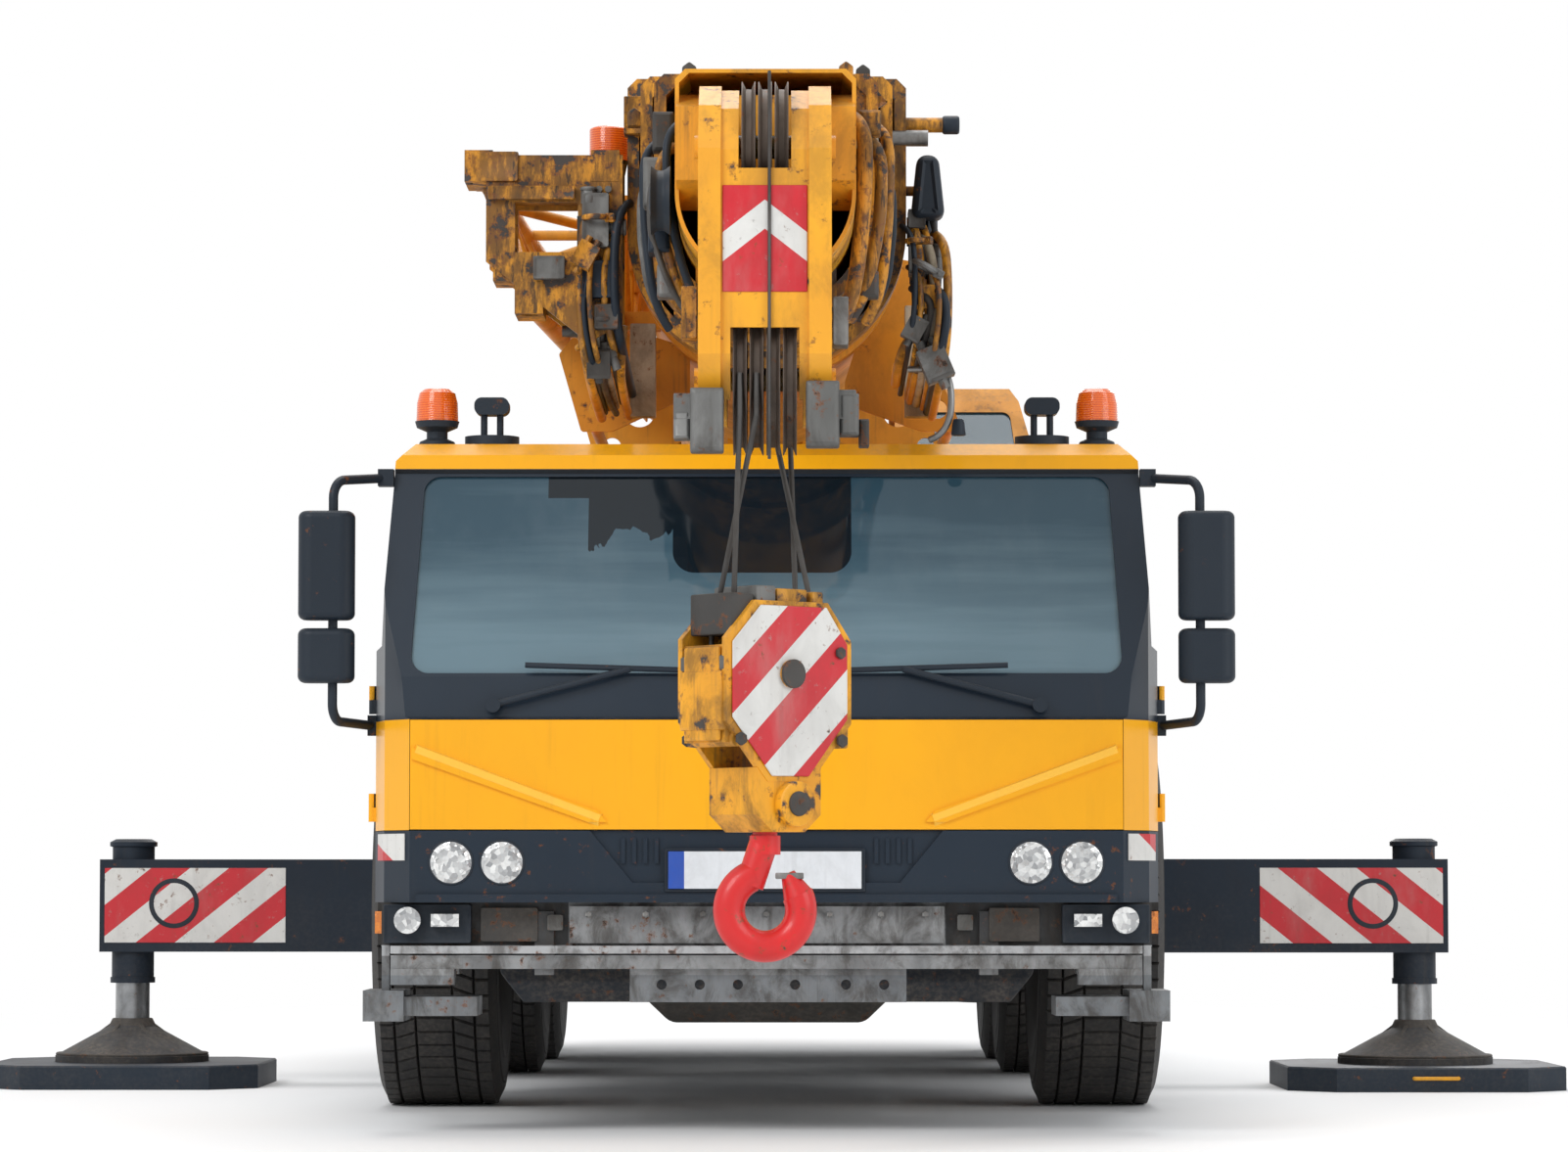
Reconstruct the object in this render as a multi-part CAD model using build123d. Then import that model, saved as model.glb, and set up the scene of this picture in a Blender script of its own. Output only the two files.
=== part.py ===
"""Three-axle all-terrain mobile crane, standing on its wheels with the front outriggers out on mats.

All lengths are millimetres. The crane drives towards -Y, +X is its left-hand side and +Z is up.
The origin lies on the ground, midway between the boom head and the counterweight's rear face.
Distances called "station" are measured backwards from the front face of the driver's cab.
"""

import math
import os

from build123d import *

# ---------------------------------------------------------------- layout
HEAD_REACH = 1480            # boom head's foremost point, ahead of the cab front
TAIL_REACH = 9050            # counterweight's rear face, behind the cab front
CAB_FRONT_Y = (HEAD_REACH - TAIL_REACH) / 2
AXLE_STATIONS = (2330, 5500, 7150)
SLEW_STATION = 5500          # slewing axis
GAP = 6                      # shut line between panels and running gap between moving pieces
SEAT_GAP = 0.3               # face to face seating of loose pieces
RUNNING_FIT = 0.08           # radial clearance of shafts, pins and guides

# ---------------------------------------------------------------- wheels and axles
TYRE_RADIUS = 690
TYRE_WIDTH = 430
WIDTH_OVER_TYRES = 2750
TYRE_BEAD_RADIUS = 335
RIM_WALL = 14
HUB_RADIUS = 150
SPINDLE_RADIUS = 62
WHEEL_X = WIDTH_OVER_TYRES / 2 - TYRE_WIDTH / 2
RIM_DISC_X = WHEEL_X + 95    # outer face of the wheel disc
RIM_DISC_THICK = 24
KINGPIN_X = 985
KINGPIN_RADIUS = 45
KINGPIN_HALF_HEIGHT = 150
YOKE_RADIUS = 52
AXLE_TUBE_RADIUS = 95

# ---------------------------------------------------------------- carrier frame and deck
FRAME_HALF_WIDTH = 430
FRAME_BOTTOM = 880
FRAME_TOP = 1330
FRAME_WEB = 30
STRUT_TOP = 1270
FRAME_FRONT_STATION = 1520     # the tall girder begins behind the driver's cab
SUBFRAME_FRONT_STATION = 400
SUBFRAME_BOTTOM = 560
FRAME_REAR_STATION = 8900
DECK_BOTTOM = 1400
DECK_THICK = 40
DECK_HALF_WIDTH = 1250
DECK_INNER_X = 470
DECK_FRONT_STATION = 1560
HOOD_TOP = 1630
SLEW_RING_RADIUS = 600
SLEW_RING_TOP = 1655
HOOD_HALF_WIDTH = 425

# ---------------------------------------------------------------- outriggers
FRONT_BOX_STATION = 4000
REAR_BOX_STATION = 8450
BEAM_WIDTH = 200
BEAM_BOTTOM = 522
BEAM_HEIGHT = 362
BEAM_WALL = 14
BEAM_LENGTH = 2350
BOX_WALL = 20                # wall of the cross boxes
BOX_HALF_LENGTH = 1050
FRONT_BEAM_TIP = 2630        # beam's outer end, from the centre line
REAR_BEAM_TIP = 1290
JACK_INSET = 120             # jack's axis, inside the beam's tip
JACK_TUBE_RADIUS = 82.5
JACK_TUBE_WALL = 16
JACK_TUBE_BOTTOM = 400
JACK_CAP_RADIUS = 93
FOOT_RADIUS = 300
FOOT_HEIGHT = 150
MAT_SIDE = 1065
MAT_THICK = 92
MAT_CORNER = 170
REAR_FOOT_LIFT = 230
JACK_ROD_TOP = 740           # with the foot on its mat

# ---------------------------------------------------------------- driver's cab
CAB_WIDTH = 2500
CAB_LENGTH = 1480
CAB_BOTTOM = 728
SUBFRAME_TOP = CAB_BOTTOM - SEAT_GAP   # the low front frame carries the driver's cab
BUMPER_TOP = 955
BAND_TOP = 1303
SILL_TOP = 1440              # lower edge of the windscreen
WAIST = 1530                 # the sides lean in above this height
GLASS_TOP = 2100
ROOF_EDGE = 2160
CAB_TOP = 2200
CAB_WALL = 60
CORNER_DEPTH = 290
FRONT_FLAT = 2240            # width of the flat front face
RAKE = 240                   # the windscreen's top edge lies this far behind its foot
ROOF_WIDTH = 2380
DOOR_FRONT_STATION = 345
DOOR_REAR_STATION = 1400
DOOR_BOTTOM = 800
GLASS_THICK = 8
SKIN_DEPTH = 40              # thickness of the front panel and the bumper on the cab's front wall
DOOR_HINGES_Z = (985, 1330)
HINGE_RADIUS = 13
HINGE_OFFSET = 14            # hinge line, outside the cab's side
HINGE_LEAD = 5               # hinge line, past the edge of the door's opening
HEADLAMP_X = (830, 990)      # the two round lamps of each side, from the centre line
HEADLAMP_Z = 853
HEADLAMP_RADIUS = 64
BEACON_BASE = 80             # height of a beacon's socket
BEACON_X = 1068
ROOF_LAMP_X = 890
ROOF_LAMP_STATION = 430

# ---------------------------------------------------------------- superstructure
SUPER_BOTTOM = SLEW_RING_TOP + 10
SUPER_FLOOR = SUPER_BOTTOM + 70
PIVOT_STATION = 7450
PIVOT_DROP = 510             # the boom's pivot, below its top
PIVOT_RADIUS = 70
COUNTERWEIGHT_FRONT = 8340
COUNTERWEIGHT_TOP = 2180
WINCH_STATION = 8480
WINCH_Z = 2480
WINCH_FLANGE_RADIUS = 235
WINCH_DRUM_RADIUS = 150
WINCH_HALF_WIDTH = 300
WINCH_AXLE_RADIUS = 38
POWER_PACK_TOP = 2380
POWER_PACK_WIDTH = 740
TANK_DROP = 200              # top of the hydraulic tank, below the power pack's

# ---------------------------------------------------------------- boom
BOOM_WALL = 12
COLLAR_LENGTH = 170
COLLAR_PROUD = 25
PAD_LENGTH = 110             # wear pads in each section's mouth
# section name: outer width, height, drop of its top below the boom's top, front station, rear station
SECTION_COLUMNS = ("width", "height", "drop", "front", "rear")
BOOM_SECTIONS = {
    "boom_base_section": (840, 880, 0, 150, 7300),
    "boom_section_2": (740, 800, 40, -150, 7180),
    "boom_section_3": (640, 720, 80, -450, 7080),
    "boom_tip_section": (540, 640, 120, -950, 6980),
}
BASE_WIDTH, BASE_HEIGHT = BOOM_SECTIONS["boom_base_section"][:2]
BOOM_OVER_CAB = 250          # the boom's belly, above the cab's roof
BOOM_TOP = CAB_TOP + BOOM_OVER_CAB + BASE_HEIGHT
PIVOT_Z = BOOM_TOP - PIVOT_DROP
FOOT_PLATE = 14              # doubling plates on the boom's foot
CHEEK_GAP = 14               # from the foot plates to the platform's cheeks
CHEEK_INNER_X = BASE_WIDTH / 2 + FOOT_PLATE + CHEEK_GAP
CHEEK_THICK = 38
HEAD_HALF_WIDTH = 192
HEAD_PLATE = 22
HEAD_FLANGE = 65
HEAD_RECESS = 16             # the cross bars and the sign plate lie this far behind the flanges
UPPER_SHEAVE_RADIUS = 190
LOWER_SHEAVE_RADIUS = 220
UPPER_SHEAVE_Z = BOOM_TOP - 400
UPPER_SHEAVE_SETBACK = 35    # the sheaves' fronts, behind the head's foremost point
LOWER_SHEAVE_SETBACK = 16
LOWER_SHEAVE_Z = UPPER_SHEAVE_Z - 680
SHEAVE_PIN_RADIUS = 34
SHEAVE_PITCH = 48
SHEAVE_THICK = 40
GROOVE_DEPTH = 22
LUG_STATION = 3600           # luffing cylinder's upper pin
LUG_DROP = 150               # upper pin, below the boom's belly
LUG_Z = BOOM_TOP - BASE_HEIGHT - LUG_DROP
FOOT_PIN_STATION = 6200      # luffing cylinder's lower pin
FOOT_PIN_Z = SUPER_FLOOR + 205
LUFF_PIN_RADIUS = 45
LUG_CLEARANCE = 10           # round the pin in the boom's open saddle
BARREL_RADIUS = 130
BARREL_WALL = 18
LUFF_CLOSED = math.hypot(FOOT_PIN_STATION - LUG_STATION, LUG_Z - FOOT_PIN_Z)
EYE_STANDOFF = 155           # from the gland to the rod's eye, drawn in
PISTON_REST = 135            # the piston's rear, from the foot pin
BARREL_LENGTH = LUFF_CLOSED - EYE_STANDOFF
ROD_LENGTH = LUFF_CLOSED - PISTON_REST
ROD_RADIUS = 82

# ---------------------------------------------------------------- operator's cab
OPERATOR_INNER_X = CHEEK_INNER_X + CHEEK_THICK + 24
OPERATOR_WIDTH = 590
OPERATOR_OUTER_X = OPERATOR_INNER_X + OPERATOR_WIDTH
OPERATOR_FRONT_STATION = 4640
OPERATOR_LENGTH = 1460
OPERATOR_REAR_STATION = OPERATOR_FRONT_STATION + OPERATOR_LENGTH
OPERATOR_TOP = 2840
OPERATOR_WALL = 45
OPERATOR_HINGES_Z = (1930, 2310)
OPERATOR_DOOR_END = 130      # the door's rear edge, ahead of the cab's rear face

# ---------------------------------------------------------------- fly jib
JIB_GAP = 60                 # from the boom's side to the jib
JIB_INNER_X = -BASE_WIDTH / 2 - JIB_GAP
JIB_WIDTH = 470
JIB_TOP = BOOM_TOP - 230
JIB_HEIGHT = 490
JIB_FRONT = 250
JIB_LENGTH = 6300
JIB_BAYS = 8
JIB_CHORD = 34
JIB_BRACE = 18
JIB_TAPER = 0.45             # the tip's size as a share of the foot's
JIB_LOWER_SHARE = 0.6        # the lower chords' spread as a share of the upper chords'

# ---------------------------------------------------------------- hook block
BLOCK_TURN = 40              # the block hangs turned about its ropes, in degrees
BLOCK_WIDTH = 470
BLOCK_TOP = 1600
BLOCK_BOTTOM = 1080
BLOCK_HALF_THICK = 110
BLOCK_PLATE = 20
BLOCK_SHEAVE_RADIUS = 175
BLOCK_SHEAVE_Z = 1390
ROPE_RADIUS = 8
HOOK_SHANK_RADIUS = 36
HOOK_NUT_Z = 1040
HOOK_RING_Z = 710
HOOK_RING_RADIUS = 105
HOOK_SECTION = 46
HOOK_BOWL = (110, 385)       # the bowl's start and end angles, from +X towards +Z


# ---------------------------------------------------------------- helpers
def at(station):
    """The Y of a station, which counts backwards from the cab front."""
    return CAB_FRONT_Y + station


def block(x0, x1, y0, y1, z0, z1):
    """A box between two corners."""
    size = Box(x1 - x0, y1 - y0, z1 - z0)
    return Pos((x0 + x1) / 2, (y0 + y1) / 2, (z0 + z1) / 2) * size


def prism_x(points, x0, x1, radius=0):
    """Extrudes an outline of (y, z) points from x0 to x1, with its corners rounded."""
    plane = Plane(origin=(x0, 0, 0), x_dir=(0, 1, 0), z_dir=(1, 0, 0))
    return extrude(plane * outline(points, radius), x1 - x0)


def prism_y(points, y0, y1, radius=0):
    """Extrudes an outline of (x, z) points from y1 forwards to y0."""
    plane = Plane(origin=(0, y1, 0), x_dir=(1, 0, 0), z_dir=(0, -1, 0))
    return extrude(plane * outline(points, radius), y1 - y0)


def prism_z(points, z0, z1, radius=0):
    """Extrudes an outline of (x, y) points from z0 up to z1."""
    return extrude(Plane.XY.offset(z0) * outline(points, radius), z1 - z0)


def outline(points, radius=0):
    face = make_face(Polyline(*points, close=True))
    if radius:
        face = fillet(face.vertices(), radius)
    return face


def inset_face(points, inset):
    """The outline moved inwards by inset."""
    face = make_face(Polyline(*points, close=True))
    if inset:
        face = offset(face, -inset, kind=Kind.INTERSECTION)
    return face


def rod(start, end, radius):
    """A round bar from start to end."""
    a = Vector(*start)
    b = Vector(*end)
    plane = Plane(origin=a, z_dir=b - a)
    return extrude(plane * Circle(radius), (b - a).length)


def tube(start, end, outer, inner):
    a = Vector(*start)
    b = Vector(*end)
    plane = Plane(origin=a, z_dir=b - a)
    return extrude(plane * (Circle(outer) - Circle(inner)), (b - a).length)


def disc_x(x0, x1, y, z, radius):
    """A round disc or pin whose axis runs along X."""
    return rod((x0, y, z), (x1, y, z), radius)


def mirrored(shape):
    return mirror(shape, about=Plane.YZ)


def joined(shapes):
    shapes = list(shapes)
    total = shapes[0]
    for shape in shapes[1:]:
        total += shape
    return total


def several(shapes):
    """Solids of one node that don't touch each other."""
    return Compound(children=[solid for shape in shapes for solid in shape.solids()])


# ---------------------------------------------------------------- wheels
def wheel_profile_tyre():
    """Half section of the tyre as (x, r), with four grooves round the tread."""
    half = TYRE_WIDTH / 2
    groove = 14
    points = [
        (-half + 50, TYRE_BEAD_RADIUS),
        (-half + 6, TYRE_BEAD_RADIUS + 90),
        (-half, TYRE_BEAD_RADIUS + 170),
        (-half + 12, TYRE_RADIUS - 70),
        (-half + 48, TYRE_RADIUS - 8),
    ]
    for centre in (-105, -38, 38, 105):
        points += [
            (centre - groove / 2 - 3, TYRE_RADIUS),
            (centre - groove / 2, TYRE_RADIUS - groove),
            (centre + groove / 2, TYRE_RADIUS - groove),
            (centre + groove / 2 + 3, TYRE_RADIUS),
        ]
    points += [(-x, r) for x, r in reversed(points[:5])]
    return points


def turned(points, side, station):
    """Revolves (x, r) points about the axle line of a wheel on one side of the crane."""
    shape = revolve(Plane.XY * make_face(Polyline(*points, close=True)), Axis.X)
    if side < 0:
        shape = mirrored(shape)
    return Pos(side * WHEEL_X, at(station), TYRE_RADIUS) * shape


def tyre(side, station):
    return turned(wheel_profile_tyre(), side, station)


def rim(side, station):
    """Rim well, flanges, dished disc with hand holes and the planetary hub, bored for the spindle."""
    half = TYRE_WIDTH / 2 - 52
    well = TYRE_BEAD_RADIUS - SEAT_GAP
    disc = RIM_DISC_X - WHEEL_X
    bore = SPINDLE_RADIUS + RUNNING_FIT
    points = [
        (-half, well - RIM_WALL - 8),
        (-half, well),
        (half, well),
        (half, well - RIM_WALL - 8),
        (half - 40, well - RIM_WALL - 8),
        (half - 60, well - 60),
        (disc, HUB_RADIUS + 40),
        (disc, HUB_RADIUS),
        (disc + 75, HUB_RADIUS - 12),
        (disc + 90, HUB_RADIUS - 60),
        (disc + 90, bore),
        (disc - RIM_DISC_THICK - 70, bore),
        (disc - RIM_DISC_THICK - 70, bore + 45),
        (disc - RIM_DISC_THICK, HUB_RADIUS + 20),
        (half - 90, well - 60 - RIM_WALL),
        (half - 90, well - RIM_WALL - 8),
    ]
    shape = turned(points, side, station)
    holes = []
    for turn in range(8):
        angle = math.radians(turn * 45 + 22.5)
        y = at(station) + (HUB_RADIUS + 75) * math.cos(angle)
        z = TYRE_RADIUS + (HUB_RADIUS + 75) * math.sin(angle)
        inner = side * (RIM_DISC_X - 120)
        holes.append(disc_x(inner, side * (RIM_DISC_X + 60), y, z, 26))
    return shape - holes


def spindle_end(side):
    """X of the spindle's outer end, just short of the hub's face."""
    return side * (RIM_DISC_X + 80)


def knuckle(side):
    """Steering knuckle of the front axle: kingpin barrel, spindle and steering arm."""
    y = at(AXLE_STATIONS[0])
    x = side * KINGPIN_X
    barrel = tube((x, y, TYRE_RADIUS - 85), (x, y, TYRE_RADIUS + 85), 78, KINGPIN_RADIUS + RUNNING_FIT)
    spindle = disc_x(side * (KINGPIN_X + 60), spindle_end(side), y, TYRE_RADIUS, SPINDLE_RADIUS)
    plate = disc_x(side * (KINGPIN_X + 62), side * (KINGPIN_X + 92), y, TYRE_RADIUS, 130)
    arm = block(min(x - 18, x + 18), max(x - 18, x + 18), y + 60, y + 230, TYRE_RADIUS - 60, TYRE_RADIUS - 25)
    eye = rod((x, y + 230, TYRE_RADIUS - 65), (x, y + 230, TYRE_RADIUS - 20), 30)
    return joined([barrel, spindle, plate, arm, eye])


def axle_beam(station, steered):
    """Axle housing with its differential, spring lugs and, where it steers, the kingpin yokes."""
    y = at(station)
    z = TYRE_RADIUS
    reach = KINGPIN_X - 100 if steered else WHEEL_X - 60
    housing = disc_x(-reach, reach, y, z, AXLE_TUBE_RADIUS)
    profile = [(-170, 0), (-170, 60), (-90, 175), (90, 175), (170, 60), (170, 0)]
    pot = revolve(Plane.XY * make_face(Polyline(*profile, close=True)), Axis.X)
    parts = [housing, Pos(0, y, z) * pot]
    for side in (-1, 1):
        # the hydropneumatic strut stands on the axle and ends under the frame's outrigger
        x = side * (FRAME_HALF_WIDTH + 75)
        parts.append(rod((x, y, z), (x, y, z + 210), 48))
        parts.append(rod((x, y, z + 205), (x, y, STRUT_TOP), 62))
        if steered:
            pin_x = side * KINGPIN_X
            root = side * (KINGPIN_X - 120)
            for low in (z + 91, z - 131):
                parts.append(block(min(root, pin_x), max(root, pin_x), y - YOKE_RADIUS, y + YOKE_RADIUS, low, low + 40))
                parts.append(rod((pin_x, y, low), (pin_x, y, low + 40), YOKE_RADIUS))
            web_in = side * (KINGPIN_X - 130)
            web_out = side * (KINGPIN_X - 90)
            web = YOKE_RADIUS + 5
            parts.append(block(min(web_in, web_out), max(web_in, web_out), y - web, y + web, z - 131, z + 131))
            parts.append(rod((pin_x, y, z - KINGPIN_HALF_HEIGHT), (pin_x, y, z + KINGPIN_HALF_HEIGHT), KINGPIN_RADIUS))
        else:
            flange_in = side * (WHEEL_X - 90)
            parts.append(disc_x(flange_in, side * (WHEEL_X - 60), y, z, 165))
            parts.append(disc_x(side * (WHEEL_X - 60), spindle_end(side), y, z, SPINDLE_RADIUS))
    return joined(parts)


# ---------------------------------------------------------------- carrier
def outrigger_box(station):
    """Open-ended cross box with one tunnel for each beam."""
    wide = BEAM_WIDTH + 2 * GAP
    total = 2 * wide + 3 * BOX_WALL
    y0 = at(station) - total / 2
    low = BEAM_BOTTOM - GAP - BOX_WALL
    high = BEAM_BOTTOM + BEAM_HEIGHT + GAP + BOX_WALL
    outer = block(-BOX_HALF_LENGTH, BOX_HALF_LENGTH, y0, y0 + total, low, high)
    ribs = []
    for x in (-1030, -740, 740, 1030):
        ribs.append(block(x - 12, x + 12, y0 - 22, y0 + total + 22, low - 12, high + 14))
    return joined([outer] + ribs)


def beam_tunnels(station):
    cuts = []
    for side in (-1, 1):
        y = beam_y(station, side)
        half = BEAM_WIDTH / 2 + GAP
        reach = BOX_HALF_LENGTH + 50
        cuts.append(block(-reach, reach, y - half, y + half, BEAM_BOTTOM - GAP, BEAM_BOTTOM + BEAM_HEIGHT + GAP))
    return cuts


def wear_pads(station):
    """Pads in the mouth of each tunnel that its beam slides on."""
    pads = []
    for side in (-1, 1):
        y = beam_y(station, side)
        inner = side * (BOX_HALF_LENGTH - 140)
        outer = side * (BOX_HALF_LENGTH - 20)
        for low, high in (
            (BEAM_BOTTOM - GAP - 5, BEAM_BOTTOM - RUNNING_FIT),
            (BEAM_BOTTOM + BEAM_HEIGHT + RUNNING_FIT, BEAM_BOTTOM + BEAM_HEIGHT + GAP + 5),
        ):
            pads.append(block(min(inner, outer), max(inner, outer), y - 70, y + 70, low, high))
    return pads


def beam_y(station, side):
    """The left beam slides in the front tunnel and the right one in the rear tunnel."""
    pitch = BEAM_WIDTH + 2 * GAP + BOX_WALL
    return at(station) - side * pitch / 2


def chassis_frame():
    """Box girder with the low front frame, both outrigger boxes, the slewing ring and the tail beam."""
    y0 = at(FRAME_FRONT_STATION)
    y1 = at(FRAME_REAR_STATION)
    half = FRAME_HALF_WIDTH
    web = FRAME_WEB
    girder = block(-half, half, y0, y1, FRAME_BOTTOM, FRAME_TOP)
    hollow = block(-half + web, half - web, y0 - 10, y1 + 10, FRAME_BOTTOM + web, FRAME_TOP - web)
    parts = [girder - hollow]
    parts += [outrigger_box(station) for station in (FRONT_BOX_STATION, REAR_BOX_STATION)]
    # cross plates close the girder beside the boxes, under the slewing ring and at the rear
    for station in (FRONT_BOX_STATION - 700, SLEW_STATION - 650, SLEW_STATION + 650, REAR_BOX_STATION - 500):
        y = at(station)
        parts.append(block(-half + 10, half - 10, y - 12, y + 12, FRAME_BOTTOM + 10, FRAME_TOP - 10))
    centre = at(SLEW_STATION)
    parts.append(tube((0, centre, FRAME_TOP - 5), (0, centre, SLEW_RING_TOP), SLEW_RING_RADIUS, 470))
    # deck outriggers over the axles take the suspension struts
    for station in AXLE_STATIONS:
        y = at(station)
        parts.append(block(-570, 570, y - 70, y + 70, STRUT_TOP + SEAT_GAP, STRUT_TOP + 40))
    # the low front frame and the plates that tie it to the girder
    front = at(SUBFRAME_FRONT_STATION)
    for side in (-1, 1):
        x = side * 350
        parts.append(block(x - 60, x + 60, front, y0 + 120, SUBFRAME_BOTTOM, SUBFRAME_TOP))
        parts.append(block(x - 60, x + 60, y0, y0 + 120, SUBFRAME_BOTTOM + 10, FRAME_BOTTOM + 100))
    parts.append(block(-1000, 1000, front - 40, front + 60, SUBFRAME_BOTTOM, SUBFRAME_TOP - 10))
    parts.append(block(-1000, 1000, y0 - 160, y0 - 60, SUBFRAME_BOTTOM + 20, SUBFRAME_TOP))
    # tail beam and tow jaw
    parts.append(block(-1100, 1100, y1 - 60, y1, 700, 830))
    for side in (-1, 1):
        x = side * 380
        parts.append(block(x - 30, x + 30, y1 - 60, y1, 700, FRAME_BOTTOM + 20))
    parts.append(rod((0, y1 - 20, 765), (0, y1 + 90, 765), 55))
    frame = joined(parts)
    for station in (FRONT_BOX_STATION, REAR_BOX_STATION):
        frame -= beam_tunnels(station)
        frame = joined([frame] + wear_pads(station))
    slot = block(-28, 28, y1 + 20, y1 + 75, 690, 850)
    return frame - slot


def engine_block():
    """The carrier's engine, closed in between the frame's webs."""
    y = at(DECK_FRONT_STATION + 450)
    return block(-330, 330, y, y + 1000, FRAME_BOTTOM + FRAME_WEB + SEAT_GAP, STRUT_TOP - 10)


def engine_hood():
    """Low hood over the carrier engine, with a louvred side panel left and right."""
    y0 = at(DECK_FRONT_STATION + 30)
    y1 = at(FRONT_BOX_STATION - 350)
    base = FRAME_TOP + SEAT_GAP
    half = HOOD_HALF_WIDTH
    section = [(-half, base), (-half, HOOD_TOP - 60), (60 - half, HOOD_TOP)]
    section += [(-x, z) for x, z in reversed(section)]
    hood = prism_y(section, y0, y1)
    inner = [(30 - half, base - 5), (30 - half, HOOD_TOP - 80), (80 - half, HOOD_TOP - 30)]
    inner += [(-x, z) for x, z in reversed(inner)]
    hood -= prism_y(inner, y0 + 30, y1 - 30)
    slots = []
    for row in range(9):
        y = y0 + 260 + row * 150
        slots.append(block(-500, 500, y, y + 70, HOOD_TOP - 100, HOOD_TOP - 72))
        slots.append(block(-330, 330, y, y + 40, HOOD_TOP - 60, HOOD_TOP + 10))
    return hood - slots


def deck_side(side):
    """Walkway plate and mudguards of one side, with the drop panels between the wheels."""
    x0 = DECK_INNER_X
    x1 = DECK_HALF_WIDTH
    top = DECK_BOTTOM + DECK_THICK
    plate = block(x0, x1, at(DECK_FRONT_STATION), at(FRAME_REAR_STATION), DECK_BOTTOM, top)
    parts = [plate]
    # brackets to the frame
    for station in (1620, 4700, 6330, 7950, 8800):
        y = at(station)
        parts.append(block(FRAME_HALF_WIDTH + SEAT_GAP, x1 - 60, y - 15, y + 15, FRAME_TOP - 60, DECK_BOTTOM + 5))
    skirt = 25
    for front, rear, low in SKIRTS:
        y_front = at(front)
        y_rear = at(rear)
        drop = [(y_front, DECK_BOTTOM + 5), (y_front + 80, low), (y_rear - 80, low), (y_rear, DECK_BOTTOM + 5)]
        parts.append(prism_x(drop, x1 - skirt, x1))
    rail = []
    for station in (4550, 6300):
        y = at(station)
        rail.append(block(x1 - 20, x1, y - 150, y + 150, top - 5, top + 35))
    ring = rod((0, at(SLEW_STATION), DECK_BOTTOM - 200), (0, at(SLEW_STATION), top + 100), SLEW_RING_RADIUS + 25)
    shape = joined(parts + rail) - ring
    return shape if side > 0 else mirrored(shape)


# skirt panels below the deck edge: front station, rear station, lower edge
SKIRTS = (
    (3080, 3690, 950),
    (4310, 4750, 950),
    (7900, 8180, 1000),
)


def deck():
    return several([deck_side(1), deck_side(-1)])


def side_boxes():
    """Fuel tank, battery box and access steps between the front axle and the front outriggers."""
    y0 = at(AXLE_STATIONS[0] + TYRE_RADIUS + 130)
    y1 = at(FRONT_BOX_STATION - 290)
    tank = prism_y([(460, 560), (460, 930), (1190, 930), (1190, 560)], y0, y1, 60)
    battery = prism_y([(-1190, 560), (-1190, 930), (-460, 930), (-460, 560)], y0, y1, 25)
    strap_left = [block(440, 1195, y, y + 40, 555, 935) for y in (y0 + 70, y1 - 110)]
    hanger = [block(s * 470 - 30, s * 470 + 30, y0 + 60, y1 - 60, 925, DECK_BOTTOM - SEAT_GAP) for s in (-1, 1)]
    left = joined([tank] + strap_left + [hanger[1]])
    right = joined([battery, hanger[0]])
    return several([left, right])


# ---------------------------------------------------------------- driver's cab
def cab_body(inset):
    """The cab's outer form moved inwards by inset: plan, side and front outlines crossed."""
    half = CAB_WIDTH / 2
    flat = FRONT_FLAT / 2
    plan = [
        (-half, at(CAB_LENGTH)),
        (-half, at(CORNER_DEPTH)),
        (-half + 40, at(CORNER_DEPTH * 0.45)),
        (-flat, at(0)),
        (flat, at(0)),
        (half - 40, at(CORNER_DEPTH * 0.45)),
        (half, at(CORNER_DEPTH)),
        (half, at(CAB_LENGTH)),
    ]
    side = [
        (at(0), CAB_BOTTOM),
        (at(0), BAND_TOP),
        (at(25), BAND_TOP + 8),
        (at(45), SILL_TOP),
        (at(45 + RAKE), GLASS_TOP),
        (at(45 + RAKE - 15), GLASS_TOP + 12),
        (at(45 + RAKE), ROOF_EDGE),
        (at(45 + RAKE + 55), CAB_TOP),
        (at(CAB_LENGTH - 120), CAB_TOP),
        (at(CAB_LENGTH), ROOF_EDGE - 40),
        (at(CAB_LENGTH), CAB_BOTTOM + 60),
        (at(CAB_LENGTH - 90), CAB_BOTTOM),
    ]
    roof = ROOF_WIDTH / 2
    front = [
        (-half, CAB_BOTTOM),
        (-half, WAIST),
        (-half + 25, WAIST + 12),
        (-roof, ROOF_EDGE - 20),
        (-roof + 60, CAB_TOP),
        (roof - 60, CAB_TOP),
        (roof, ROOF_EDGE - 20),
        (half - 25, WAIST + 12),
        (half, WAIST),
        (half, CAB_BOTTOM),
    ]
    body = extrude(Plane.XY.offset(CAB_BOTTOM + inset) * inset_face(plan, inset), CAB_TOP - CAB_BOTTOM - 2 * inset)
    reach = CAB_WIDTH
    side_plane = Plane(origin=(-reach / 2, 0, 0), x_dir=(0, 1, 0), z_dir=(1, 0, 0))
    body &= extrude(side_plane * inset_face(side, inset), reach)
    front_plane = Plane(origin=(0, at(CAB_LENGTH), 0), x_dir=(1, 0, 0), z_dir=(0, -1, 0))
    return body & extrude(front_plane * inset_face(front, inset), CAB_LENGTH)


def windscreen_opening():
    """Rounded opening in the raked front wall."""
    half = FRONT_FLAT / 2 + 5
    points = [(-half, SILL_TOP + 10), (-half + 30, GLASS_TOP - 10), (half - 30, GLASS_TOP - 10), (half, SILL_TOP + 10)]
    return prism_y(points, at(-60), at(45 + RAKE + 60), 55)


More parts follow.
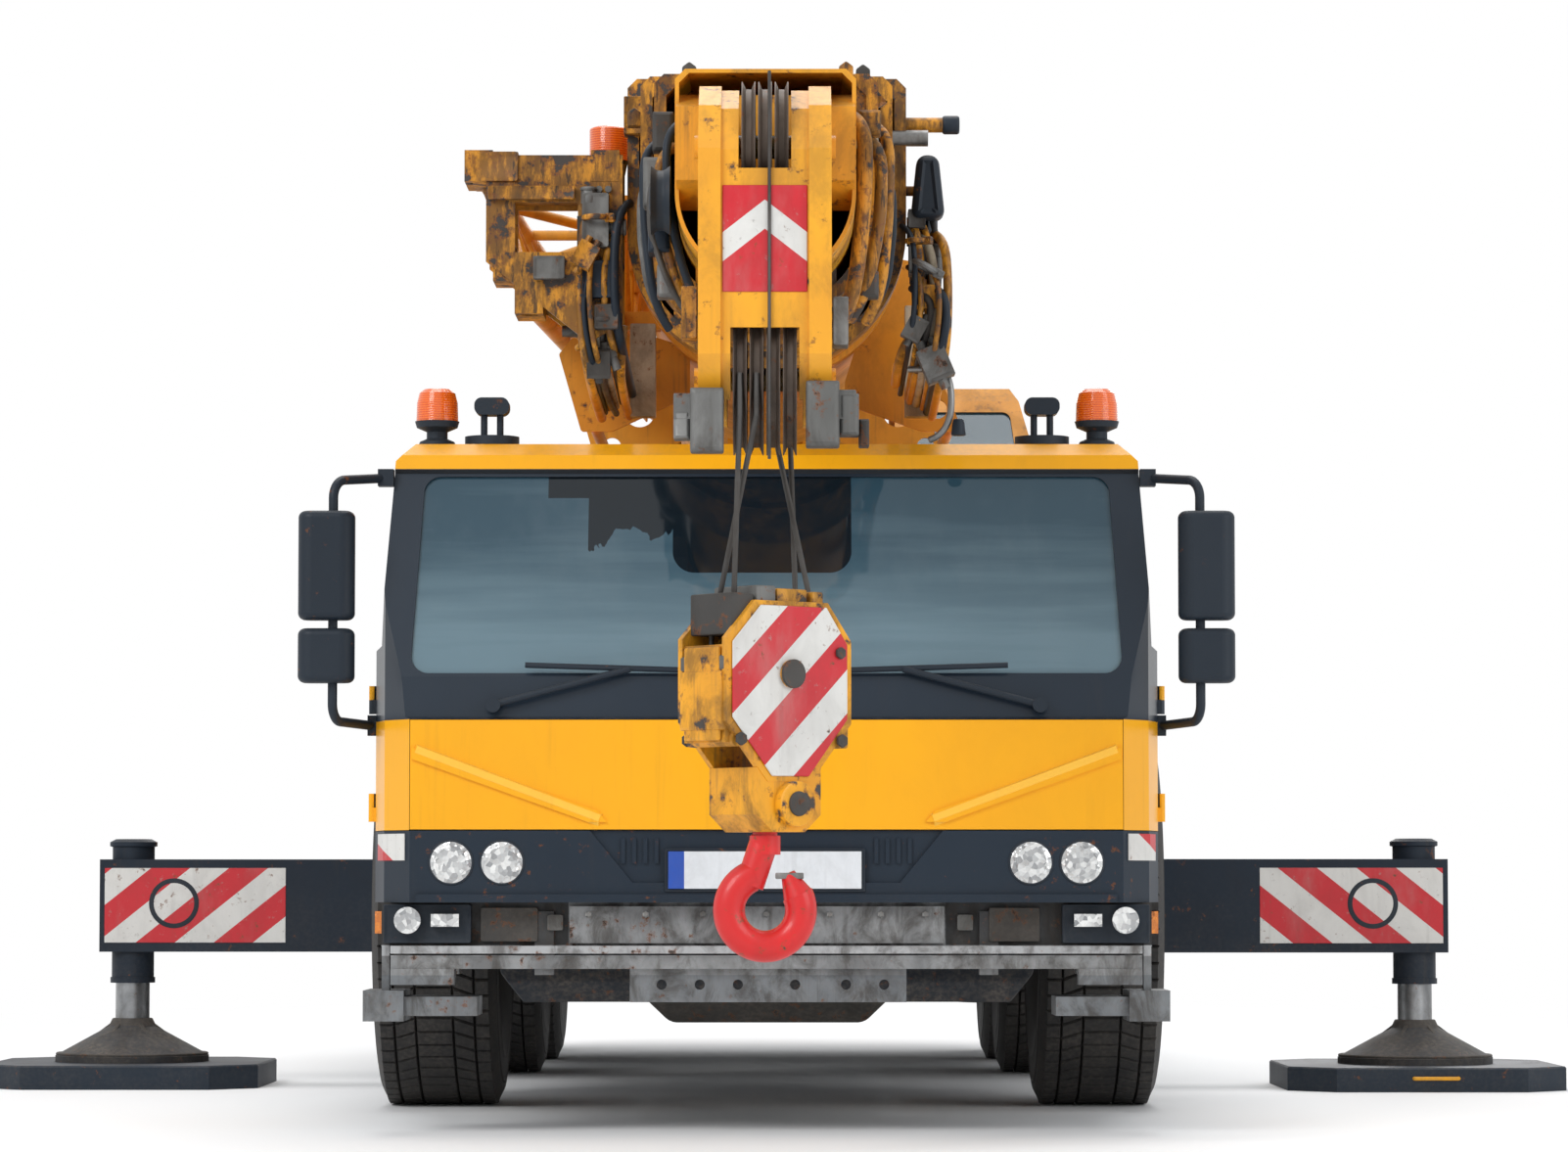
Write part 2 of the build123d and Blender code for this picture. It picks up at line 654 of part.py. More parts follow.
def side_window(inset=0):
    points = [
        (at(DOOR_FRONT_STATION + 70 + inset), SILL_TOP + 30 + inset),
        (at(DOOR_FRONT_STATION + 260), GLASS_TOP - 75 - inset),
        (at(DOOR_REAR_STATION - 80 - inset), GLASS_TOP - 75 - inset),
        (at(DOOR_REAR_STATION - 80 - inset), SILL_TOP + 30 + inset),
    ]
    return prism_x(points, 900, CAB_WIDTH / 2 + 50, 40)


def door_region(gap):
    points = [
        (at(DOOR_FRONT_STATION + gap), DOOR_BOTTOM + gap),
        (at(DOOR_FRONT_STATION + gap), SILL_TOP),
        (at(DOOR_FRONT_STATION + 190 + gap), GLASS_TOP - gap),
        (at(DOOR_REAR_STATION - gap), GLASS_TOP - gap),
        (at(DOOR_REAR_STATION - gap), DOOR_BOTTOM + gap),
    ]
    return prism_x(points, CAB_WIDTH / 2 - 200, CAB_WIDTH / 2 + 50)


def driver_cab():
    """Shell, doors, front panel and bumper skin of the driver's cab, cut from one hollow form."""
    outer = cab_body(0)
    shell = outer - cab_body(CAB_WALL)
    shell -= windscreen_opening()
    rear_points = [(-700, 1560), (-700, 2020), (700, 2020), (700, 1560)]
    shell -= prism_y(rear_points, at(CAB_LENGTH - 120), at(CAB_LENGTH + 20), 60)
    left_door = shell & door_region(GAP)
    left_door -= side_window()
    shell -= [door_region(0), mirrored(door_region(0))]
    # the front panel and the bumper are skins on the wall's inner layer
    edge = FRONT_FLAT / 2
    rear = DOOR_FRONT_STATION
    reach = CAB_WIDTH
    skin = outer - cab_body(SKIN_DEPTH)
    skin_seated = outer - cab_body(SKIN_DEPTH - SEAT_GAP)
    band = block(-edge - 2, edge + 2, at(-10), at(SKIN_DEPTH + 5), BUMPER_TOP - 1, BAND_TOP)
    low = block(-reach, reach, at(-10), at(rear - 12), CAB_BOTTOM - 10, BUMPER_TOP)
    panel = skin_seated & block(-edge, edge, at(-10), at(SKIN_DEPTH + 5), BUMPER_TOP + 2, BAND_TOP - 2)
    bumper = skin_seated & block(-reach, reach, at(-10), at(rear - 14), CAB_BOTTOM - 10, BUMPER_TOP - 2)
    shell -= [skin & band, skin & low]
    left_hinges = []
    for z in DOOR_HINGES_Z:
        left_hinges.append(door_hinge(z, 1))
    door = joined([left_door] + [hinge[1] for hinge in left_hinges])
    fixed = [hinge[0] for hinge in left_hinges]
    shell = joined([shell] + fixed + [mirrored(leaf) for leaf in fixed])
    return shell, [door, mirrored(door)], front_panel_detail(panel), bumper_detail(bumper)


def door_hinge(z, side):
    """Fixed and moving halves of a stacked hinge on the door's front edge."""
    x = CAB_WIDTH / 2 + HINGE_OFFSET
    y = at(DOOR_FRONT_STATION - HINGE_LEAD)
    wall = CAB_WIDTH / 2
    halves = []
    for low, high, front, rear in ((z, z + 45, -35, 0), (z + 45 + RUNNING_FIT, z + 90, 0, 40)):
        barrel = rod((x, y, low), (x, y, high), HINGE_RADIUS)
        leaf = block(wall + 1, x, y + front, y + rear, low, high)
        root_front = y + front if front < 0 else y + 14
        root_rear = y - 2 if front < 0 else y + rear
        root = block(wall - 8, wall + 2, root_front, root_rear, low, high)
        halves.append(joined([barrel, leaf, root]))
    return halves


def front_panel_detail(panel):
    """Two raised creases run down towards the middle of the yellow panel."""
    creases = []
    for side in (-1, 1):
        points = [
            (side * 1115, BAND_TOP - 88),
            (side * 1115, BAND_TOP - 125),
            (side * 560, BUMPER_TOP + 25),
            (side * 500, BUMPER_TOP + 25),
            (side * 530, BUMPER_TOP + 60),
        ]
        creases.append(prism_y(points, at(-9), at(5)))
    return joined([panel] + creases)


def bumper_detail(bumper):
    """Lamp bowls, the number plate's recess and the ribbed centre shape."""
    lamps = []
    for x in HEADLAMP_X:
        for side in (-1, 1):
            lamps.append(rod((side * x, at(-20), HEADLAMP_Z), (side * x, at(SKIN_DEPTH + 5), HEADLAMP_Z), HEADLAMP_RADIUS + 6))
    recess = prism_y([(-560, BUMPER_TOP + 5), (-420, 790), (420, 790), (560, BUMPER_TOP + 5)], at(-10), at(14))
    bumper = bumper - lamps - [recess]
    ribs = []
    for side in (-1, 1):
        for x in (345, 380, 415, 450):
            ribs.append(block(side * x - 6, side * x + 6, at(6), at(16), 850, 930))
    lip = block(-1100, 1100, at(-14), at(4), CAB_BOTTOM, CAB_BOTTOM + 26)
    return joined([bumper] + ribs + [lip])


def cab_glass():
    """Windscreen and rear pane, set back in their openings."""
    skin = cab_body(10) - cab_body(10 + GLASS_THICK)
    half = FRONT_FLAT / 2 + 5 - SEAT_GAP
    low = SILL_TOP + 10 + SEAT_GAP
    high = GLASS_TOP - 10 - SEAT_GAP
    points = [(-half, low), (-half + 30, high), (half - 30, high), (half, low)]
    screen = skin & prism_y(points, at(-60), at(45 + RAKE + 60), 55)
    edge = 700 - SEAT_GAP
    rear = [(-edge, 1560 + SEAT_GAP), (-edge, 2020 - SEAT_GAP), (edge, 2020 - SEAT_GAP), (edge, 1560 + SEAT_GAP)]
    pane = prism_y(rear, at(CAB_LENGTH - 34), at(CAB_LENGTH - 26), 60)
    return several([screen, pane])


def seat(x, y, z, width=480):
    """Seat base, cushion, backrest and headrest as one piece, facing forwards."""
    base = block(x - width * 0.3, x + width * 0.3, y - 180, y + 180, z, z + 170)
    cushion = prism_x([(y - 260, z + 165), (y - 270, z + 290), (y + 240, z + 265), (y + 240, z + 165)], x - width / 2, x + width / 2, 35)
    back = prism_x([(y + 180, z + 240), (y + 250, z + 820), (y + 350, z + 820), (y + 310, z + 240)], x - width / 2, x + width / 2, 30)
    head = block(x - 130, x + 130, y + 265, y + 345, z + 815, z + 960)
    return joined([base, cushion, back, head])


def cab_interior():
    """Dashboard with the steering wheel, and the two seats."""
    floor = CAB_BOTTOM + CAB_WALL + SEAT_GAP
    inner = CAB_WIDTH / 2 - CAB_WALL - 25
    front = at(CAB_WALL + 65)
    dash_points = [(front, BUMPER_TOP + 60), (front, SILL_TOP - 60), (front + 330, SILL_TOP - 90), (front + 290, BUMPER_TOP + 130)]
    dash = prism_x(dash_points, 120 - inner, inner - 120, 20)
    pedestal = block(-250, 250, front + 40, front + 240, floor, BUMPER_TOP + 90)
    column = rod((550, front + 220, SILL_TOP - 150), (550, front + 400, SILL_TOP - 20), 30)
    wheel_plane = Plane(origin=(550, front + 400, SILL_TOP - 20), z_dir=(0, 180, 130))
    ring = wheel_plane * Torus(210, 16)
    hub = extrude(wheel_plane * Circle(55), 25, both=True)
    spokes = wheel_plane * Box(400, 34, 14)
    wheel = joined([column, hub, spokes, ring])
    seats = [seat(x, at(1000), floor) for x in (-550, 550)]
    return several([joined([dash, pedestal, wheel])] + seats)


def fascia_station(z):
    """How far the cab's face lies back at a height between the front panel and the windscreen."""
    return 25 + 20 * (z - BAND_TOP - 8) / (SILL_TOP - BAND_TOP - 8)


def wiper(side):
    """Wiper arm and blade laid along the foot of the windscreen."""
    pivot_z = BAND_TOP + 45
    face = at(fascia_station(pivot_z))
    pivot = (side * 860, face - 32, pivot_z)
    tip = (side * 430, at(18), SILL_TOP + 22)
    arm = rod(pivot, tip, 11)
    blade = rod((side * 120, at(22), SILL_TOP + 14), (side * 760, at(22), SILL_TOP + 34), 9)
    cap = rod((side * 860, face - 46, pivot_z), (side * 860, face - 4, pivot_z), 24)
    return joined([arm, blade, cap])


# feet of the mirror tubes: inner x, outer x, front and rear station, lower and upper z
MIRROR_FEET = (
    (CAB_WIDTH / 2 + SEAT_GAP, CAB_WIDTH / 2 + 28, 292, 332, 1260, 1325),
    (1195.1, 1245, 245, 305, 2058, 2112),
)


def mirror_set(side):
    """Tall main mirror over a square wide-angle one, carried by a bent tube off the front pillar."""
    x = side * 1390
    y = at(60)
    main = Pos(x, y, 1790) * Box(178, 110, 345)
    main = fillet(main.edges().filter_by(Axis.Z), 45)
    main = fillet(main.faces().sort_by(Axis.Z)[-1].edges() + main.faces().sort_by(Axis.Z)[0].edges(), 22)
    wide = Pos(x, y, 1505) * Box(178, 110, 172)
    wide = fillet(wide.edges().filter_by(Axis.Z), 45)
    wide = fillet(wide.faces().sort_by(Axis.Z)[-1].edges() + wide.faces().sort_by(Axis.Z)[0].edges(), 22)
    upper = FilletPolyline((side * 1222, at(280), 2085), (x - side * 20, y, 2060), (x - side * 20, y, 1940), radius=60)
    lower = FilletPolyline((x - side * 20, y, 1430), (x - side * 20, y, 1300), (side * 1264, at(311), 1292), radius=55)
    pieces = [main, wide]
    for path in (upper, lower):
        start = Plane(origin=path @ 0, z_dir=path % 0)
        pieces.append(sweep(start * Circle(15), path=path))
    pieces.append(rod((x - side * 20, y, 1580), (x - side * 20, y, 1640), 15))
    for inner, outer, front, rear, low, high in MIRROR_FEET:
        pieces.append(block(min(side * inner, side * outer), max(side * inner, side * outer), at(front), at(rear), low, high))
    return joined(pieces)


def roof_lamp_bases():
    """Beacon sockets and the two roof lamps on their posts."""
    shapes = []
    for side in (-1, 1):
        x = side * BEACON_X
        y = at(ROOF_LAMP_STATION)
        z = CAB_TOP + SEAT_GAP
        profile = [(0, 0), (62, 0), (56, 14), (34, 24), (34, 46), (66, 60), (72, BEACON_BASE), (0, BEACON_BASE)]
        face = Plane.XZ * make_face(Polyline(*profile, close=True))
        shapes.append(Pos(x, y, z) * revolve(face, Axis.Z))
        lamp_x = side * ROOF_LAMP_X
        base = Pos(lamp_x, y, CAB_TOP + SEAT_GAP + 15) * Cylinder(88, 30)
        posts = [rod((lamp_x + dx, y, CAB_TOP + 10), (lamp_x + dx, y, CAB_TOP + 110), 11) for dx in (-26, 26)]
        head = Pos(lamp_x, y, CAB_TOP + 128) * Box(112, 84, 56)
        head = fillet(head.edges().filter_by(Axis.Y), 24)
        shapes.append(joined([base, head] + posts))
    return shapes


def beacon_domes():
    shapes = []
    profile = [(0, 0), (68, 0), (66, 60), (58, 92), (44, 104), (0, 104)]
    face = Plane.XZ * make_face(Polyline(*profile, close=True))
    base = CAB_TOP + BEACON_BASE + 2 * SEAT_GAP
    for side in (-1, 1):
        shapes.append(Pos(side * BEACON_X, at(ROOF_LAMP_STATION), base) * revolve(face, Axis.Z))
    return several(shapes)


def headlamps():
    """Round headlamps in the bumper and the lamp pairs below it."""
    shapes = []
    for side in (-1, 1):
        for x in HEADLAMP_X:
            start = (side * x, at(6), HEADLAMP_Z)
            shapes.append(rod(start, (side * x, at(SKIN_DEPTH - SEAT_GAP), HEADLAMP_Z), HEADLAMP_RADIUS))
        back = at(100) - SEAT_GAP
        shapes.append(rod((side * 1128, at(20), 672), (side * 1128, back, 672), 42))
        shapes.append(block(side * 1010 - 44, side * 1010 + 44, at(20), back, 652, 692))
        near = side * (1215 + SEAT_GAP)
        far = side * 1236
        shapes.append(block(min(near, far), max(near, far), at(105), at(145), 630, 700))
    return several(shapes)


def front_underbody():
    """Steel cross plates, aluminium underrun bars and the corner steps below the bumper."""
    top = CAB_BOTTOM - SEAT_GAP
    dark = block(-1215, 1215, at(100), at(150), 590, top)
    mid = block(-620, 560, at(60), at(101), 600, 716)
    bar_high = block(-1180, 1180, at(10), at(105), 568, 592)
    bar_low = block(-1180, 1180, at(25), at(105), 520, 562)
    ends = [block(side * 1080 - 100, side * 1080 + 100, at(18), at(110), 470, 520) for side in (-1, 1)]
    centre = block(-430, 440, at(60), at(110), 415, 521)
    web = [block(x - 30, x + 30, at(70), at(140), 500, 700) for x in (-700, 700)]
    pieces = [dark, mid, bar_high, bar_low, centre] + ends + web
    for side in (-1, 1):
        stay = at(SUBFRAME_FRONT_STATION - 40) - SEAT_GAP
        pieces.append(block(side * 350 - 50, side * 350 + 50, at(140), stay, 600, 700))
        pieces.append(block(side * 1200 - 12, side * 1200 + 12, at(80), at(140), 360, 620))
        step = block(min(side * 910, side * 1255), max(side * 910, side * 1255), at(60), at(330), 372, 432)
        block_end = block(min(side * 1140, side * 1268), max(side * 1140, side * 1268), at(40), at(350), 355, 452)
        pieces += [step, block_end]
    shape = joined(pieces)
    holes = [rod((x, at(40), 470), (x, at(130), 470), 16) for x in (-330, -210, -90, 90, 250, 370)]
    return shape - holes


def rear_lamps():
    shapes = []
    for side in (-1, 1):
        x = side * 900
        y1 = at(FRAME_REAR_STATION)
        shapes.append(block(x - 180, x + 180, y1 + SEAT_GAP, y1 + 45, 715, 815))
    return several(shapes)


# ---------------------------------------------------------------- outriggers
OUTRIGGERS = {
    # name: box station, side, beam tip from the centre line, foot's underside above the ground
    "front_left": (FRONT_BOX_STATION, 1, FRONT_BEAM_TIP, MAT_THICK + SEAT_GAP),
    "front_right": (FRONT_BOX_STATION, -1, FRONT_BEAM_TIP, MAT_THICK + SEAT_GAP),
    "rear_left": (REAR_BOX_STATION, 1, REAR_BEAM_TIP, REAR_FOOT_LIFT),
    "rear_right": (REAR_BOX_STATION, -1, REAR_BEAM_TIP, REAR_FOOT_LIFT),
}


def outrigger_beam(station, side, tip):
    """Box beam with capped ends; the jack's outer tube stands in its outer end."""
    y = beam_y(station, side)
    top = BEAM_BOTTOM + BEAM_HEIGHT
    half = BEAM_WIDTH / 2
    inner_end = tip - BEAM_LENGTH
    jack_x = tip - JACK_INSET
    outer = block(inner_end, tip, y - half, y + half, BEAM_BOTTOM, top)
    hollow = block(inner_end - 10, tip - 260, y - half + BEAM_WALL, y + half - BEAM_WALL, BEAM_BOTTOM + BEAM_WALL, top - BEAM_WALL)
    beam = outer - hollow
    bore = JACK_TUBE_RADIUS - JACK_TUBE_WALL
    tube_top = top + 50
    jack = rod((jack_x, y, JACK_TUBE_BOTTOM), (jack_x, y, tube_top), JACK_TUBE_RADIUS)
    collar = rod((jack_x, y, JACK_TUBE_BOTTOM), (jack_x, y, JACK_TUBE_BOTTOM + 22), JACK_TUBE_RADIUS + 5)
    cap = [(0, 44), (JACK_CAP_RADIUS - 25, 44), (JACK_CAP_RADIUS, 52), (JACK_CAP_RADIUS, 68), (70, 80), (0, 80)]
    cap_face = Plane.XZ * make_face(Polyline(*cap, close=True))
    cap_shape = Pos(jack_x, y, top) * revolve(cap_face, Axis.Z)
    beam = joined([beam, jack, collar, cap_shape])
    beam -= rod((jack_x, y, JACK_TUBE_BOTTOM - 20), (jack_x, y, top + 32), bore)
    return beam if side > 0 else mirrored(beam)


def outrigger_jack(station, side, tip, foot_z):
    """Chromed jack rod with its spread foot."""
    y = beam_y(station, side)
    x = tip - JACK_INSET
    radius = JACK_TUBE_RADIUS - JACK_TUBE_WALL - RUNNING_FIT
    lift = foot_z - MAT_THICK - SEAT_GAP
    foot = [(0, 0), (FOOT_RADIUS, 0), (FOOT_RADIUS, 24), (95, FOOT_HEIGHT - 14), (82, FOOT_HEIGHT), (0, FOOT_HEIGHT)]
    face = Plane.XZ * make_face(Polyline(*foot, close=True))
    shape = Pos(x, y, foot_z) * revolve(face, Axis.Z)
    shape += rod((x, y, foot_z + 10), (x, y, JACK_ROD_TOP + lift), radius)
    return shape if side > 0 else mirrored(shape)


def outrigger_mat(side):
    """Load-spreading mat under a front foot, with cut corners."""
    x = FRONT_BEAM_TIP - JACK_INSET
    y = beam_y(FRONT_BOX_STATION, side)
    half = MAT_SIDE / 2
    cut = MAT_CORNER
    corners = []
    for sx, sy in ((-1, -1), (1, -1), (1, 1), (-1, 1)):
        near = (x + sx * half, y + sy * (half - cut))
        far = (x + sx * (half - cut), y + sy * half)
        corners += [near, far] if sx * sy > 0 else [far, near]
    mat = prism_z(corners, 0, MAT_THICK)
    mat = chamfer(mat.faces().sort_by(Axis.Z)[-1].edges(), 6)
    return mat if side > 0 else mirrored(mat)


# ---------------------------------------------------------------- superstructure
# lightening windows in the boom cheeks: station, lower edge, width
CHEEK_WINDOWS = (
    (6250, SUPER_FLOOR + 130, 460),
    (6900, SUPER_FLOOR + 130, 520),
)


def turntable():
    """Slewing platform: floor plate, two cheeks for the boom's foot, winch stand and cylinder foot."""
    y0 = at(SLEW_STATION - 700)
    y1 = at(TAIL_REACH - 60)
    half = CHEEK_INNER_X + CHEEK_THICK
    floor = block(-half, half, y0, y1, SUPER_BOTTOM, SUPER_FLOOR)
    ring = rod((0, at(SLEW_STATION), SLEW_RING_TOP + RUNNING_FIT), (0, at(SLEW_STATION), SUPER_BOTTOM + 10), SLEW_RING_RADIUS + 20)
    cheek_points = [
        (at(SLEW_STATION - 650), SUPER_FLOOR - 5),
        (at(SLEW_STATION - 650), SUPER_FLOOR + 200),
        (at(SLEW_STATION + 500), SUPER_FLOOR + 560),
        (at(PIVOT_STATION - 220), PIVOT_Z + 60),
        (at(PIVOT_STATION - 120), PIVOT_Z + 170),
        (at(PIVOT_STATION + 120), PIVOT_Z + 170),
        (at(PIVOT_STATION + 230), PIVOT_Z + 40),
        (at(WINCH_STATION - 260), COUNTERWEIGHT_TOP - 30),
        (at(TAIL_REACH - 80), COUNTERWEIGHT_TOP - 30),
        (at(TAIL_REACH - 80), SUPER_FLOOR - 5),
    ]
    inner = CHEEK_INNER_X
    outer = inner + CHEEK_THICK
    cheeks = [prism_x(cheek_points, min(s * inner, s * outer), max(s * inner, s * outer)) for s in (-1, 1)]
    holes = []
    for station, low, span in CHEEK_WINDOWS:
        y = at(station)
        window = [(y, low), (y, low + span * 0.6), (y + span, low + span * 0.85), (y + span, low)]
        holes.append(prism_x(window, -outer - 10, outer + 10, 50))
    cheeks = [cheek - holes for cheek in cheeks]
    pivot_bore = disc_x(-outer - 40, outer + 40, at(PIVOT_STATION), PIVOT_Z, PIVOT_RADIUS + RUNNING_FIT)
    bosses = [disc_x(min(s * (inner + 2), s * (outer + 22)), max(s * (inner + 2), s * (outer + 22)),
                     at(PIVOT_STATION), PIVOT_Z, 130) for s in (-1, 1)]
    cylinder_ears = []
    for s in (-1, 1):
        points = [
            (at(FOOT_PIN_STATION - 150), SUPER_FLOOR - 5),
            (at(FOOT_PIN_STATION - 80), FOOT_PIN_Z + 70),
            (at(FOOT_PIN_STATION + 80), FOOT_PIN_Z + 70),
            (at(FOOT_PIN_STATION + 150), SUPER_FLOOR - 5),
        ]
        cylinder_ears.append(prism_x(points, min(s * 150, s * 185), max(s * 150, s * 185), 30))
    foot_pin = disc_x(-186, 186, at(FOOT_PIN_STATION), FOOT_PIN_Z, LUFF_PIN_RADIUS)
    stand = []
    for s in (-1, 1):
        x = s * (WINCH_HALF_WIDTH + 30)
        points = [
            (at(WINCH_STATION - 170), COUNTERWEIGHT_TOP - 200),
            (at(WINCH_STATION - 90), WINCH_Z + 90),
            (at(WINCH_STATION + 90), WINCH_Z + 90),
            (at(WINCH_STATION + 170), COUNTERWEIGHT_TOP - 200),
        ]
        stand.append(prism_x(points, min(x, x + s * 22), max(x, x + s * 22), 20))
        tie = block(min(x, s * (inner + 5)), max(x, s * (inner + 5)), at(WINCH_STATION - 150), at(WINCH_STATION + 150),
                    COUNTERWEIGHT_TOP - 190, COUNTERWEIGHT_TOP - 160)
        stand.append(tie)
    shape = joined([floor, ring] + cheeks + bosses + cylinder_ears + [foot_pin] + stand)
    axle_bores = disc_x(-(WINCH_HALF_WIDTH + 60), WINCH_HALF_WIDTH + 60, at(WINCH_STATION), WINCH_Z, WINCH_AXLE_RADIUS + RUNNING_FIT)
    # the operator's cab hangs on two arms at the left
    arms = [block(CHEEK_INNER_X + 10, OPERATOR_OUTER_X - 60, at(station), at(station + 90), SUPER_BOTTOM, SUPER_FLOOR)
            for station in (OPERATOR_FRONT_STATION + 520, OPERATOR_REAR_STATION - 300)]
    shape = joined([shape] + arms)
    return shape - [pivot_bore, axle_bores]


def counterweight():
    """Slabs bolted to the platform's rear, rounded at the corners, with a well for the winch."""
    y0 = at(COUNTERWEIGHT_FRONT)
    y1 = at(TAIL_REACH)
    shapes = []
    for side in (-1, 1):
        x_in = CHEEK_INNER_X + CHEEK_THICK + SEAT_GAP
        points = [(x_in, y0), (1250, y0), (1250, y1 - 200), (1080, y1), (x_in, y1)]
        slab = prism_z([(side * x, y) for x, y in points], SUPER_BOTTOM + 20, COUNTERWEIGHT_TOP)
        groove = block(min(side * x_in, side * 1300), max(side * x_in, side * 1300), y0 - 10, y1 + 10, 1925, 1935)
        core = block(min(side * x_in, side * 1230), max(side * x_in, side * 1230), y0 + 15, y1 - 180, 1900, 1960)
        shapes.append(slab - groove + core)
    rear = block(-x_in - 2, x_in + 2, y1 - 58, y1, SUPER_BOTTOM + 20, COUNTERWEIGHT_TOP)
    return joined(shapes + [rear])


def power_pack():
    """Closed housing of the upper hydraulic unit and tank, right of the boom's foot."""
    x0 = -(CHEEK_INNER_X + CHEEK_THICK + SEAT_GAP)
    y0 = at(SLEW_STATION + 900)
    y1 = at(COUNTERWEIGHT_FRONT - 40)
    x1 = x0 - POWER_PACK_WIDTH
    base = SUPER_BOTTOM + 20
    top = POWER_PACK_TOP
    body = prism_y([(x0, base), (x0, top), (x1 + 100, top), (x1, top - 120), (x1, base)], y0, y1)
    tank_y = at(SLEW_STATION - 250)
    tank_top = top - TANK_DROP
    tank = prism_y([(x0, base), (x0, tank_top), (x1 + 50, tank_top), (x1 + 50, base)], tank_y, y0 - 60, 40)
    bridge = block(x1 + 200, x0 - 20, y0 - 80, y0 + 10, base + 40, base + 140)
    slots = []
    for row in range(6):
        z = base + 165 + row * 70
        slots.append(block(x1 - 60, x1 + 20, y0 + 200, y0 + 1100, z, z + 34))
    return joined([body, tank, bridge]) - slots


def operator_body(inset):
    """The operator's cab moved inwards by inset: raked front, leaning outer wall."""
    y0 = at(OPERATOR_FRONT_STATION)
    y1 = at(OPERATOR_REAR_STATION)
    base = SUPER_FLOOR + SEAT_GAP
    side = [
        (y0 + 130, base),
        (y0, base + 420),
        (y0 + 40, base + 760),
        (y0 + 330, OPERATOR_TOP - 60),
        (y0 + 420, OPERATOR_TOP),
        (y1 - 60, OPERATOR_TOP),
        (y1, OPERATOR_TOP - 60),
        (y1, base),
    ]
    front = [
        (OPERATOR_INNER_X, base),
        (OPERATOR_INNER_X, OPERATOR_TOP),
        (OPERATOR_OUTER_X - 110, OPERATOR_TOP),
        (OPERATOR_OUTER_X - 75, OPERATOR_TOP - 60),
        (OPERATOR_OUTER_X, base + 700),
        (OPERATOR_OUTER_X, base),
    ]
    side_plane = Plane(origin=(OPERATOR_INNER_X, 0, 0), x_dir=(0, 1, 0), z_dir=(1, 0, 0))
    body = extrude(side_plane * inset_face(side, inset), OPERATOR_OUTER_X - OPERATOR_INNER_X)
    front_plane = Plane(origin=(0, y1, 0), x_dir=(1, 0, 0), z_dir=(0, -1, 0))
    return body & extrude(front_plane * inset_face(front, inset), y1 - y0)


def operator_door_region(gap):
    y0 = at(OPERATOR_FRONT_STATION + 560)
    y1 = at(OPERATOR_REAR_STATION - OPERATOR_DOOR_END)
    base = SUPER_FLOOR + 90
    head = OPERATOR_TOP - 130 - gap
    points = [(y0 + gap, base + gap), (y0 + gap, head), (y1 - gap, head), (y1 - gap, base + gap)]
    return prism_x(points, OPERATOR_OUTER_X - 190, OPERATOR_OUTER_X + 60)


def operator_screen(inset):
    """Opening of the operator's windscreen, or its pane drawn in by inset."""
    x0 = OPERATOR_INNER_X + 60 + inset
    x1 = OPERATOR_OUTER_X - 95 - inset
    low = SUPER_FLOOR + 470 + inset
    high = OPERATOR_TOP - 110 - inset
    points = [(x0, low), (x0, high), (x1 - 20, high), (x1, SUPER_FLOOR + 780), (x1, low)]
    y0 = at(OPERATOR_FRONT_STATION)
    return prism_y(points, y0 - 60, y0 + 480, 35)


def operator_cab():
    """Shell and hinged door of the operator's cab, with its panes."""
    shell = operator_body(0) - operator_body(OPERATOR_WALL)
    y0 = at(OPERATOR_FRONT_STATION)
    base = SUPER_FLOOR
    screen_cut = operator_screen(0)
    side_points = [
        (y0 + 110, base + 520),
        (y0 + 130, base + 770),
        (y0 + 330, OPERATOR_TOP - 160),
        (y0 + 520, OPERATOR_TOP - 160),
        (y0 + 520, base + 520),
    ]
    side_cut = prism_x(side_points, OPERATOR_OUTER_X - 190, OPERATOR_OUTER_X + 60, 20)
    shell -= [screen_cut]
    door = shell & operator_door_region(GAP)
    shell -= [operator_door_region(0), side_cut]
    y1 = at(OPERATOR_REAR_STATION - OPERATOR_DOOR_END)
    pane_top = OPERATOR_TOP - 200
    pane = [(y0 + 630, base + 520), (y0 + 630, pane_top), (y1 - 80, pane_top), (y1 - 80, base + 520)]
    window = prism_x(pane, OPERATOR_OUTER_X - 190, OPERATOR_OUTER_X + 60, 30)
    door -= window
    moving, fixed = [], []
    for z in OPERATOR_HINGES_Z:
        x = OPERATOR_OUTER_X + HINGE_OFFSET
        y = y1 + HINGE_LEAD
        for low, high, front, rear, group in ((z, z + 45, 0, 40, fixed), (z + 45 + RUNNING_FIT, z + 90, -40, 0, moving)):
            barrel = rod((x, y, low), (x, y, high), HINGE_RADIUS)
            leaf = block(OPERATOR_OUTER_X + 1, x, y + front, y + rear, low, high)
            root_front = y + 2 if group is fixed else y + front
            root_rear = y + rear if group is fixed else y - 14
            root = block(OPERATOR_OUTER_X - 8, OPERATOR_OUTER_X + 2, root_front, root_rear, low, high)
            group.append(joined([barrel, leaf, root]))
    door = joined([door] + moving)
    shell = joined([shell] + fixed)
    skin = operator_body(8) - operator_body(8 + GLASS_THICK)
    return shell, door, skin & operator_screen(SEAT_GAP)


def operator_seat():
    x = (OPERATOR_INNER_X + OPERATOR_OUTER_X) / 2 - 20
    base = SUPER_FLOOR + OPERATOR_WALL + 2 * SEAT_GAP
    return seat(x, at(OPERATOR_FRONT_STATION + 900), base, 440)


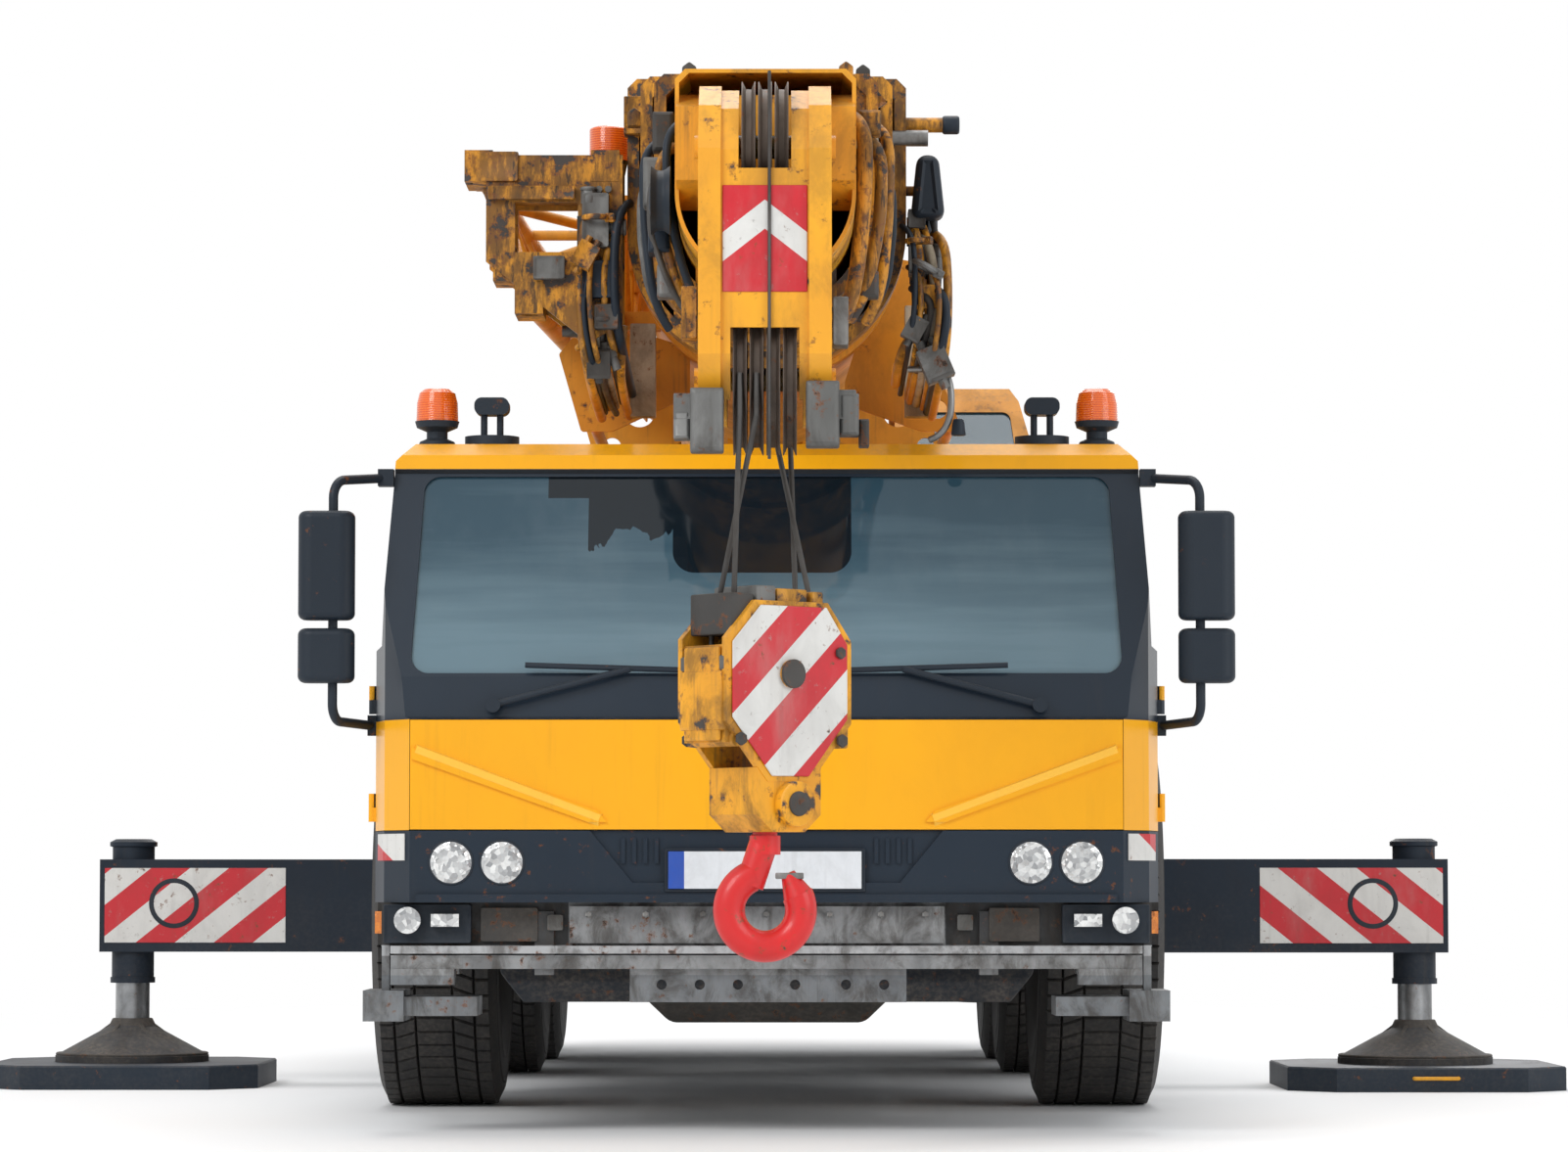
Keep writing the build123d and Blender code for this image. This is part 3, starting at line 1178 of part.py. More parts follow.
def winch_drum():
    """Grooved hoist drum with its rope lay, between two flanges."""
    y = at(WINCH_STATION)
    half = WINCH_HALF_WIDTH
    points = [(-half + 6, 0), (-half + 6, WINCH_FLANGE_RADIUS), (-half + 26, WINCH_FLANGE_RADIUS), (-half + 26, WINCH_DRUM_RADIUS)]
    turns = 14
    pitch = (2 * half - 52) / turns
    for turn in range(turns):
        start = -half + 26 + turn * pitch
        points += [(start + pitch * 0.3, WINCH_DRUM_RADIUS + 14), (start + pitch * 0.7, WINCH_DRUM_RADIUS + 14), (start + pitch, WINCH_DRUM_RADIUS)]
    points += [(half - 26, WINCH_FLANGE_RADIUS), (half - 6, WINCH_FLANGE_RADIUS), (half - 6, 0)]
    shape = revolve(Plane.XY * make_face(Polyline(*points, close=True)), Axis.X)
    axle = disc_x(-half - 50, half + 50, 0, 0, WINCH_AXLE_RADIUS)
    return Pos(0, y, WINCH_Z) * joined([shape, axle])


# ---------------------------------------------------------------- boom
def u_section(width, height, top, y0, y1):
    """Solid bar with straight sides and a half-round belly, from y1 forwards to y0."""
    half = width / 2
    low = top - height
    plane = Plane(origin=(0, y1, 0), x_dir=(1, 0, 0), z_dir=(0, -1, 0))
    upper = plane * make_face(Polyline((-half, low + half), (-half, top - 30), (-half + 30, top), (half - 30, top),
                                       (half, top - 30), (half, low + half), close=True))
    belly = plane * (Pos(0, low + half, 0) * Circle(half))
    return extrude(upper + belly, y1 - y0)


def boom_section(name, extras=()):
    """One hollow boom section with the stiff collar round its mouth and what is welded on outside."""
    width, height, drop, front, rear = BOOM_SECTIONS[name]
    top = BOOM_TOP - drop
    y0 = at(front)
    y1 = at(rear)
    body = u_section(width, height, top, y0, y1)
    for grow, start, end in COLLARS[name]:
        proud = COLLAR_PROUD * grow
        ring = u_section(width + 2 * proud, height + 2 * proud, top + proud, y0 + start, y0 + end)
        body += ring
    if extras:
        body = joined([body] + list(extras))
    inner = u_section(width - 2 * BOOM_WALL, height - 2 * BOOM_WALL, top - BOOM_WALL, y0 - 10, y1 + 10)
    body -= inner
    names = list(BOOM_SECTIONS)
    if name == names[-1]:
        return body
    # wear pads in the mouth guide the next section at its belly and along its top
    width, height, drop, front, rear = BOOM_SECTIONS[names[names.index(name) + 1]]
    fit = RUNNING_FIT
    slider = u_section(width + 2 * fit, height + 2 * fit, BOOM_TOP - drop + fit, y0 - 10, y0 + PAD_LENGTH + 10)
    filled = inner & block(-width, width, y0 + 8, y0 + 8 + PAD_LENGTH, 0, BOOM_TOP)
    pads = filled - slider
    low = BOOM_TOP - drop - height
    belly = block(-width * 0.4, width * 0.4, y0, y0 + PAD_LENGTH + 20, low - 100, low + width * 0.25)
    crown = block(-width * 0.42, width * 0.42, y0, y0 + PAD_LENGTH + 20, BOOM_TOP - drop - 10, BOOM_TOP)
    return joined([body, pads & belly, pads & crown])


# stiffening collars of each section: share of the full proudness, start and end behind its mouth
COLLARS = {
    "boom_base_section": ((1, 0, COLLAR_LENGTH), (0.6, 520, 570)),
    "boom_section_2": ((1, 0, COLLAR_LENGTH),),
    "boom_section_3": ((1, 0, COLLAR_LENGTH),),
    "boom_tip_section": (),
}


# outlines of the carrier plates on the boom's flanks, as (x from the centre line, z above the belly)
CARRIER_OUTLINES = {
    -1: ((260, 130), (400, 175), (655, 165), (700, 110), (625, -150), (520, -150), (260, -30)),
    1: ((260, 20), (392, 440), (500, 420), (545, 110), (655, -150), (520, -150), (260, -60)),
}
CARRIER_STATIONS = (1000, 2450)


def side_carrier(side):
    """Two holed plates with tie bars: they bear the stowed jib on the right and a rack on the left."""
    belly = BOOM_TOP - BASE_HEIGHT
    points = [(side * x, belly + z) for x, z in CARRIER_OUTLINES[side]]
    parts = []
    for station in CARRIER_STATIONS:
        parts.append(prism_y(points, at(station), at(station + 20), 12))
    holes = [rod((side * x, at(CARRIER_STATIONS[0] - 10), belly + z), (side * x, at(CARRIER_STATIONS[-1] + 40), belly + z), r)
             for x, z, r in ((470, 50, 55), (570, -75, 32))]
    plates = joined(parts) - holes
    bars = []
    for x, z in (CARRIER_OUTLINES[side][2], CARRIER_OUTLINES[side][4]):
        x = side * (x - 42)
        z = belly + z + (-30 if z > 0 else 30)
        bars.append(rod((x, at(CARRIER_STATIONS[0] + 5), z), (x, at(CARRIER_STATIONS[-1] + 15), z), 20))
    return joined([plates] + bars)


# the work lamp's housing from the front, as (x from the boom's side, z from its arm)
WORK_LAMP_OUTLINE = ((78, 84), (98, 84), (126, 12), (134, -50), (118, -78), (68, -78), (52, -50), (58, 12))


def boom_base_section():
    """Base section with its foot plates, foot pin, closing plate and lug for the luffing cylinder."""
    width, height, drop, front, rear = BOOM_SECTIONS["boom_base_section"]
    half = width / 2
    y_pivot = at(PIVOT_STATION)
    y_rear = at(rear)
    low = BOOM_TOP - height
    foot_points = [
        (y_rear - 500, BOOM_TOP - 40),
        (y_rear + 20, BOOM_TOP - 120),
        (y_pivot + 110, PIVOT_Z + 90),
        (y_pivot + 130, PIVOT_Z - 40),
        (y_pivot + 60, PIVOT_Z - 130),
        (y_rear - 500, low + 240),
    ]
    extras = []
    for side in (-1, 1):
        x = side * (half - 5)
        outer = side * (half + FOOT_PLATE)
        extras.append(prism_x(foot_points, min(x, outer), max(x, outer)))
    y_lug = at(LUG_STATION)
    for side in (-1, 1):
        points = [
            (y_lug - 330, low + 70),
            (y_lug - 90, LUG_Z),
            (y_lug + 90, LUG_Z),
            (y_lug + 330, low + 70),
        ]
        ear = prism_x(points, min(side * 125, side * 160), max(side * 125, side * 160))
        extras.append(ear - disc_x(-200, 200, y_lug, LUG_Z, LUFF_PIN_RADIUS + LUG_CLEARANCE))
        extras.append(side_carrier(side))
    extras.append(rod((half - 10, at(front + 60), BOOM_TOP - 115), (half + 165, at(front + 60), BOOM_TOP - 115), 24))
    # work lamp beside the mouth, on its own short arm
    z_lamp = BOOM_TOP - 330
    extras.append(rod((half - 10, at(front + 45), z_lamp), (half + 90, at(front + 45), z_lamp), 16))
    lamp = [(half + dx, z_lamp + dz) for dx, dz in WORK_LAMP_OUTLINE]
    extras.append(prism_y(lamp, at(front - 50), at(front + 40), 8))
    body = boom_section("boom_base_section", extras)
    reach = CHEEK_INNER_X + CHEEK_THICK + 20
    pin = disc_x(-reach, reach, y_pivot, PIVOT_Z, PIVOT_RADIUS)
    back = u_section(width - 8, height - 8, BOOM_TOP - 4, y_rear - 40, y_rear)
    return joined([body, pin, back])


def boom_tip():
    """Tip section with the welded boom head: two flanged cheeks, cross panels and sheave pins."""
    width, height, drop, front, rear = BOOM_SECTIONS["boom_tip_section"]
    y_face = at(-HEAD_REACH + 20)
    y_back = at(front + 120)
    top = BOOM_TOP - drop
    cheek_points = [
        (y_back, top - 40),
        (y_face + 230, UPPER_SHEAVE_Z + 160),
        (y_face + 90, UPPER_SHEAVE_Z + 90),
        (y_face, UPPER_SHEAVE_Z - 40),
        (y_face, LOWER_SHEAVE_Z + 60),
        (y_face + 80, LOWER_SHEAVE_Z - 60),
        (y_face + 290, LOWER_SHEAVE_Z - 80),
        (y_face + 370, LOWER_SHEAVE_Z + 60),
        (y_back, top - height + 200),
    ]
    outer = HEAD_HALF_WIDTH
    inner = outer - HEAD_PLATE
    parts = [boom_section("boom_tip_section")]
    for side in (-1, 1):
        parts.append(prism_x(cheek_points, min(side * inner, side * outer), max(side * inner, side * outer)))
        # the flange that faces forwards, and the narrow rope guards beside each set of sheaves
        flange = outer - HEAD_FLANGE
        strip = [(y_face + dy, z) for dy, z in HEAD_FLANGE_OUTLINE]
        parts.append(prism_x(strip, min(side * flange, side * outer), max(side * flange, side * outer)))
        for guard_inner, points in HEAD_GUARDS:
            guard = [(y_face + dy, z) for dy, z in points]
            x0 = side * guard_inner
            x1 = side * (flange + 1)
            parts.append(prism_x(guard, min(x0, x1), max(x0, x1)))
        # the wide root of the head ties each cheek into the section's wall
        x_wall = width / 2 - 4
        root = [
            (y_back - 5, top - 60),
            (y_back - 5, top - height + 230),
            (y_back - 170, top - height + 300),
            (y_back - 170, top - 120),
        ]
        parts.append(prism_x(root, min(side * inner, side * x_wall), max(side * inner, side * x_wall)))
    # front cross bars and the sign plate between them
    for low, high in HEAD_BARS:
        parts.append(block(-flange - 1, flange + 1, y_face - 20 + HEAD_RECESS, y_face + 12, low, high))
    parts.append(block(-inner - 2, inner + 2, y_back - 60, y_back - 30, top - height + 240, top - 70))
    for z, y in ((UPPER_SHEAVE_Z, upper_axis_y()), (LOWER_SHEAVE_Z, lower_axis_y())):
        parts.append(disc_x(-outer - 14, outer + 14, y, z, SHEAVE_PIN_RADIUS))
        for side in (-1, 1):
            parts.append(disc_x(min(side * 110, side * inner), max(side * 110, side * inner), y, z, 140))
    return joined(parts)


# cross bars on the boom head's face, from low to high: lower bar, sign plate, upper bar
HEAD_BARS = (
    (LOWER_SHEAVE_Z + 130, LOWER_SHEAVE_Z + 242),
    (LOWER_SHEAVE_Z + 240, LOWER_SHEAVE_Z + 550),
    (LOWER_SHEAVE_Z + 548, LOWER_SHEAVE_Z + 590),
)


# the head's flange seen from the side, as (y behind the cheek's face, z), front edge upwards and back edge down
HEAD_FLANGE_OUTLINE = (
    (60, LOWER_SHEAVE_Z - 84),
    (-20, LOWER_SHEAVE_Z + 52),
    (-20, UPPER_SHEAVE_Z - 34),
    (74, UPPER_SHEAVE_Z + 104),
    (224, UPPER_SHEAVE_Z + 182),
    (232, UPPER_SHEAVE_Z + 158),
    (92, UPPER_SHEAVE_Z + 86),
    (4, UPPER_SHEAVE_Z - 42),
    (4, LOWER_SHEAVE_Z + 62),
    (82, LOWER_SHEAVE_Z - 62),
)
# rope guards: inner face's x, then the outline as for the flange
HEAD_GUARDS = (
    (76, (
        (-4, HEAD_BARS[2][1] - 2),
        (-4, UPPER_SHEAVE_Z - 36),
        (84, UPPER_SHEAVE_Z + 95),
        (228, UPPER_SHEAVE_Z + 170),
        (232, UPPER_SHEAVE_Z + 158),
        (92, UPPER_SHEAVE_Z + 86),
        (8, UPPER_SHEAVE_Z - 44),
        (8, HEAD_BARS[2][1] - 2),
    )),
    (99, (
        (-4, HEAD_BARS[0][0] + 2),
        (-4, LOWER_SHEAVE_Z + 55),
        (68, LOWER_SHEAVE_Z - 72),
        (80, LOWER_SHEAVE_Z - 64),
        (8, LOWER_SHEAVE_Z + 62),
        (8, HEAD_BARS[0][0] + 2),
    )),
)


def upper_axis_y():
    return at(UPPER_SHEAVE_SETBACK + UPPER_SHEAVE_RADIUS - HEAD_REACH)


def lower_axis_y():
    return at(LOWER_SHEAVE_SETBACK + LOWER_SHEAVE_RADIUS - HEAD_REACH)


def sheave(radius, thick, bore, y, z, x):
    """Rope sheave with a vee groove."""
    half = thick / 2
    floor = radius - GROOVE_DEPTH
    lip = 3
    points = [(-half, bore), (-half, radius), (lip - half, radius), (-ROPE_RADIUS, floor)]
    points += [(-x, r) for x, r in reversed(points)]
    return Pos(x, y, z) * revolve(Plane.XY * make_face(Polyline(*points, close=True)), Axis.X)


def head_sheaves():
    shapes = []
    for number in range(3):
        shapes.append(sheave(UPPER_SHEAVE_RADIUS, SHEAVE_THICK, SHEAVE_PIN_RADIUS + 0.1, upper_axis_y(), UPPER_SHEAVE_Z, (number - 1) * SHEAVE_PITCH))
    for number in range(4):
        shapes.append(sheave(LOWER_SHEAVE_RADIUS, SHEAVE_THICK, SHEAVE_PIN_RADIUS + 0.1, lower_axis_y(), LOWER_SHEAVE_Z, (number - 1.5) * SHEAVE_PITCH))
    return several(shapes)


def luff_direction():
    """Unit vector of the luffing cylinder at rest, from its foot pin to its rod eye."""
    dy = LUG_STATION - FOOT_PIN_STATION
    dz = LUG_Z - FOOT_PIN_Z
    length = math.hypot(dy, dz)
    return dy / length, dz / length, length


def along_cylinder(distance):
    uy, uz, length = luff_direction()
    return (0, at(FOOT_PIN_STATION) + uy * distance, FOOT_PIN_Z + uz * distance)


def luff_barrel():
    outer = rod(along_cylinder(40), along_cylinder(BARREL_LENGTH), BARREL_RADIUS)
    gland = rod(along_cylinder(BARREL_LENGTH - 110), along_cylinder(BARREL_LENGTH), BARREL_RADIUS + 8)
    eye = disc_x(-130, 130, at(FOOT_PIN_STATION), FOOT_PIN_Z, 105)
    bore = rod(along_cylinder(PISTON_REST - 20), along_cylinder(BARREL_LENGTH - 100), BARREL_RADIUS - BARREL_WALL)
    mouth = rod(along_cylinder(BARREL_LENGTH - 120), along_cylinder(BARREL_LENGTH + 10), ROD_RADIUS + RUNNING_FIT)
    pin_bore = disc_x(-140, 140, at(FOOT_PIN_STATION), FOOT_PIN_Z, LUFF_PIN_RADIUS + RUNNING_FIT)
    return joined([outer, gland, eye]) - [bore, mouth, pin_bore]


def luff_rod():
    """Chromed rod with its piston; the pin that its eye carries rests in the boom's saddle."""
    length = luff_direction()[2]
    shaft = rod(along_cylinder(length - ROD_LENGTH), along_cylinder(length - 40), ROD_RADIUS)
    piston = rod(along_cylinder(length - ROD_LENGTH), along_cylinder(length - ROD_LENGTH + 90), BARREL_RADIUS - BARREL_WALL - 1)
    eye = disc_x(-110, 110, at(LUG_STATION), LUG_Z, 100)
    pin = disc_x(-168, 168, at(LUG_STATION), LUG_Z, LUFF_PIN_RADIUS)
    return joined([shaft, piston, eye, pin])


# ---------------------------------------------------------------- fly jib
def jib_corner(share, across, up):
    """A chord's centre at a share of the jib's length; across and up are 0 or 1."""
    size = 1 - (1 - JIB_TAPER) * share
    spread = size if up else size * JIB_LOWER_SHARE
    x = JIB_INNER_X - JIB_CHORD - across * (JIB_WIDTH - 2 * JIB_CHORD) * spread
    z = JIB_TOP - JIB_CHORD - (1 - up) * (JIB_HEIGHT - 2 * JIB_CHORD) * size
    return (x, at(JIB_FRONT + JIB_LENGTH * share), z)


# foot plates' outline as (x from the jib's inner side, z from its top), and their opening as x0, x1, z0, z1
JIB_FOOT_OUTLINE = ((22, 0), (-412, 0), (-412, -340), (-87, -598), (22, -540))
JIB_FOOT_OPENING = (-320, -120, -310, -150)
JIB_FOOT_STATIONS = (82, 286)
JIB_FOOT_PLATE = 20
# cross boxes of the foot: x0, x1 from the jib's inner side, s0, s1 of the stations, z0, z1 from its top
JIB_FOOT_BOXES = (
    (-390, 5, 190, 296, -135, -60),
    (-390, 5, 92, 296, -400, -325),
)
JIB_BEACON_STEP = 180            # the beacon's place along the upper inner chord


def fly_jib():
    """Lattice swing-away jib stowed along the boom: four chords, zigzag braces, foot forks, tip sheave."""
    parts = []
    corners = ((0, 0), (0, 1), (1, 1), (1, 0))
    for across, up in corners:
        parts.append(rod(jib_corner(0, across, up), jib_corner(1, across, up), JIB_CHORD))
    for bay in range(JIB_BAYS + 1):
        share = bay / JIB_BAYS
        for first, second in zip(corners, corners[1:] + corners[:1]):
            parts.append(rod(jib_corner(share, *first), jib_corner(share, *second), JIB_BRACE))
    for bay in range(JIB_BAYS):
        for number, (first, second) in enumerate(zip(corners, corners[1:] + corners[:1])):
            start, end = (first, second) if (bay + number) % 2 else (second, first)
            parts.append(rod(jib_corner(bay / JIB_BAYS, *start), jib_corner((bay + 1) / JIB_BAYS, *end), JIB_BRACE))
    y_front = at(JIB_FRONT)
    for across, up in corners:
        x, y, z = jib_corner(0, across, up)
        fork = block(x - 45, x + 45, y - 170, y + 60, z - 50, z + 50)
        hole = rod((x, y - 115, z - 60), (x, y - 115, z + 60), 28)
        parts.append(fork - hole)
    # foot bracket: two tapered plates with an opening, cross boxes between them
    plate_points = [(JIB_INNER_X + dx, JIB_TOP + dz) for dx, dz in JIB_FOOT_OUTLINE]
    x0, x1, z0, z1 = JIB_FOOT_OPENING
    opening = block(JIB_INNER_X + x0, JIB_INNER_X + x1, y_front - 200, y_front + 200, JIB_TOP + z0, JIB_TOP + z1)
    for station in JIB_FOOT_STATIONS:
        plate = prism_y(plate_points, at(station), at(station + JIB_FOOT_PLATE))
        parts.append(plate - opening)
    for x0, x1, s0, s1, z0, z1 in JIB_FOOT_BOXES:
        parts.append(block(JIB_INNER_X + x0, JIB_INNER_X + x1, at(s0), at(s1), JIB_TOP + z0, JIB_TOP + z1))
    # beacon on the upper chord
    x, y, z = jib_corner(JIB_BEACON_STEP / JIB_LENGTH, 0, 1)
    parts.append(rod((x, y, z), (x, y, JIB_TOP + 30), 46))
    parts.append(rod((x, y, JIB_TOP + 30), (x, y, JIB_TOP + 128), 60))
    # end frame and tip
    x_mid = JIB_INNER_X - JIB_WIDTH * JIB_TAPER / 2
    y_tip = at(JIB_FRONT + JIB_LENGTH)
    z_mid = JIB_TOP - JIB_HEIGHT * JIB_TAPER / 2
    for dx in (-70, 70):
        parts.append(prism_x([(y_tip - 60, z_mid - 120), (y_tip - 60, z_mid + 125), (y_tip + 210, z_mid + 60), (y_tip + 210, z_mid - 60)],
                             x_mid + dx - 9, x_mid + dx + 9, 20))
    for dz in (-100, 100):
        parts.append(block(JIB_INNER_X - JIB_WIDTH * JIB_TAPER + 10, JIB_INNER_X - 10, y_tip - 20, y_tip + 20, z_mid + dz - 20, z_mid + dz + 20))
    parts.append(disc_x(x_mid - 85, x_mid + 85, y_tip + 120, z_mid, 24))
    wheel = [(-30, 20), (-30, 140), (-24, 140), (-8, 120), (8, 120), (24, 140), (30, 140), (30, 20)]
    parts.append(Pos(x_mid, y_tip + 120, z_mid) * revolve(Plane.XY * make_face(Polyline(*wheel, close=True)), Axis.X))
    # saddles to the boom's side
    grow = 2 * SEAT_GAP
    for share in (0.125, 0.625):
        for up in (0, 1):
            x, y, z = jib_corner(share, 0, up)
            saddle = block(x - 20, 60 - BASE_WIDTH / 2, y - 40, y + 40, z - 30, z + 30)
            parts.append(saddle - u_section(BASE_WIDTH + grow, BASE_HEIGHT + grow, BOOM_TOP + SEAT_GAP, y - 50, y + 50))
    return joined(parts)


# ---------------------------------------------------------------- hook block
def hook_place(shape):
    """Puts a shape made about the block's own axis under the lower head sheaves, turned."""
    return Pos(0, lower_axis_y(), 0) * Rot(0, 0, BLOCK_TURN) * shape


def hook_block():
    """Two cut-corner cheeks, spacers, sheave pin, and the yoke that carries the hook's nut."""
    half = BLOCK_WIDTH / 2
    cheek = [
        (-half * 0.55, BLOCK_TOP),
        (half * 0.62, BLOCK_TOP),
        (half, BLOCK_TOP - 110),
        (half, BLOCK_BOTTOM + 170),
        (half * 0.35, BLOCK_BOTTOM),
        (-half * 0.35, BLOCK_BOTTOM),
        (-half, BLOCK_BOTTOM + 170),
        (-half, BLOCK_TOP - 110),
    ]
    parts = []
    t = BLOCK_HALF_THICK
    for face in (-1, 1):
        y0 = min(face * t, face * (t - BLOCK_PLATE))
        y1 = max(face * t, face * (t - BLOCK_PLATE))
        parts.append(prism_y(cheek, y0, y1))
    for x, z in ((45 - half, BLOCK_SHEAVE_Z - 190), (half - 45, BLOCK_SHEAVE_Z - 190), (112, BLOCK_TOP - 30), (-112, BLOCK_TOP - 30)):
        parts.append(rod((x, -t + 5, z), (x, t - 5, z), 22))
    parts.append(rod((0, -t - 18, BLOCK_SHEAVE_Z), (0, t + 18, BLOCK_SHEAVE_Z), 40))
    # guards close the sides and the top between the cheeks, clear of the rope
    reach = t - BLOCK_PLATE + 2
    for side in (-1, 1):
        x = side * (half - 19)
        parts.append(block(x - 10, x + 10, -reach, reach, BLOCK_BOTTOM + 110, BLOCK_TOP - 130))
    parts.append(block(-85, 85, -reach, reach, BLOCK_TOP - 50, BLOCK_TOP - 2))
    yoke = [(-120, BLOCK_BOTTOM + 40), (-120, 985), (-60, 935), (60, 935), (120, 985), (120, BLOCK_BOTTOM + 40)]
    parts.append(prism_y(yoke, -t + 2, t - 2))
    parts.append(rod((0, -t - 22, 1010), (0, t + 22, 1010), 48))
    shape = joined(parts)
    bore = rod((0, 0, 900), (0, 0, 1070), HOOK_SHANK_RADIUS + RUNNING_FIT)
    nut_room = rod((0, 0, HOOK_NUT_Z - RUNNING_FIT), (0, 0, 1090), 66)
    slit = block(-90, 90, -t + 2 + 28, t - 2 - 28, 1088, BLOCK_BOTTOM + 60)
    return hook_place(shape - [bore, nut_room, slit])


def block_sheaves():
    shapes = []
    for number in range(3):
        x = (number - 1) * SHEAVE_PITCH
        wheel = Rot(0, 0, 90) * sheave(BLOCK_SHEAVE_RADIUS, SHEAVE_THICK, 40.1, 0, BLOCK_SHEAVE_Z, x)
        shapes.append(hook_place(wheel))
    return several(shapes)


# rope falls: groove of the head's lower sheaves, fore (-1) or aft (1) of them, groove of the block's sheaves
ROPE_FALLS = (
    (-1.5, -1, -1),
    (-0.5, -1, 1),
    (0.5, 1, -1),
    (1.5, 1, 1),
)


def hoist_ropes():
    """Four taut falls; each leaves a groove of the head's sheaves and enters one of the block's."""
    shapes = []
    block_reach = BLOCK_SHEAVE_RADIUS - GROOVE_DEPTH + ROPE_RADIUS + RUNNING_FIT
    head_reach = LOWER_SHEAVE_RADIUS - GROOVE_DEPTH + ROPE_RADIUS + RUNNING_FIT
    turn = math.radians(BLOCK_TURN)
    for slot, fore, groove in ROPE_FALLS:
        across = groove * SHEAVE_PITCH
        along = block_reach * fore
        x = along * math.cos(turn) - across * math.sin(turn)
        y = lower_axis_y() + along * math.sin(turn) + across * math.cos(turn)
        x_top = slot * SHEAVE_PITCH
        y_top = lower_axis_y() + fore * head_reach
        path = (
            (x_top, y_top, LOWER_SHEAVE_Z),
            (x_top, y_top, LOWER_SHEAVE_Z - 120),
            (x, y, BLOCK_SHEAVE_Z + 110),
            (x, y, BLOCK_SHEAVE_Z),
        )
        fall = joined([rod(start, end, ROPE_RADIUS) for start, end in zip(path, path[1:])])
        shapes.append(joined([fall] + [Pos(*knee) * Sphere(ROPE_RADIUS) for knee in path[1:3]]))
    return several(shapes)


def hook():
    """Forged single hook: shank with its nut, and an open bowl of round section with a blunt point."""
    ring = HOOK_RING_RADIUS
    section = HOOK_SECTION
    centre = (0, 0, HOOK_RING_Z)
    start = math.radians(HOOK_BOWL[0])
    x = ring * math.cos(start)
    z = HOOK_RING_Z + ring * math.sin(start)
    cut = Plane(origin=(x, 0, z), x_dir=(0, 1, 0), z_dir=(-math.sin(start), 0, math.cos(start)))
    bowl = revolve(cut * Circle(section), Axis(centre, (0, -1, 0)), HOOK_BOWL[1] - HOOK_BOWL[0])
    end = math.radians(HOOK_BOWL[1])
    tip = Vector(ring * math.cos(end), 0, HOOK_RING_Z + ring * math.sin(end))
    along = Vector(-math.sin(end), 0, math.cos(end))
    point = Plane(origin=tip - along * 2, x_dir=(0, 1, 0), z_dir=along) * Pos(0, 0, 35) * Cone(section - 2, section * 0.45, 70)
    neck_low = Vector(x, 0, z)
    neck_high = Vector(0, 0, HOOK_RING_Z + 205)
    neck = rod(neck_low - (neck_high - neck_low).normalized() * 30, neck_high, section - 4)
    shank = rod((0, 0, HOOK_RING_Z + 195), (0, 0, 1060), HOOK_SHANK_RADIUS)
    shoulder = rod((0, 0, HOOK_RING_Z + 160), (0, 0, HOOK_RING_Z + 215), section - 1)
    nut = rod((0, 0, HOOK_NUT_Z), (0, 0, HOOK_NUT_Z + 38), 60)
    shape = joined([bowl, point, neck, shoulder, shank, nut])
    return Pos(0, lower_axis_y(), 0) * Rot(0, 0, 8) * shape


# ---------------------------------------------------------------- output
def build():
    """Every node of the crane, by name."""
    shell, doors, panel, bumper = driver_cab()
    operator_shell, operator_door, operator_pane = operator_cab()
    nodes = {
        "chassis_frame": chassis_frame(),
        "engine_block": engine_block(),
        "engine_hood": engine_hood(),
        "deck_plates": deck(),
        "side_boxes": side_boxes(),
        "cab_shell": shell,
        "cab_front_panel": panel,
        "front_bumper": bumper,
        "cab_glass": cab_glass(),
        "cab_interior": cab_interior(),
        "mirrors_and_wipers": several([part(side) for part in (mirror_set, wiper) for side in (1, -1)]),
        "roof_lamps": several(roof_lamp_bases()),
        "beacon_domes": beacon_domes(),
        "lamps": several([headlamps(), rear_lamps()]),
        "front_underbody": front_underbody(),
        "axle_beams": several([axle_beam(station, station == AXLE_STATIONS[0]) for station in AXLE_STATIONS]),
        "cab_door_left": doors[0],
        "cab_door_right": doors[1],
        "knuckle_left": knuckle(1),
        "knuckle_right": knuckle(-1),
        "turntable": turntable(),
        "counterweight": counterweight(),
        "power_pack": power_pack(),
        "operator_cab": operator_shell,
        "operator_pane": operator_pane,
        "operator_seat": operator_seat(),
        "operator_door": operator_door,
        "winch_drum": winch_drum(),
        "boom_base_section": boom_base_section(),
        "boom_section_2": boom_section("boom_section_2"),
        "boom_section_3": boom_section("boom_section_3"),
        "boom_tip_section": boom_tip(),
        "head_sheaves": head_sheaves(),
        "fly_jib": fly_jib(),
        "luff_barrel": luff_barrel(),
        "luff_rod": luff_rod(),
        "hook_block": several([hook_block(), block_sheaves()]),
        "hoist_ropes": hoist_ropes(),
        "hook": hook(),
    }
    for number, station in enumerate(AXLE_STATIONS, 1):
        for label, side in (("left", 1), ("right", -1)):
            nodes[f"tyre_{number}_{label}"] = tyre(side, station)
            nodes[f"rim_{number}_{label}"] = rim(side, station)
    for place, (station, side, tip, foot_z) in OUTRIGGERS.items():
        nodes[f"beam_{place}"] = outrigger_beam(station, side, tip)
        nodes[f"jack_{place}"] = outrigger_jack(station, side, tip, foot_z)
    nodes["outrigger_mats"] = several([outrigger_mat(1), outrigger_mat(-1)])
    return nodes


os.makedirs("parts", exist_ok=True)
for node_name, node_shape in build().items():
    export_step(node_shape, f"parts/{node_name}.step")
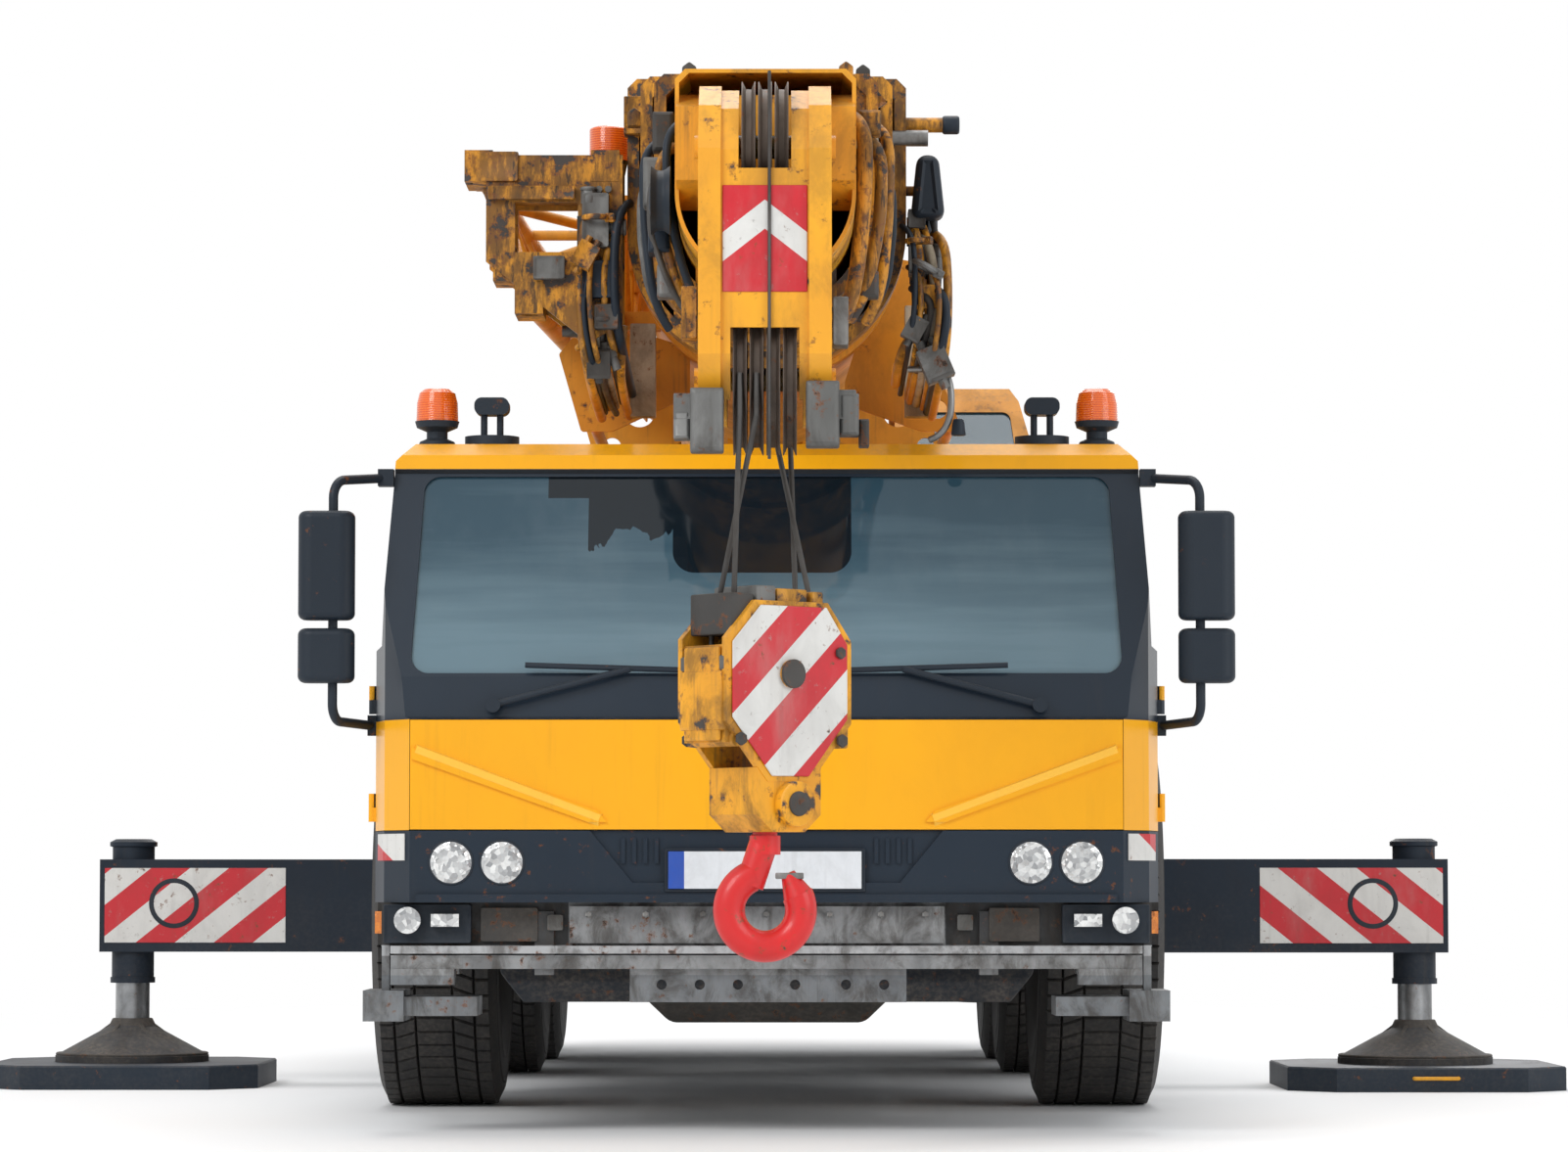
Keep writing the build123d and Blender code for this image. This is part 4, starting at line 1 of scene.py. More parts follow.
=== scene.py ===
# %% [markdown]
# # A three-axle mobile crane, dressed over its engineering model
# The engineering model arrives as a fixed frame: every solid already stands
# at its real place, in metres, with the wheels on z = 0. Everything made
# below is laid on it, part by part, and moves with the part that carries it.

# %% The frame and its sizes
import math
import random
import bpy
from mathutils import Matrix, Vector


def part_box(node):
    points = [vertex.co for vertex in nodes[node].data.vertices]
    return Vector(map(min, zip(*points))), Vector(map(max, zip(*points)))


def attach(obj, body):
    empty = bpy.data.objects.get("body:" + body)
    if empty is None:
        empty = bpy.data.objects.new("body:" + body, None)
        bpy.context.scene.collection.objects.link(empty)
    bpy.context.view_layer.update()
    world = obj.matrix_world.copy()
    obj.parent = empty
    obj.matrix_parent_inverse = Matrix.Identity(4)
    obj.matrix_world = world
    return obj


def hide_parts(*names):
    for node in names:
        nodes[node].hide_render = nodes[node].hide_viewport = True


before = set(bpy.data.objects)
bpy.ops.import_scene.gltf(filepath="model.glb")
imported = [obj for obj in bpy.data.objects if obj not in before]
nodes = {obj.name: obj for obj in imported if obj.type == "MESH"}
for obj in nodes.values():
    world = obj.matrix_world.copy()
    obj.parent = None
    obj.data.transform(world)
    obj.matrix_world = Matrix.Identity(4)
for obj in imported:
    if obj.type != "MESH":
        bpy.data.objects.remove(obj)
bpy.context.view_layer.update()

# %% [markdown]
# A few small helpers carry the whole lesson. `clear` leaves edit mode and
# deselects everything, since an operator acts on all that is selected.
# `settle` writes an object's place into its mesh. `pick` opens a piece in
# edit mode with the faces or points chosen by a test on their place
# and direction, which is what a hand does with the mouse.

# %% Helpers for working in edit mode
def clear():
    """Leave edit mode and deselect everything."""
    if bpy.context.object and bpy.context.object.mode != "OBJECT":
        bpy.ops.object.mode_set(mode="OBJECT")
    bpy.ops.object.select_all(action="DESELECT")


def take(piece):
    """Make one piece the selected and active one."""
    clear()
    piece.select_set(True)
    bpy.context.view_layer.objects.active = piece
    return piece


def settle(piece):
    """Write the object's place, turn and size into its mesh."""
    take(piece)
    bpy.ops.object.transform_apply(location=True, rotation=True, scale=True)
    return piece


def pick(piece, test, kind="FACE"):
    """Open the piece in edit mode with chosen faces or points selected."""
    take(piece)
    bpy.ops.object.mode_set(mode="EDIT")
    bpy.ops.mesh.select_mode(type=kind)
    bpy.ops.mesh.select_all(action="DESELECT")
    bpy.ops.object.mode_set(mode="OBJECT")
    mesh = piece.data
    if kind == "FACE":
        for face in mesh.polygons:
            face.select = bool(test(face.center, face.normal))
    else:
        for point in mesh.vertices:
            point.select = bool(test(point.co, point.normal))
    bpy.ops.object.mode_set(mode="EDIT")
    return piece


def everything(piece):
    """Open the piece in edit mode with all of it selected."""
    return pick(piece, lambda place, way: True, "VERT")

# %% [markdown]
# Most pieces start as a box, a drum or a tube between two points. The
# starters add the primitive at its size and place; the shaping comes after.

# %% Starters: a box, a drum, a ring
AXIS_TURN = {"X": (0, math.pi / 2, 0), "Y": (math.pi / 2, 0, 0), "Z": (0, 0, 0)}


def named(name, size=(1, 1, 1)):
    """Name the primitive just added, size it and settle it."""
    piece = bpy.context.object
    piece.name = name
    piece.scale = size
    return settle(piece)


def start_box(name, low, high):
    """A box between two corners, as a start."""
    clear()
    centre = [(a + b) / 2 for a, b in zip(low, high)]
    bpy.ops.mesh.primitive_cube_add(size=1, location=centre)
    return named(name, [abs(b - a) for a, b in zip(low, high)])


def start_drum(name, centre, radius, depth, axis="Z", sides=32, top=None):
    """A drum, or a cone with a top radius, about a main axis."""
    clear()
    bpy.ops.mesh.primitive_cone_add(
        vertices=sides, radius1=radius, radius2=radius if top is None else top,
        depth=depth, location=centre, rotation=AXIS_TURN[axis])
    return named(name)


def start_ring(name, centre, radius, thick, axis="Z", sides=40, cross=10):
    """A round ring about a main axis."""
    clear()
    bpy.ops.mesh.primitive_torus_add(
        major_radius=radius, minor_radius=thick, major_segments=sides,
        minor_segments=cross, location=centre, rotation=AXIS_TURN[axis])
    return named(name)

# %% [markdown]
# Every sharp edge on the real crane is broken or welded, so a piece ends with
# a bevel and smooth shading. What repeats is copied with a mesh of its own.

# %% Helpers for finishing a mesh
def applied(piece, kind, **settings):
    """Give the piece one modifier with its settings, and apply it."""
    take(piece)
    made = piece.modifiers.new(kind.lower(), kind)
    for name, value in settings.items():
        setattr(made, name, value)
    bpy.ops.object.modifier_apply(modifier=made.name)
    return piece


def soften(piece, width, segments=2):
    """Round the edges sharper than 30 degrees and shade the piece smooth."""
    return smooth(applied(piece, "BEVEL", width=width, segments=segments,
                          limit_method="ANGLE", angle_limit=math.radians(30)))


def smooth(piece, angle=35):
    """Shade smooth where faces meet at less than the angle."""
    take(piece)
    bpy.ops.object.shade_smooth_by_angle(angle=math.radians(angle))
    return piece


def outward(piece):
    """Merge doubles, then turn every face outwards."""
    everything(piece)
    bpy.ops.mesh.remove_doubles(threshold=0.00002)
    bpy.ops.mesh.select_all(action="SELECT")
    bpy.ops.mesh.normals_make_consistent(inside=False)
    clear()
    return piece


def copy_of(piece, name, shift=(0, 0, 0), turn=None, about=(0, 0, 0), mirrored=False):
    """A copy with its own mesh: moved, turned about a point, or mirrored left to right."""
    twin = piece.copy()
    twin.data = piece.data.copy()
    twin.name = name
    bpy.context.collection.objects.link(twin)
    move = Matrix.Translation(Vector(shift))
    if turn:
        spot = Vector(about)
        spin = Matrix.Rotation(turn[1], 4, turn[0])
        move = move @ Matrix.Translation(spot) @ spin @ Matrix.Translation(-spot)
    if mirrored:
        move = move @ Matrix.Scale(-1, 4, (1, 0, 0))
    twin.data.transform(move)
    return outward(twin) if mirrored else twin


def placed(name, data):
    """A new object with this data, in the scene."""
    made = bpy.data.objects.new(name, data)
    bpy.context.collection.objects.link(made)
    return made


def join(name, *pieces):
    """Several pieces made one."""
    take(pieces[0])
    for piece in pieces[1:]:
        piece.select_set(True)
    bpy.ops.object.join()
    pieces[0].name = name
    return pieces[0]


def bar_along(name, points, radius, order=2, cross=5):
    """A round bar or pipe that follows points, as a mesh tube with capped ends."""
    clear()
    curve = bpy.data.curves.new(name, "CURVE")
    curve.dimensions = "3D"
    curve.bevel_depth = radius
    curve.bevel_resolution = cross
    curve.use_fill_caps = True
    curve.resolution_u = 6
    line = curve.splines.new("NURBS" if order > 2 else "POLY")
    line.points.add(len(points) - 1)
    for point, place in zip(line.points, points):
        point.co = (*place, 1)
    if order > 2:
        line.order_u = order
        line.use_endpoint_u = True
    take(placed(name, curve))
    bpy.ops.object.convert(target="MESH")
    bar = bpy.context.object
    bar.name = name
    outward(bar)
    return smooth(bar, 50)

# %% [markdown]
# ## Node groups: the effects that many finishes share
# Years of work leave the same marks on every surface: dust low down, rain
# streaks, chips with a little rust, a fine grain in the paint. Each effect
# is one node group with named inputs, built once here and placed in each
# material with values of its own. All of them read Object coordinates, so a
# pattern is in real metres and never slides on a moving part.

# %% A short way to write node trees
def node(tree, kind, **settings):
    """A node with its settings made in one line."""
    made = tree.nodes.new(kind)
    for name, value in settings.items():
        setattr(made, name, value)
    return made


def link(tree, source, target):
    """Join two sockets."""
    tree.links.new(source, target)


def fed(tree, socket, value):
    """Give a socket a number, a colour, or another node's output."""
    if isinstance(value, bpy.types.NodeSocket):
        tree.links.new(value, socket)
    elif value is not None:
        plain = socket.type == "RGBA" and len(value) == 3
        socket.default_value = (*value, 1) if plain else value


def own_place(tree):
    """Object coordinates: a pattern on them stays put on a moving part."""
    return node(tree, "ShaderNodeTexCoord").outputs["Object"]


def apart(tree, vector):
    """The X, Y and Z of a vector, to be taken by letter."""
    made = node(tree, "ShaderNodeSeparateXYZ")
    link(tree, vector, made.inputs[0])
    return made.outputs


def maths(tree, task, a, b=None, clamp=False):
    """A Math node's result."""
    made = node(tree, "ShaderNodeMath", operation=task, use_clamp=clamp)
    fed(tree, made.inputs[0], a)
    fed(tree, made.inputs[1], b)
    return made.outputs[0]


def times(tree, a, b, clamp=False):
    """Two values multiplied."""
    return maths(tree, "MULTIPLY", a, b, clamp)


def added(tree, a, b, clamp=False):
    """Two values added."""
    return maths(tree, "ADD", a, b, clamp)


def ranged(tree, value, low, high, to_low=0.0, to_high=1.0):
    """A Map Range node that eases a value from one range to another."""
    made = node(tree, "ShaderNodeMapRange", interpolation_type="SMOOTHSTEP")
    for socket, given in zip(made.inputs, (value, low, high, to_low, to_high)):
        fed(tree, socket, given)
    return made.outputs[0]


def blended(tree, amount, a, b):
    """A colour mix: b over a, by the amount."""
    made = node(tree, "ShaderNodeMix", data_type="RGBA")
    fed(tree, made.inputs["Factor"], amount)
    fed(tree, made.inputs[6], a)
    fed(tree, made.inputs[7], b)
    return made.outputs[2]


def stretched(tree, scale=(1, 1, 1), turn=0.0):
    """Object coordinates, scaled along each axis and turned about Z by a Mapping node."""
    mapping = node(tree, "ShaderNodeMapping")
    link(tree, own_place(tree), mapping.inputs["Vector"])
    mapping.inputs["Scale"].default_value = scale
    mapping.inputs["Rotation"].default_value = (0, 0, turn)
    return mapping.outputs[0]


def noise(tree, vector, scale, detail=4.0, rough=0.55, warp=0.0):
    """A Noise texture's grey output."""
    made = node(tree, "ShaderNodeTexNoise")
    fed(tree, made.inputs["Vector"], vector)
    fed(tree, made.inputs["Scale"], scale)
    made.inputs["Detail"].default_value = detail
    made.inputs["Roughness"].default_value = rough
    made.inputs["Distortion"].default_value = warp
    return made.outputs["Fac"]


def waves(tree, vector, way, scale, warp=0.0):
    """A Wave texture's level bands."""
    made = node(tree, "ShaderNodeTexWave", wave_type="BANDS", bands_direction=way)
    link(tree, vector, made.inputs["Vector"])
    made.inputs["Scale"].default_value = scale
    made.inputs["Distortion"].default_value = warp
    return made.outputs["Fac"]


def new_group(name, inputs, outputs):
    """An empty node group: its inputs as names and starting values, its outputs as names."""
    group = bpy.data.node_groups.new(name, "ShaderNodeTree")
    for label, value in inputs.items():
        kind = "NodeSocketColor" if isinstance(value, tuple) else "NodeSocketFloat"
        socket = group.interface.new_socket(name=label, in_out="INPUT", socket_type=kind)
        socket.default_value = (*value, 1) if isinstance(value, tuple) else value
    for label in outputs:
        kind = "NodeSocketColor" if label == "Colour" else "NodeSocketFloat"
        group.interface.new_socket(name=label, in_out="OUTPUT", socket_type=kind)
    return group, node(group, "NodeGroupInput").outputs, node(group, "NodeGroupOutput")


def hand_out(group, out, **results):
    """Join each result to the group's output of that name."""
    for label, value in results.items():
        link(group, value, out.inputs[label])

# %% [markdown]
# **Paint body.** Sprayed paint is never one flat colour. Slow, wide patches
# fade a little in the sun, and a very fine grain shows where light grazes
# it. One slow noise mixes two near tones, one fine noise is the height.

# %% Group: paint body
paint_body, gi, go = new_group(
    "paint body",
    {"Tone": (0.8, 0.8, 0.8), "Faded tone": (0.7, 0.7, 0.7), "Patch size": 1.4,
     "Grain size": 260.0},
    ("Colour", "Patch", "Height"))
spread = stretched(paint_body, (1, 1, 0.7))
patch = ranged(paint_body, noise(paint_body, spread, gi["Patch size"], 5), 0.35, 0.68)
hand_out(paint_body, go, Colour=blended(paint_body, patch, gi["Tone"], gi["Faded tone"]),
         Patch=patch, Height=noise(paint_body, spread, gi["Grain size"], 2))

# %% [markdown]
# **Road dust.** Dust and dried spray are thickest near the road and thin
# out with height, broken up by a blotchy noise. The mask is a height ramp
# times the noise, and an upward face collects a little everywhere.

# %% Group: road dust
road_dust, gi, go = new_group(
    "road dust",
    {"Base": (0.5, 0.5, 0.5), "Dust": (0.16, 0.14, 0.12), "Full below": 0.2,
     "None above": 1.3, "Amount": 0.5, "On top": 0.2},
    ("Colour", "Mask"))
place = own_place(road_dust)
low_down = ranged(road_dust, apart(road_dust, place)["Z"], gi["None above"], gi["Full below"])
blotch = ranged(road_dust, noise(road_dust, place, 7.0, 8, 0.62), 0.3, 0.75)
speck = ranged(road_dust, noise(road_dust, place, 60.0, 3, 0.6), 0.35, 0.7)
upward = apart(road_dust, node(road_dust, "ShaderNodeNewGeometry").outputs["Normal"])["Z"]
level = times(road_dust, ranged(road_dust, upward, 0.5, 0.95), gi["On top"])
ramped = times(road_dust, low_down, gi["Amount"])
both = added(road_dust, ramped, level, clamp=True)
broken = times(road_dust, both, added(road_dust, blotch, 0.25))
mask = times(road_dust, broken, added(road_dust, speck, 0.45), clamp=True)
hand_out(road_dust, go, Colour=blended(road_dust, mask, gi["Base"], gi["Dust"]), Mask=mask)

# %% [markdown]
# **Streaks.** Rain carries dirt and rust down in thin vertical lines. A
# noise squeezed along Z draws them, and a slower noise lets them start and
# stop.

# %% Group: streaks
streaks, gi, go = new_group(
    "streaks",
    {"Base": (0.5, 0.5, 0.5), "Streak": (0.05, 0.04, 0.03), "Amount": 0.5, "Fineness": 30.0},
    ("Colour", "Mask"))
drawn = stretched(streaks, (1, 1, 0.045))
thin = ranged(streaks, noise(streaks, drawn, gi["Fineness"], 4, 0.6), 0.52, 0.72)
wide = ranged(streaks, noise(streaks, stretched(streaks, (1, 1, 0.5)), 3.2, 4), 0.4, 0.66)
mask = times(streaks, times(streaks, thin, wide), gi["Amount"], clamp=True)
hand_out(streaks, go, Colour=blended(streaks, mask, gi["Base"], gi["Streak"]), Mask=mask)

# %% [markdown]
# **Chips and rust.** Stones and chains knock paint off in small hard-edged
# flakes; the steel below browns, and the brown stains the paint around it.
# A sharp step on a noise is the flake, a softer step is the stain.

# %% Group: chips and rust
chips, gi, go = new_group(
    "chips and rust",
    {"Base": (0.5, 0.5, 0.5), "Steel": (0.05, 0.04, 0.035), "Rust": (0.19, 0.062, 0.016),
     "Amount": 0.3, "Flake size": 22.0},
    ("Colour", "Flake", "Height"))
place = own_place(chips)
field = noise(chips, place, gi["Flake size"], 9, 0.66)
where = ranged(chips, noise(chips, place, 2.3, 5, 0.6), 0.38, 0.62)
step = maths(chips, "SUBTRACT", 0.74, times(chips, gi["Amount"], 0.22))
step = maths(chips, "SUBTRACT", step, times(chips, where, 0.06))
flake = ranged(chips, field, step, added(chips, step, 0.012))
stain = ranged(chips, field, maths(chips, "SUBTRACT", step, 0.075), step, 0.0, 0.75)
stained = blended(chips, stain, gi["Base"], gi["Rust"])
hand_out(chips, go, Colour=blended(chips, flake, stained, gi["Steel"]), Flake=flake,
         Height=times(chips, flake, -1.0))

# %% [markdown]
# **Grime.** Old grease and soot sit in large uneven clouds on a working
# boom. A warped noise between two limits gives clouds with soft edges.

# %% Group: grime
grime, gi, go = new_group(
    "grime",
    {"Base": (0.5, 0.5, 0.5), "Grime": (0.03, 0.022, 0.015), "Amount": 0.5, "Cloud size": 5.0},
    ("Colour", "Mask"))
place = stretched(grime, (1, 1, 0.6))
cloud = ranged(grime, noise(grime, place, gi["Cloud size"], 9, 0.68, 0.6), 0.42, 0.66)
mask = times(grime, cloud, gi["Amount"], clamp=True)
hand_out(grime, go, Colour=blended(grime, mask, gi["Base"], gi["Grime"]), Mask=mask)
print("node groups:", [g.name for g in bpy.data.node_groups])

# %% [markdown]
# ## Painted and bare metals
# One table holds every plain metal finish of the crane: tone, faded tone,
# the dirt on it, how rough it is. `weathered` chains the groups in the
# order the layers lie on the real thing: paint, chips, grime, streaks,
# dust. Roughness rises where dust and grime lie, so the dirt looks dull.

# %% Placing groups and feeding a shader
def place_group(tree, group, **values):
    """Put a node group in a tree, feed its inputs by name and give its outputs."""
    made = node(tree, "ShaderNodeGroup", node_tree=group)
    for name, value in values.items():
        fed(tree, made.inputs[name.replace("_", " ")], value)
    return made.outputs


def painted(tree, tone, faded, patch, grain=260.0):
    """The paint body in two near tones."""
    return place_group(tree, paint_body, Tone=tone, Faded_tone=faded, Patch_size=patch,
                       Grain_size=grain)


DIRT = dict(chips=0.2, flake=22.0, grime=0.2, cloud=5.0, streaks=0.2, dust=0.4, dust_top=1.3,
            on_top=0.2)


def layers(tree, colour, **dirt):
    """Chips, grime, streaks and dust over a colour; gives colour, dull mask and relief."""
    row = {**DIRT, **dirt}
    chip = place_group(tree, chips, Base=colour, Amount=row["chips"], Flake_size=row["flake"])
    cloud = place_group(tree, grime, Base=chip["Colour"], Amount=row["grime"],
                        Cloud_size=row["cloud"])
    run = place_group(tree, streaks, Base=cloud["Colour"], Amount=row["streaks"])
    dust = place_group(tree, road_dust, Base=run["Colour"], Amount=row["dust"],
                       None_above=row["dust_top"], On_top=row["on_top"])
    dull = added(tree, cloud["Mask"], dust["Mask"], clamp=True)
    return dust["Colour"], dull, chip["Height"]


finish = {}


def principled(name):
    """A new finish, kept by name: its tree and its Principled shader."""
    made = finish[name] = bpy.data.materials.new(name)
    made.use_nodes = True
    return made.node_tree, made.node_tree.nodes["Principled BSDF"]


def surface(tree, shader, colour, rough, height=None, deep=0.0, **plain):
    """Feed a shader its colour and roughness, a bump from a height, and plain values."""
    fed(tree, shader.inputs["Base Color"], colour)
    fed(tree, shader.inputs["Roughness"], rough)
    if height:
        bump = node(tree, "ShaderNodeBump")
        bump.inputs["Distance"].default_value = deep
        link(tree, height, bump.inputs["Height"])
        link(tree, bump.outputs[0], shader.inputs["Normal"])
    for name, value in plain.items():
        fed(tree, shader.inputs[name.replace("_", " ")], value)


def duller(tree, rough, dull, more):
    """A roughness that rises where dirt lies."""
    return added(tree, rough, times(tree, dull, more), clamp=True)

# %% [markdown]
# `weathered` makes one finish. With `mouth`, the boom grows darker towards
# its mouth: brown patches, near-black lines, heavier dark clouds and more
# flakes; with `chequer`, crossed bars stand up on the deck.

# %% The weathered metal material
MOUTH_Y = (-3.35, -3.65)  # from here to here the boom grows darker, in brown patches and black lines


def weathered(name, tone, faded=None, rough=0.4, metal=0.0, coat=0.0, spec=0.4, patch=1.4,
              grain=260.0, bump=0.0004, mouth=0.0, chequer=0.0, **dirt):
    """A metal finish from one row of the table."""
    tree, shader = principled(name)
    body = painted(tree, tone, faded or [c * 0.85 for c in tone], patch, grain)
    ground = body["Colour"]
    dirt = {**DIRT, **dirt}
    if mouth:
        # darker towards the mouth: brown patches, near-black vertical lines, more dark clouds and
        # flakes
        near = ranged(tree, apart(tree, own_place(tree))["Y"], *MOUTH_Y)
        rust = noise(tree, stretched(tree, (1, 1, 0.30)), 15.0, 9, 0.72)
        rust = times(tree, ranged(tree, rust, 0.42, 0.56), near)
        lines = noise(tree, stretched(tree, (1, 1, 0.16)), 46.0, 6, 0.7)
        lines = times(tree, ranged(tree, lines, 0.55, 0.62), near)
        worn = blended(tree, times(tree, rust, 0.85), ground, (0.145, 0.062, 0.010))
        ground = blended(tree, times(tree, lines, mouth), worn, (0.012, 0.010, 0.009))
        for mark, more in (("grime", 0.35), ("chips", 0.5)):
            dirt[mark] = added(tree, dirt[mark], times(tree, near, more))
    colour, dull, relief = layers(tree, ground, **dirt)
    relief = added(tree, times(tree, body["Height"], 0.3), relief)
    if chequer:
        bars = [ranged(tree, waves(tree, stretched(tree, turn=turn), "X", 9.0), 0.72, 0.86)
                for turn in (math.pi / 4, -math.pi / 4)]
        relief = added(tree, relief, times(tree, maths(tree, "MAXIMUM", *bars), chequer))
    rough = added(tree, rough, times(tree, body["Patch"], 0.08))
    surface(tree, shader, colour, duller(tree, rough, dull, 0.35), relief, bump,
            Metallic=metal, Coat_Weight=coat, Coat_Roughness=0.12, Specular_IOR_Level=spec)

# %% [markdown]
# Each row holds what sets one paint or metal apart. A negative `chips` keeps
# every flake on, as on a newly painted cab.

# %% The table of metal finishes
ANTHRACITE, FADED_ANTHRACITE = (0.012, 0.021, 0.034), (0.016, 0.026, 0.040)
YELLOW, FADED_YELLOW = (0.91, 0.415, 0.006), (0.87, 0.39, 0.006)
FINISHES = {
    "cab yellow": dict(
        tone=YELLOW, faded=FADED_YELLOW, rough=0.36, coat=0.08, spec=0.28, chips=-0.5,
        grime=0.03, streaks=0.10, dust=0.25, dust_top=1.0, on_top=0.15),
    # a paler yellow than the cab's: a painted highlight for the front panel's folds
    "pale yellow": dict(
        tone=(0.955, 0.53, 0.045), faded=(0.93, 0.49, 0.035), rough=0.32, coat=0.35,
        chips=-0.5, grime=0.02, streaks=0.08, dust=0.1, dust_top=1.0),
    "head yellow": dict(
        tone=(0.86, 0.40, 0.016), faded=(0.76, 0.33, 0.018), rough=0.38, coat=0.15,
        chips=0.22, flake=17.0, grime=0.32, streaks=0.45, dust=0.0, on_top=0.3, patch=2.4),
    "block yellow": dict(
        tone=(0.82, 0.365, 0.010), faded=(0.70, 0.29, 0.012), rough=0.42, coat=0.1,
        chips=0.42, flake=15.0, grime=0.62, cloud=7.0, streaks=0.85, dust=0.0, on_top=0.4,
        patch=3.0),
    "boom yellow": dict(
        tone=(0.73, 0.315, 0.020), faded=(0.60, 0.25, 0.02), rough=0.46, chips=0.10,
        flake=16.0, grime=0.26, cloud=4.2, streaks=0.55, dust=0.2, dust_top=2.0,
        on_top=0.30, patch=2.2, mouth=0.8),
    "chassis paint": dict(
        tone=(0.018, 0.027, 0.040), rough=0.5, spec=0.25, chips=0.18, grime=0.15,
        dust=0.55, dust_top=1.5, on_top=0.35),
    "beam paint": dict(
        tone=(0.014, 0.023, 0.037), rough=0.46, spec=0.22, chips=0.12, flake=14.0,
        grime=0.1, streaks=0.35, dust=0.12, dust_top=1.0),
    "dark panel": dict(
        tone=ANTHRACITE, faded=FADED_ANTHRACITE, rough=0.44, spec=0.22, chips=0.03,
        grime=0.05, streaks=0.1, dust=0.1, dust_top=0.95),
    "galvanised deck": dict(
        tone=(0.40, 0.41, 0.41), faded=(0.3, 0.31, 0.32), rough=0.5, chequer=4.0,
        metal=0.7, chips=0.02, grime=0.35, streaks=0.3, dust=0.35, dust_top=1.6,
        on_top=0.45),
    "aluminium bar": dict(
        tone=(0.50, 0.51, 0.51), faded=(0.36, 0.37, 0.375), rough=0.42, metal=0.75,
        chips=0.05, grime=0.5, cloud=9.0, streaks=0.5, dust=0.45, dust_top=1.0,
        on_top=0.3),
    "worn steel": dict(
        tone=(0.30, 0.30, 0.29), faded=(0.2, 0.2, 0.2), metal=0.8, chips=0.1, grime=0.45,
        streaks=0.3, dust=0.2),
    "bright rod": dict(
        tone=(0.60, 0.61, 0.62), faded=(0.5, 0.51, 0.52), rough=0.16, metal=1.0,
        chips=0.0, grime=0.12, streaks=0.25, dust=0.1, dust_top=0.8, on_top=0.1),
    "cast iron": dict(
        tone=(0.075, 0.07, 0.065), faded=(0.05, 0.048, 0.046), rough=0.6, metal=0.3,
        chips=0.25, grime=0.3, dust=0.5, on_top=0.3, grain=120.0, bump=0.0012),
    "sheave steel": dict(
        tone=(0.085, 0.064, 0.052), faded=(0.14, 0.105, 0.082), rough=0.5, metal=0.4,
        grime=0.4, dust=0.0, on_top=0.1, patch=5.0),
    "hook red": dict(
        tone=(0.70, 0.012, 0.014), faded=(0.58, 0.014, 0.014), rough=0.35, coat=0.2,
        chips=0.12, grime=0.12, streaks=0.12, dust=0.05, dust_top=0.8, on_top=0.1),
    "wheel paint": dict(
        tone=(0.42, 0.42, 0.40), faded=(0.34, 0.34, 0.33), rough=0.45, grime=0.3,
        streaks=0.1, dust=0.6, dust_top=1.6),
    "rope wire": dict(
        tone=(0.10, 0.095, 0.09), faded=(0.06, 0.057, 0.055), rough=0.5, metal=0.6,
        chips=0.0, grime=0.4, dust=0.0, grain=700.0, bump=0.001),
    "dull grey fitting": dict(
        tone=(0.19, 0.19, 0.185), faded=(0.11, 0.11, 0.105), rough=0.5, metal=0.5,
        grime=0.55, streaks=0.4, dust=0.1, on_top=0.3),
    "cream panel": dict(
        tone=(0.47, 0.40, 0.29), faded=(0.36, 0.30, 0.21), rough=0.5, chips=0.25,
        grime=0.5, streaks=0.6, dust=0.1),
    "black moulding": dict(
        tone=(0.012, 0.019, 0.029), faded=(0.018, 0.026, 0.037), rough=0.46, spec=0.25,
        chips=0.0, grime=0.04, streaks=0.06, dust=0.1, dust_top=1.2, on_top=0.15,
        grain=420.0, bump=0.0008),
}
for name, row in FINISHES.items():
    weathered(name, **row)
print("metal finishes:", len(finish))

# %% [markdown]
# The engineering model names its materials by slot. Each slot gets its
# finish here, and a few nodes get one of their own.

# %% Finishes laid on the engineering model's own solids
SLOT_FINISH = {
    "cab_yellow": "cab yellow", "boom_yellow": "boom yellow", "frame_grey": "chassis paint",
    "dark_grey": "dark panel", "galvanised": "galvanised deck", "aluminium": "aluminium bar",
    "black_plastic": "black moulding", "steel": "worn steel", "chrome": "bright rod",
    "cast": "cast iron", "red": "hook red", "rope": "rope wire", "rim_paint": "wheel paint",
}
NODE_FINISH = {"head_sheaves": "sheave steel", "boom_tip_section": "head yellow",
               "hook_block": "block yellow"}
for name in ("beam_front_left", "beam_front_right", "beam_rear_left", "beam_rear_right"):
    NODE_FINISH[name] = "beam paint"
for name, solid in nodes.items():
    for number, old in enumerate(solid.data.materials):
        chosen = NODE_FINISH.get(name) or SLOT_FINISH.get(old.name)
        if chosen:
            solid.data.materials[number] = finish[chosen]

# %% [markdown]
# ## Helpers for plates and fastenings
# `sliced` cuts a box by planes and closes the cut, which is how a tapered
# bracket or a chamfered sign comes out of a plain plate. `fit` gives a
# finished piece its material and the body that carries it.

# %% Cutting and fitting
CAB_FRONT = -3.785


def at(s):
    """Y of a place s metres behind the front of the driver's cab."""
    return CAB_FRONT + s


def sliced(piece, *cuts):
    """Cut the piece by planes, each a place and a direction to cut away."""
    for place, way in cuts:
        everything(piece)
        bpy.ops.mesh.bisect(plane_co=place, plane_no=way, use_fill=True, clear_outer=True)
    clear()
    return piece


def scored(piece, *cuts):
    """Cut lines round the piece along planes, each a place and a direction."""
    for place, way in cuts:
        everything(piece)
        bpy.ops.mesh.bisect(plane_co=place, plane_no=way)
    clear()
    return piece


def resized(piece, test, scale, about, kind="FACE"):
    """Grow or shrink the chosen faces or points about a place."""
    pick(piece, test, kind)
    bpy.ops.transform.resize(value=scale, center_override=about)
    clear()
    return piece


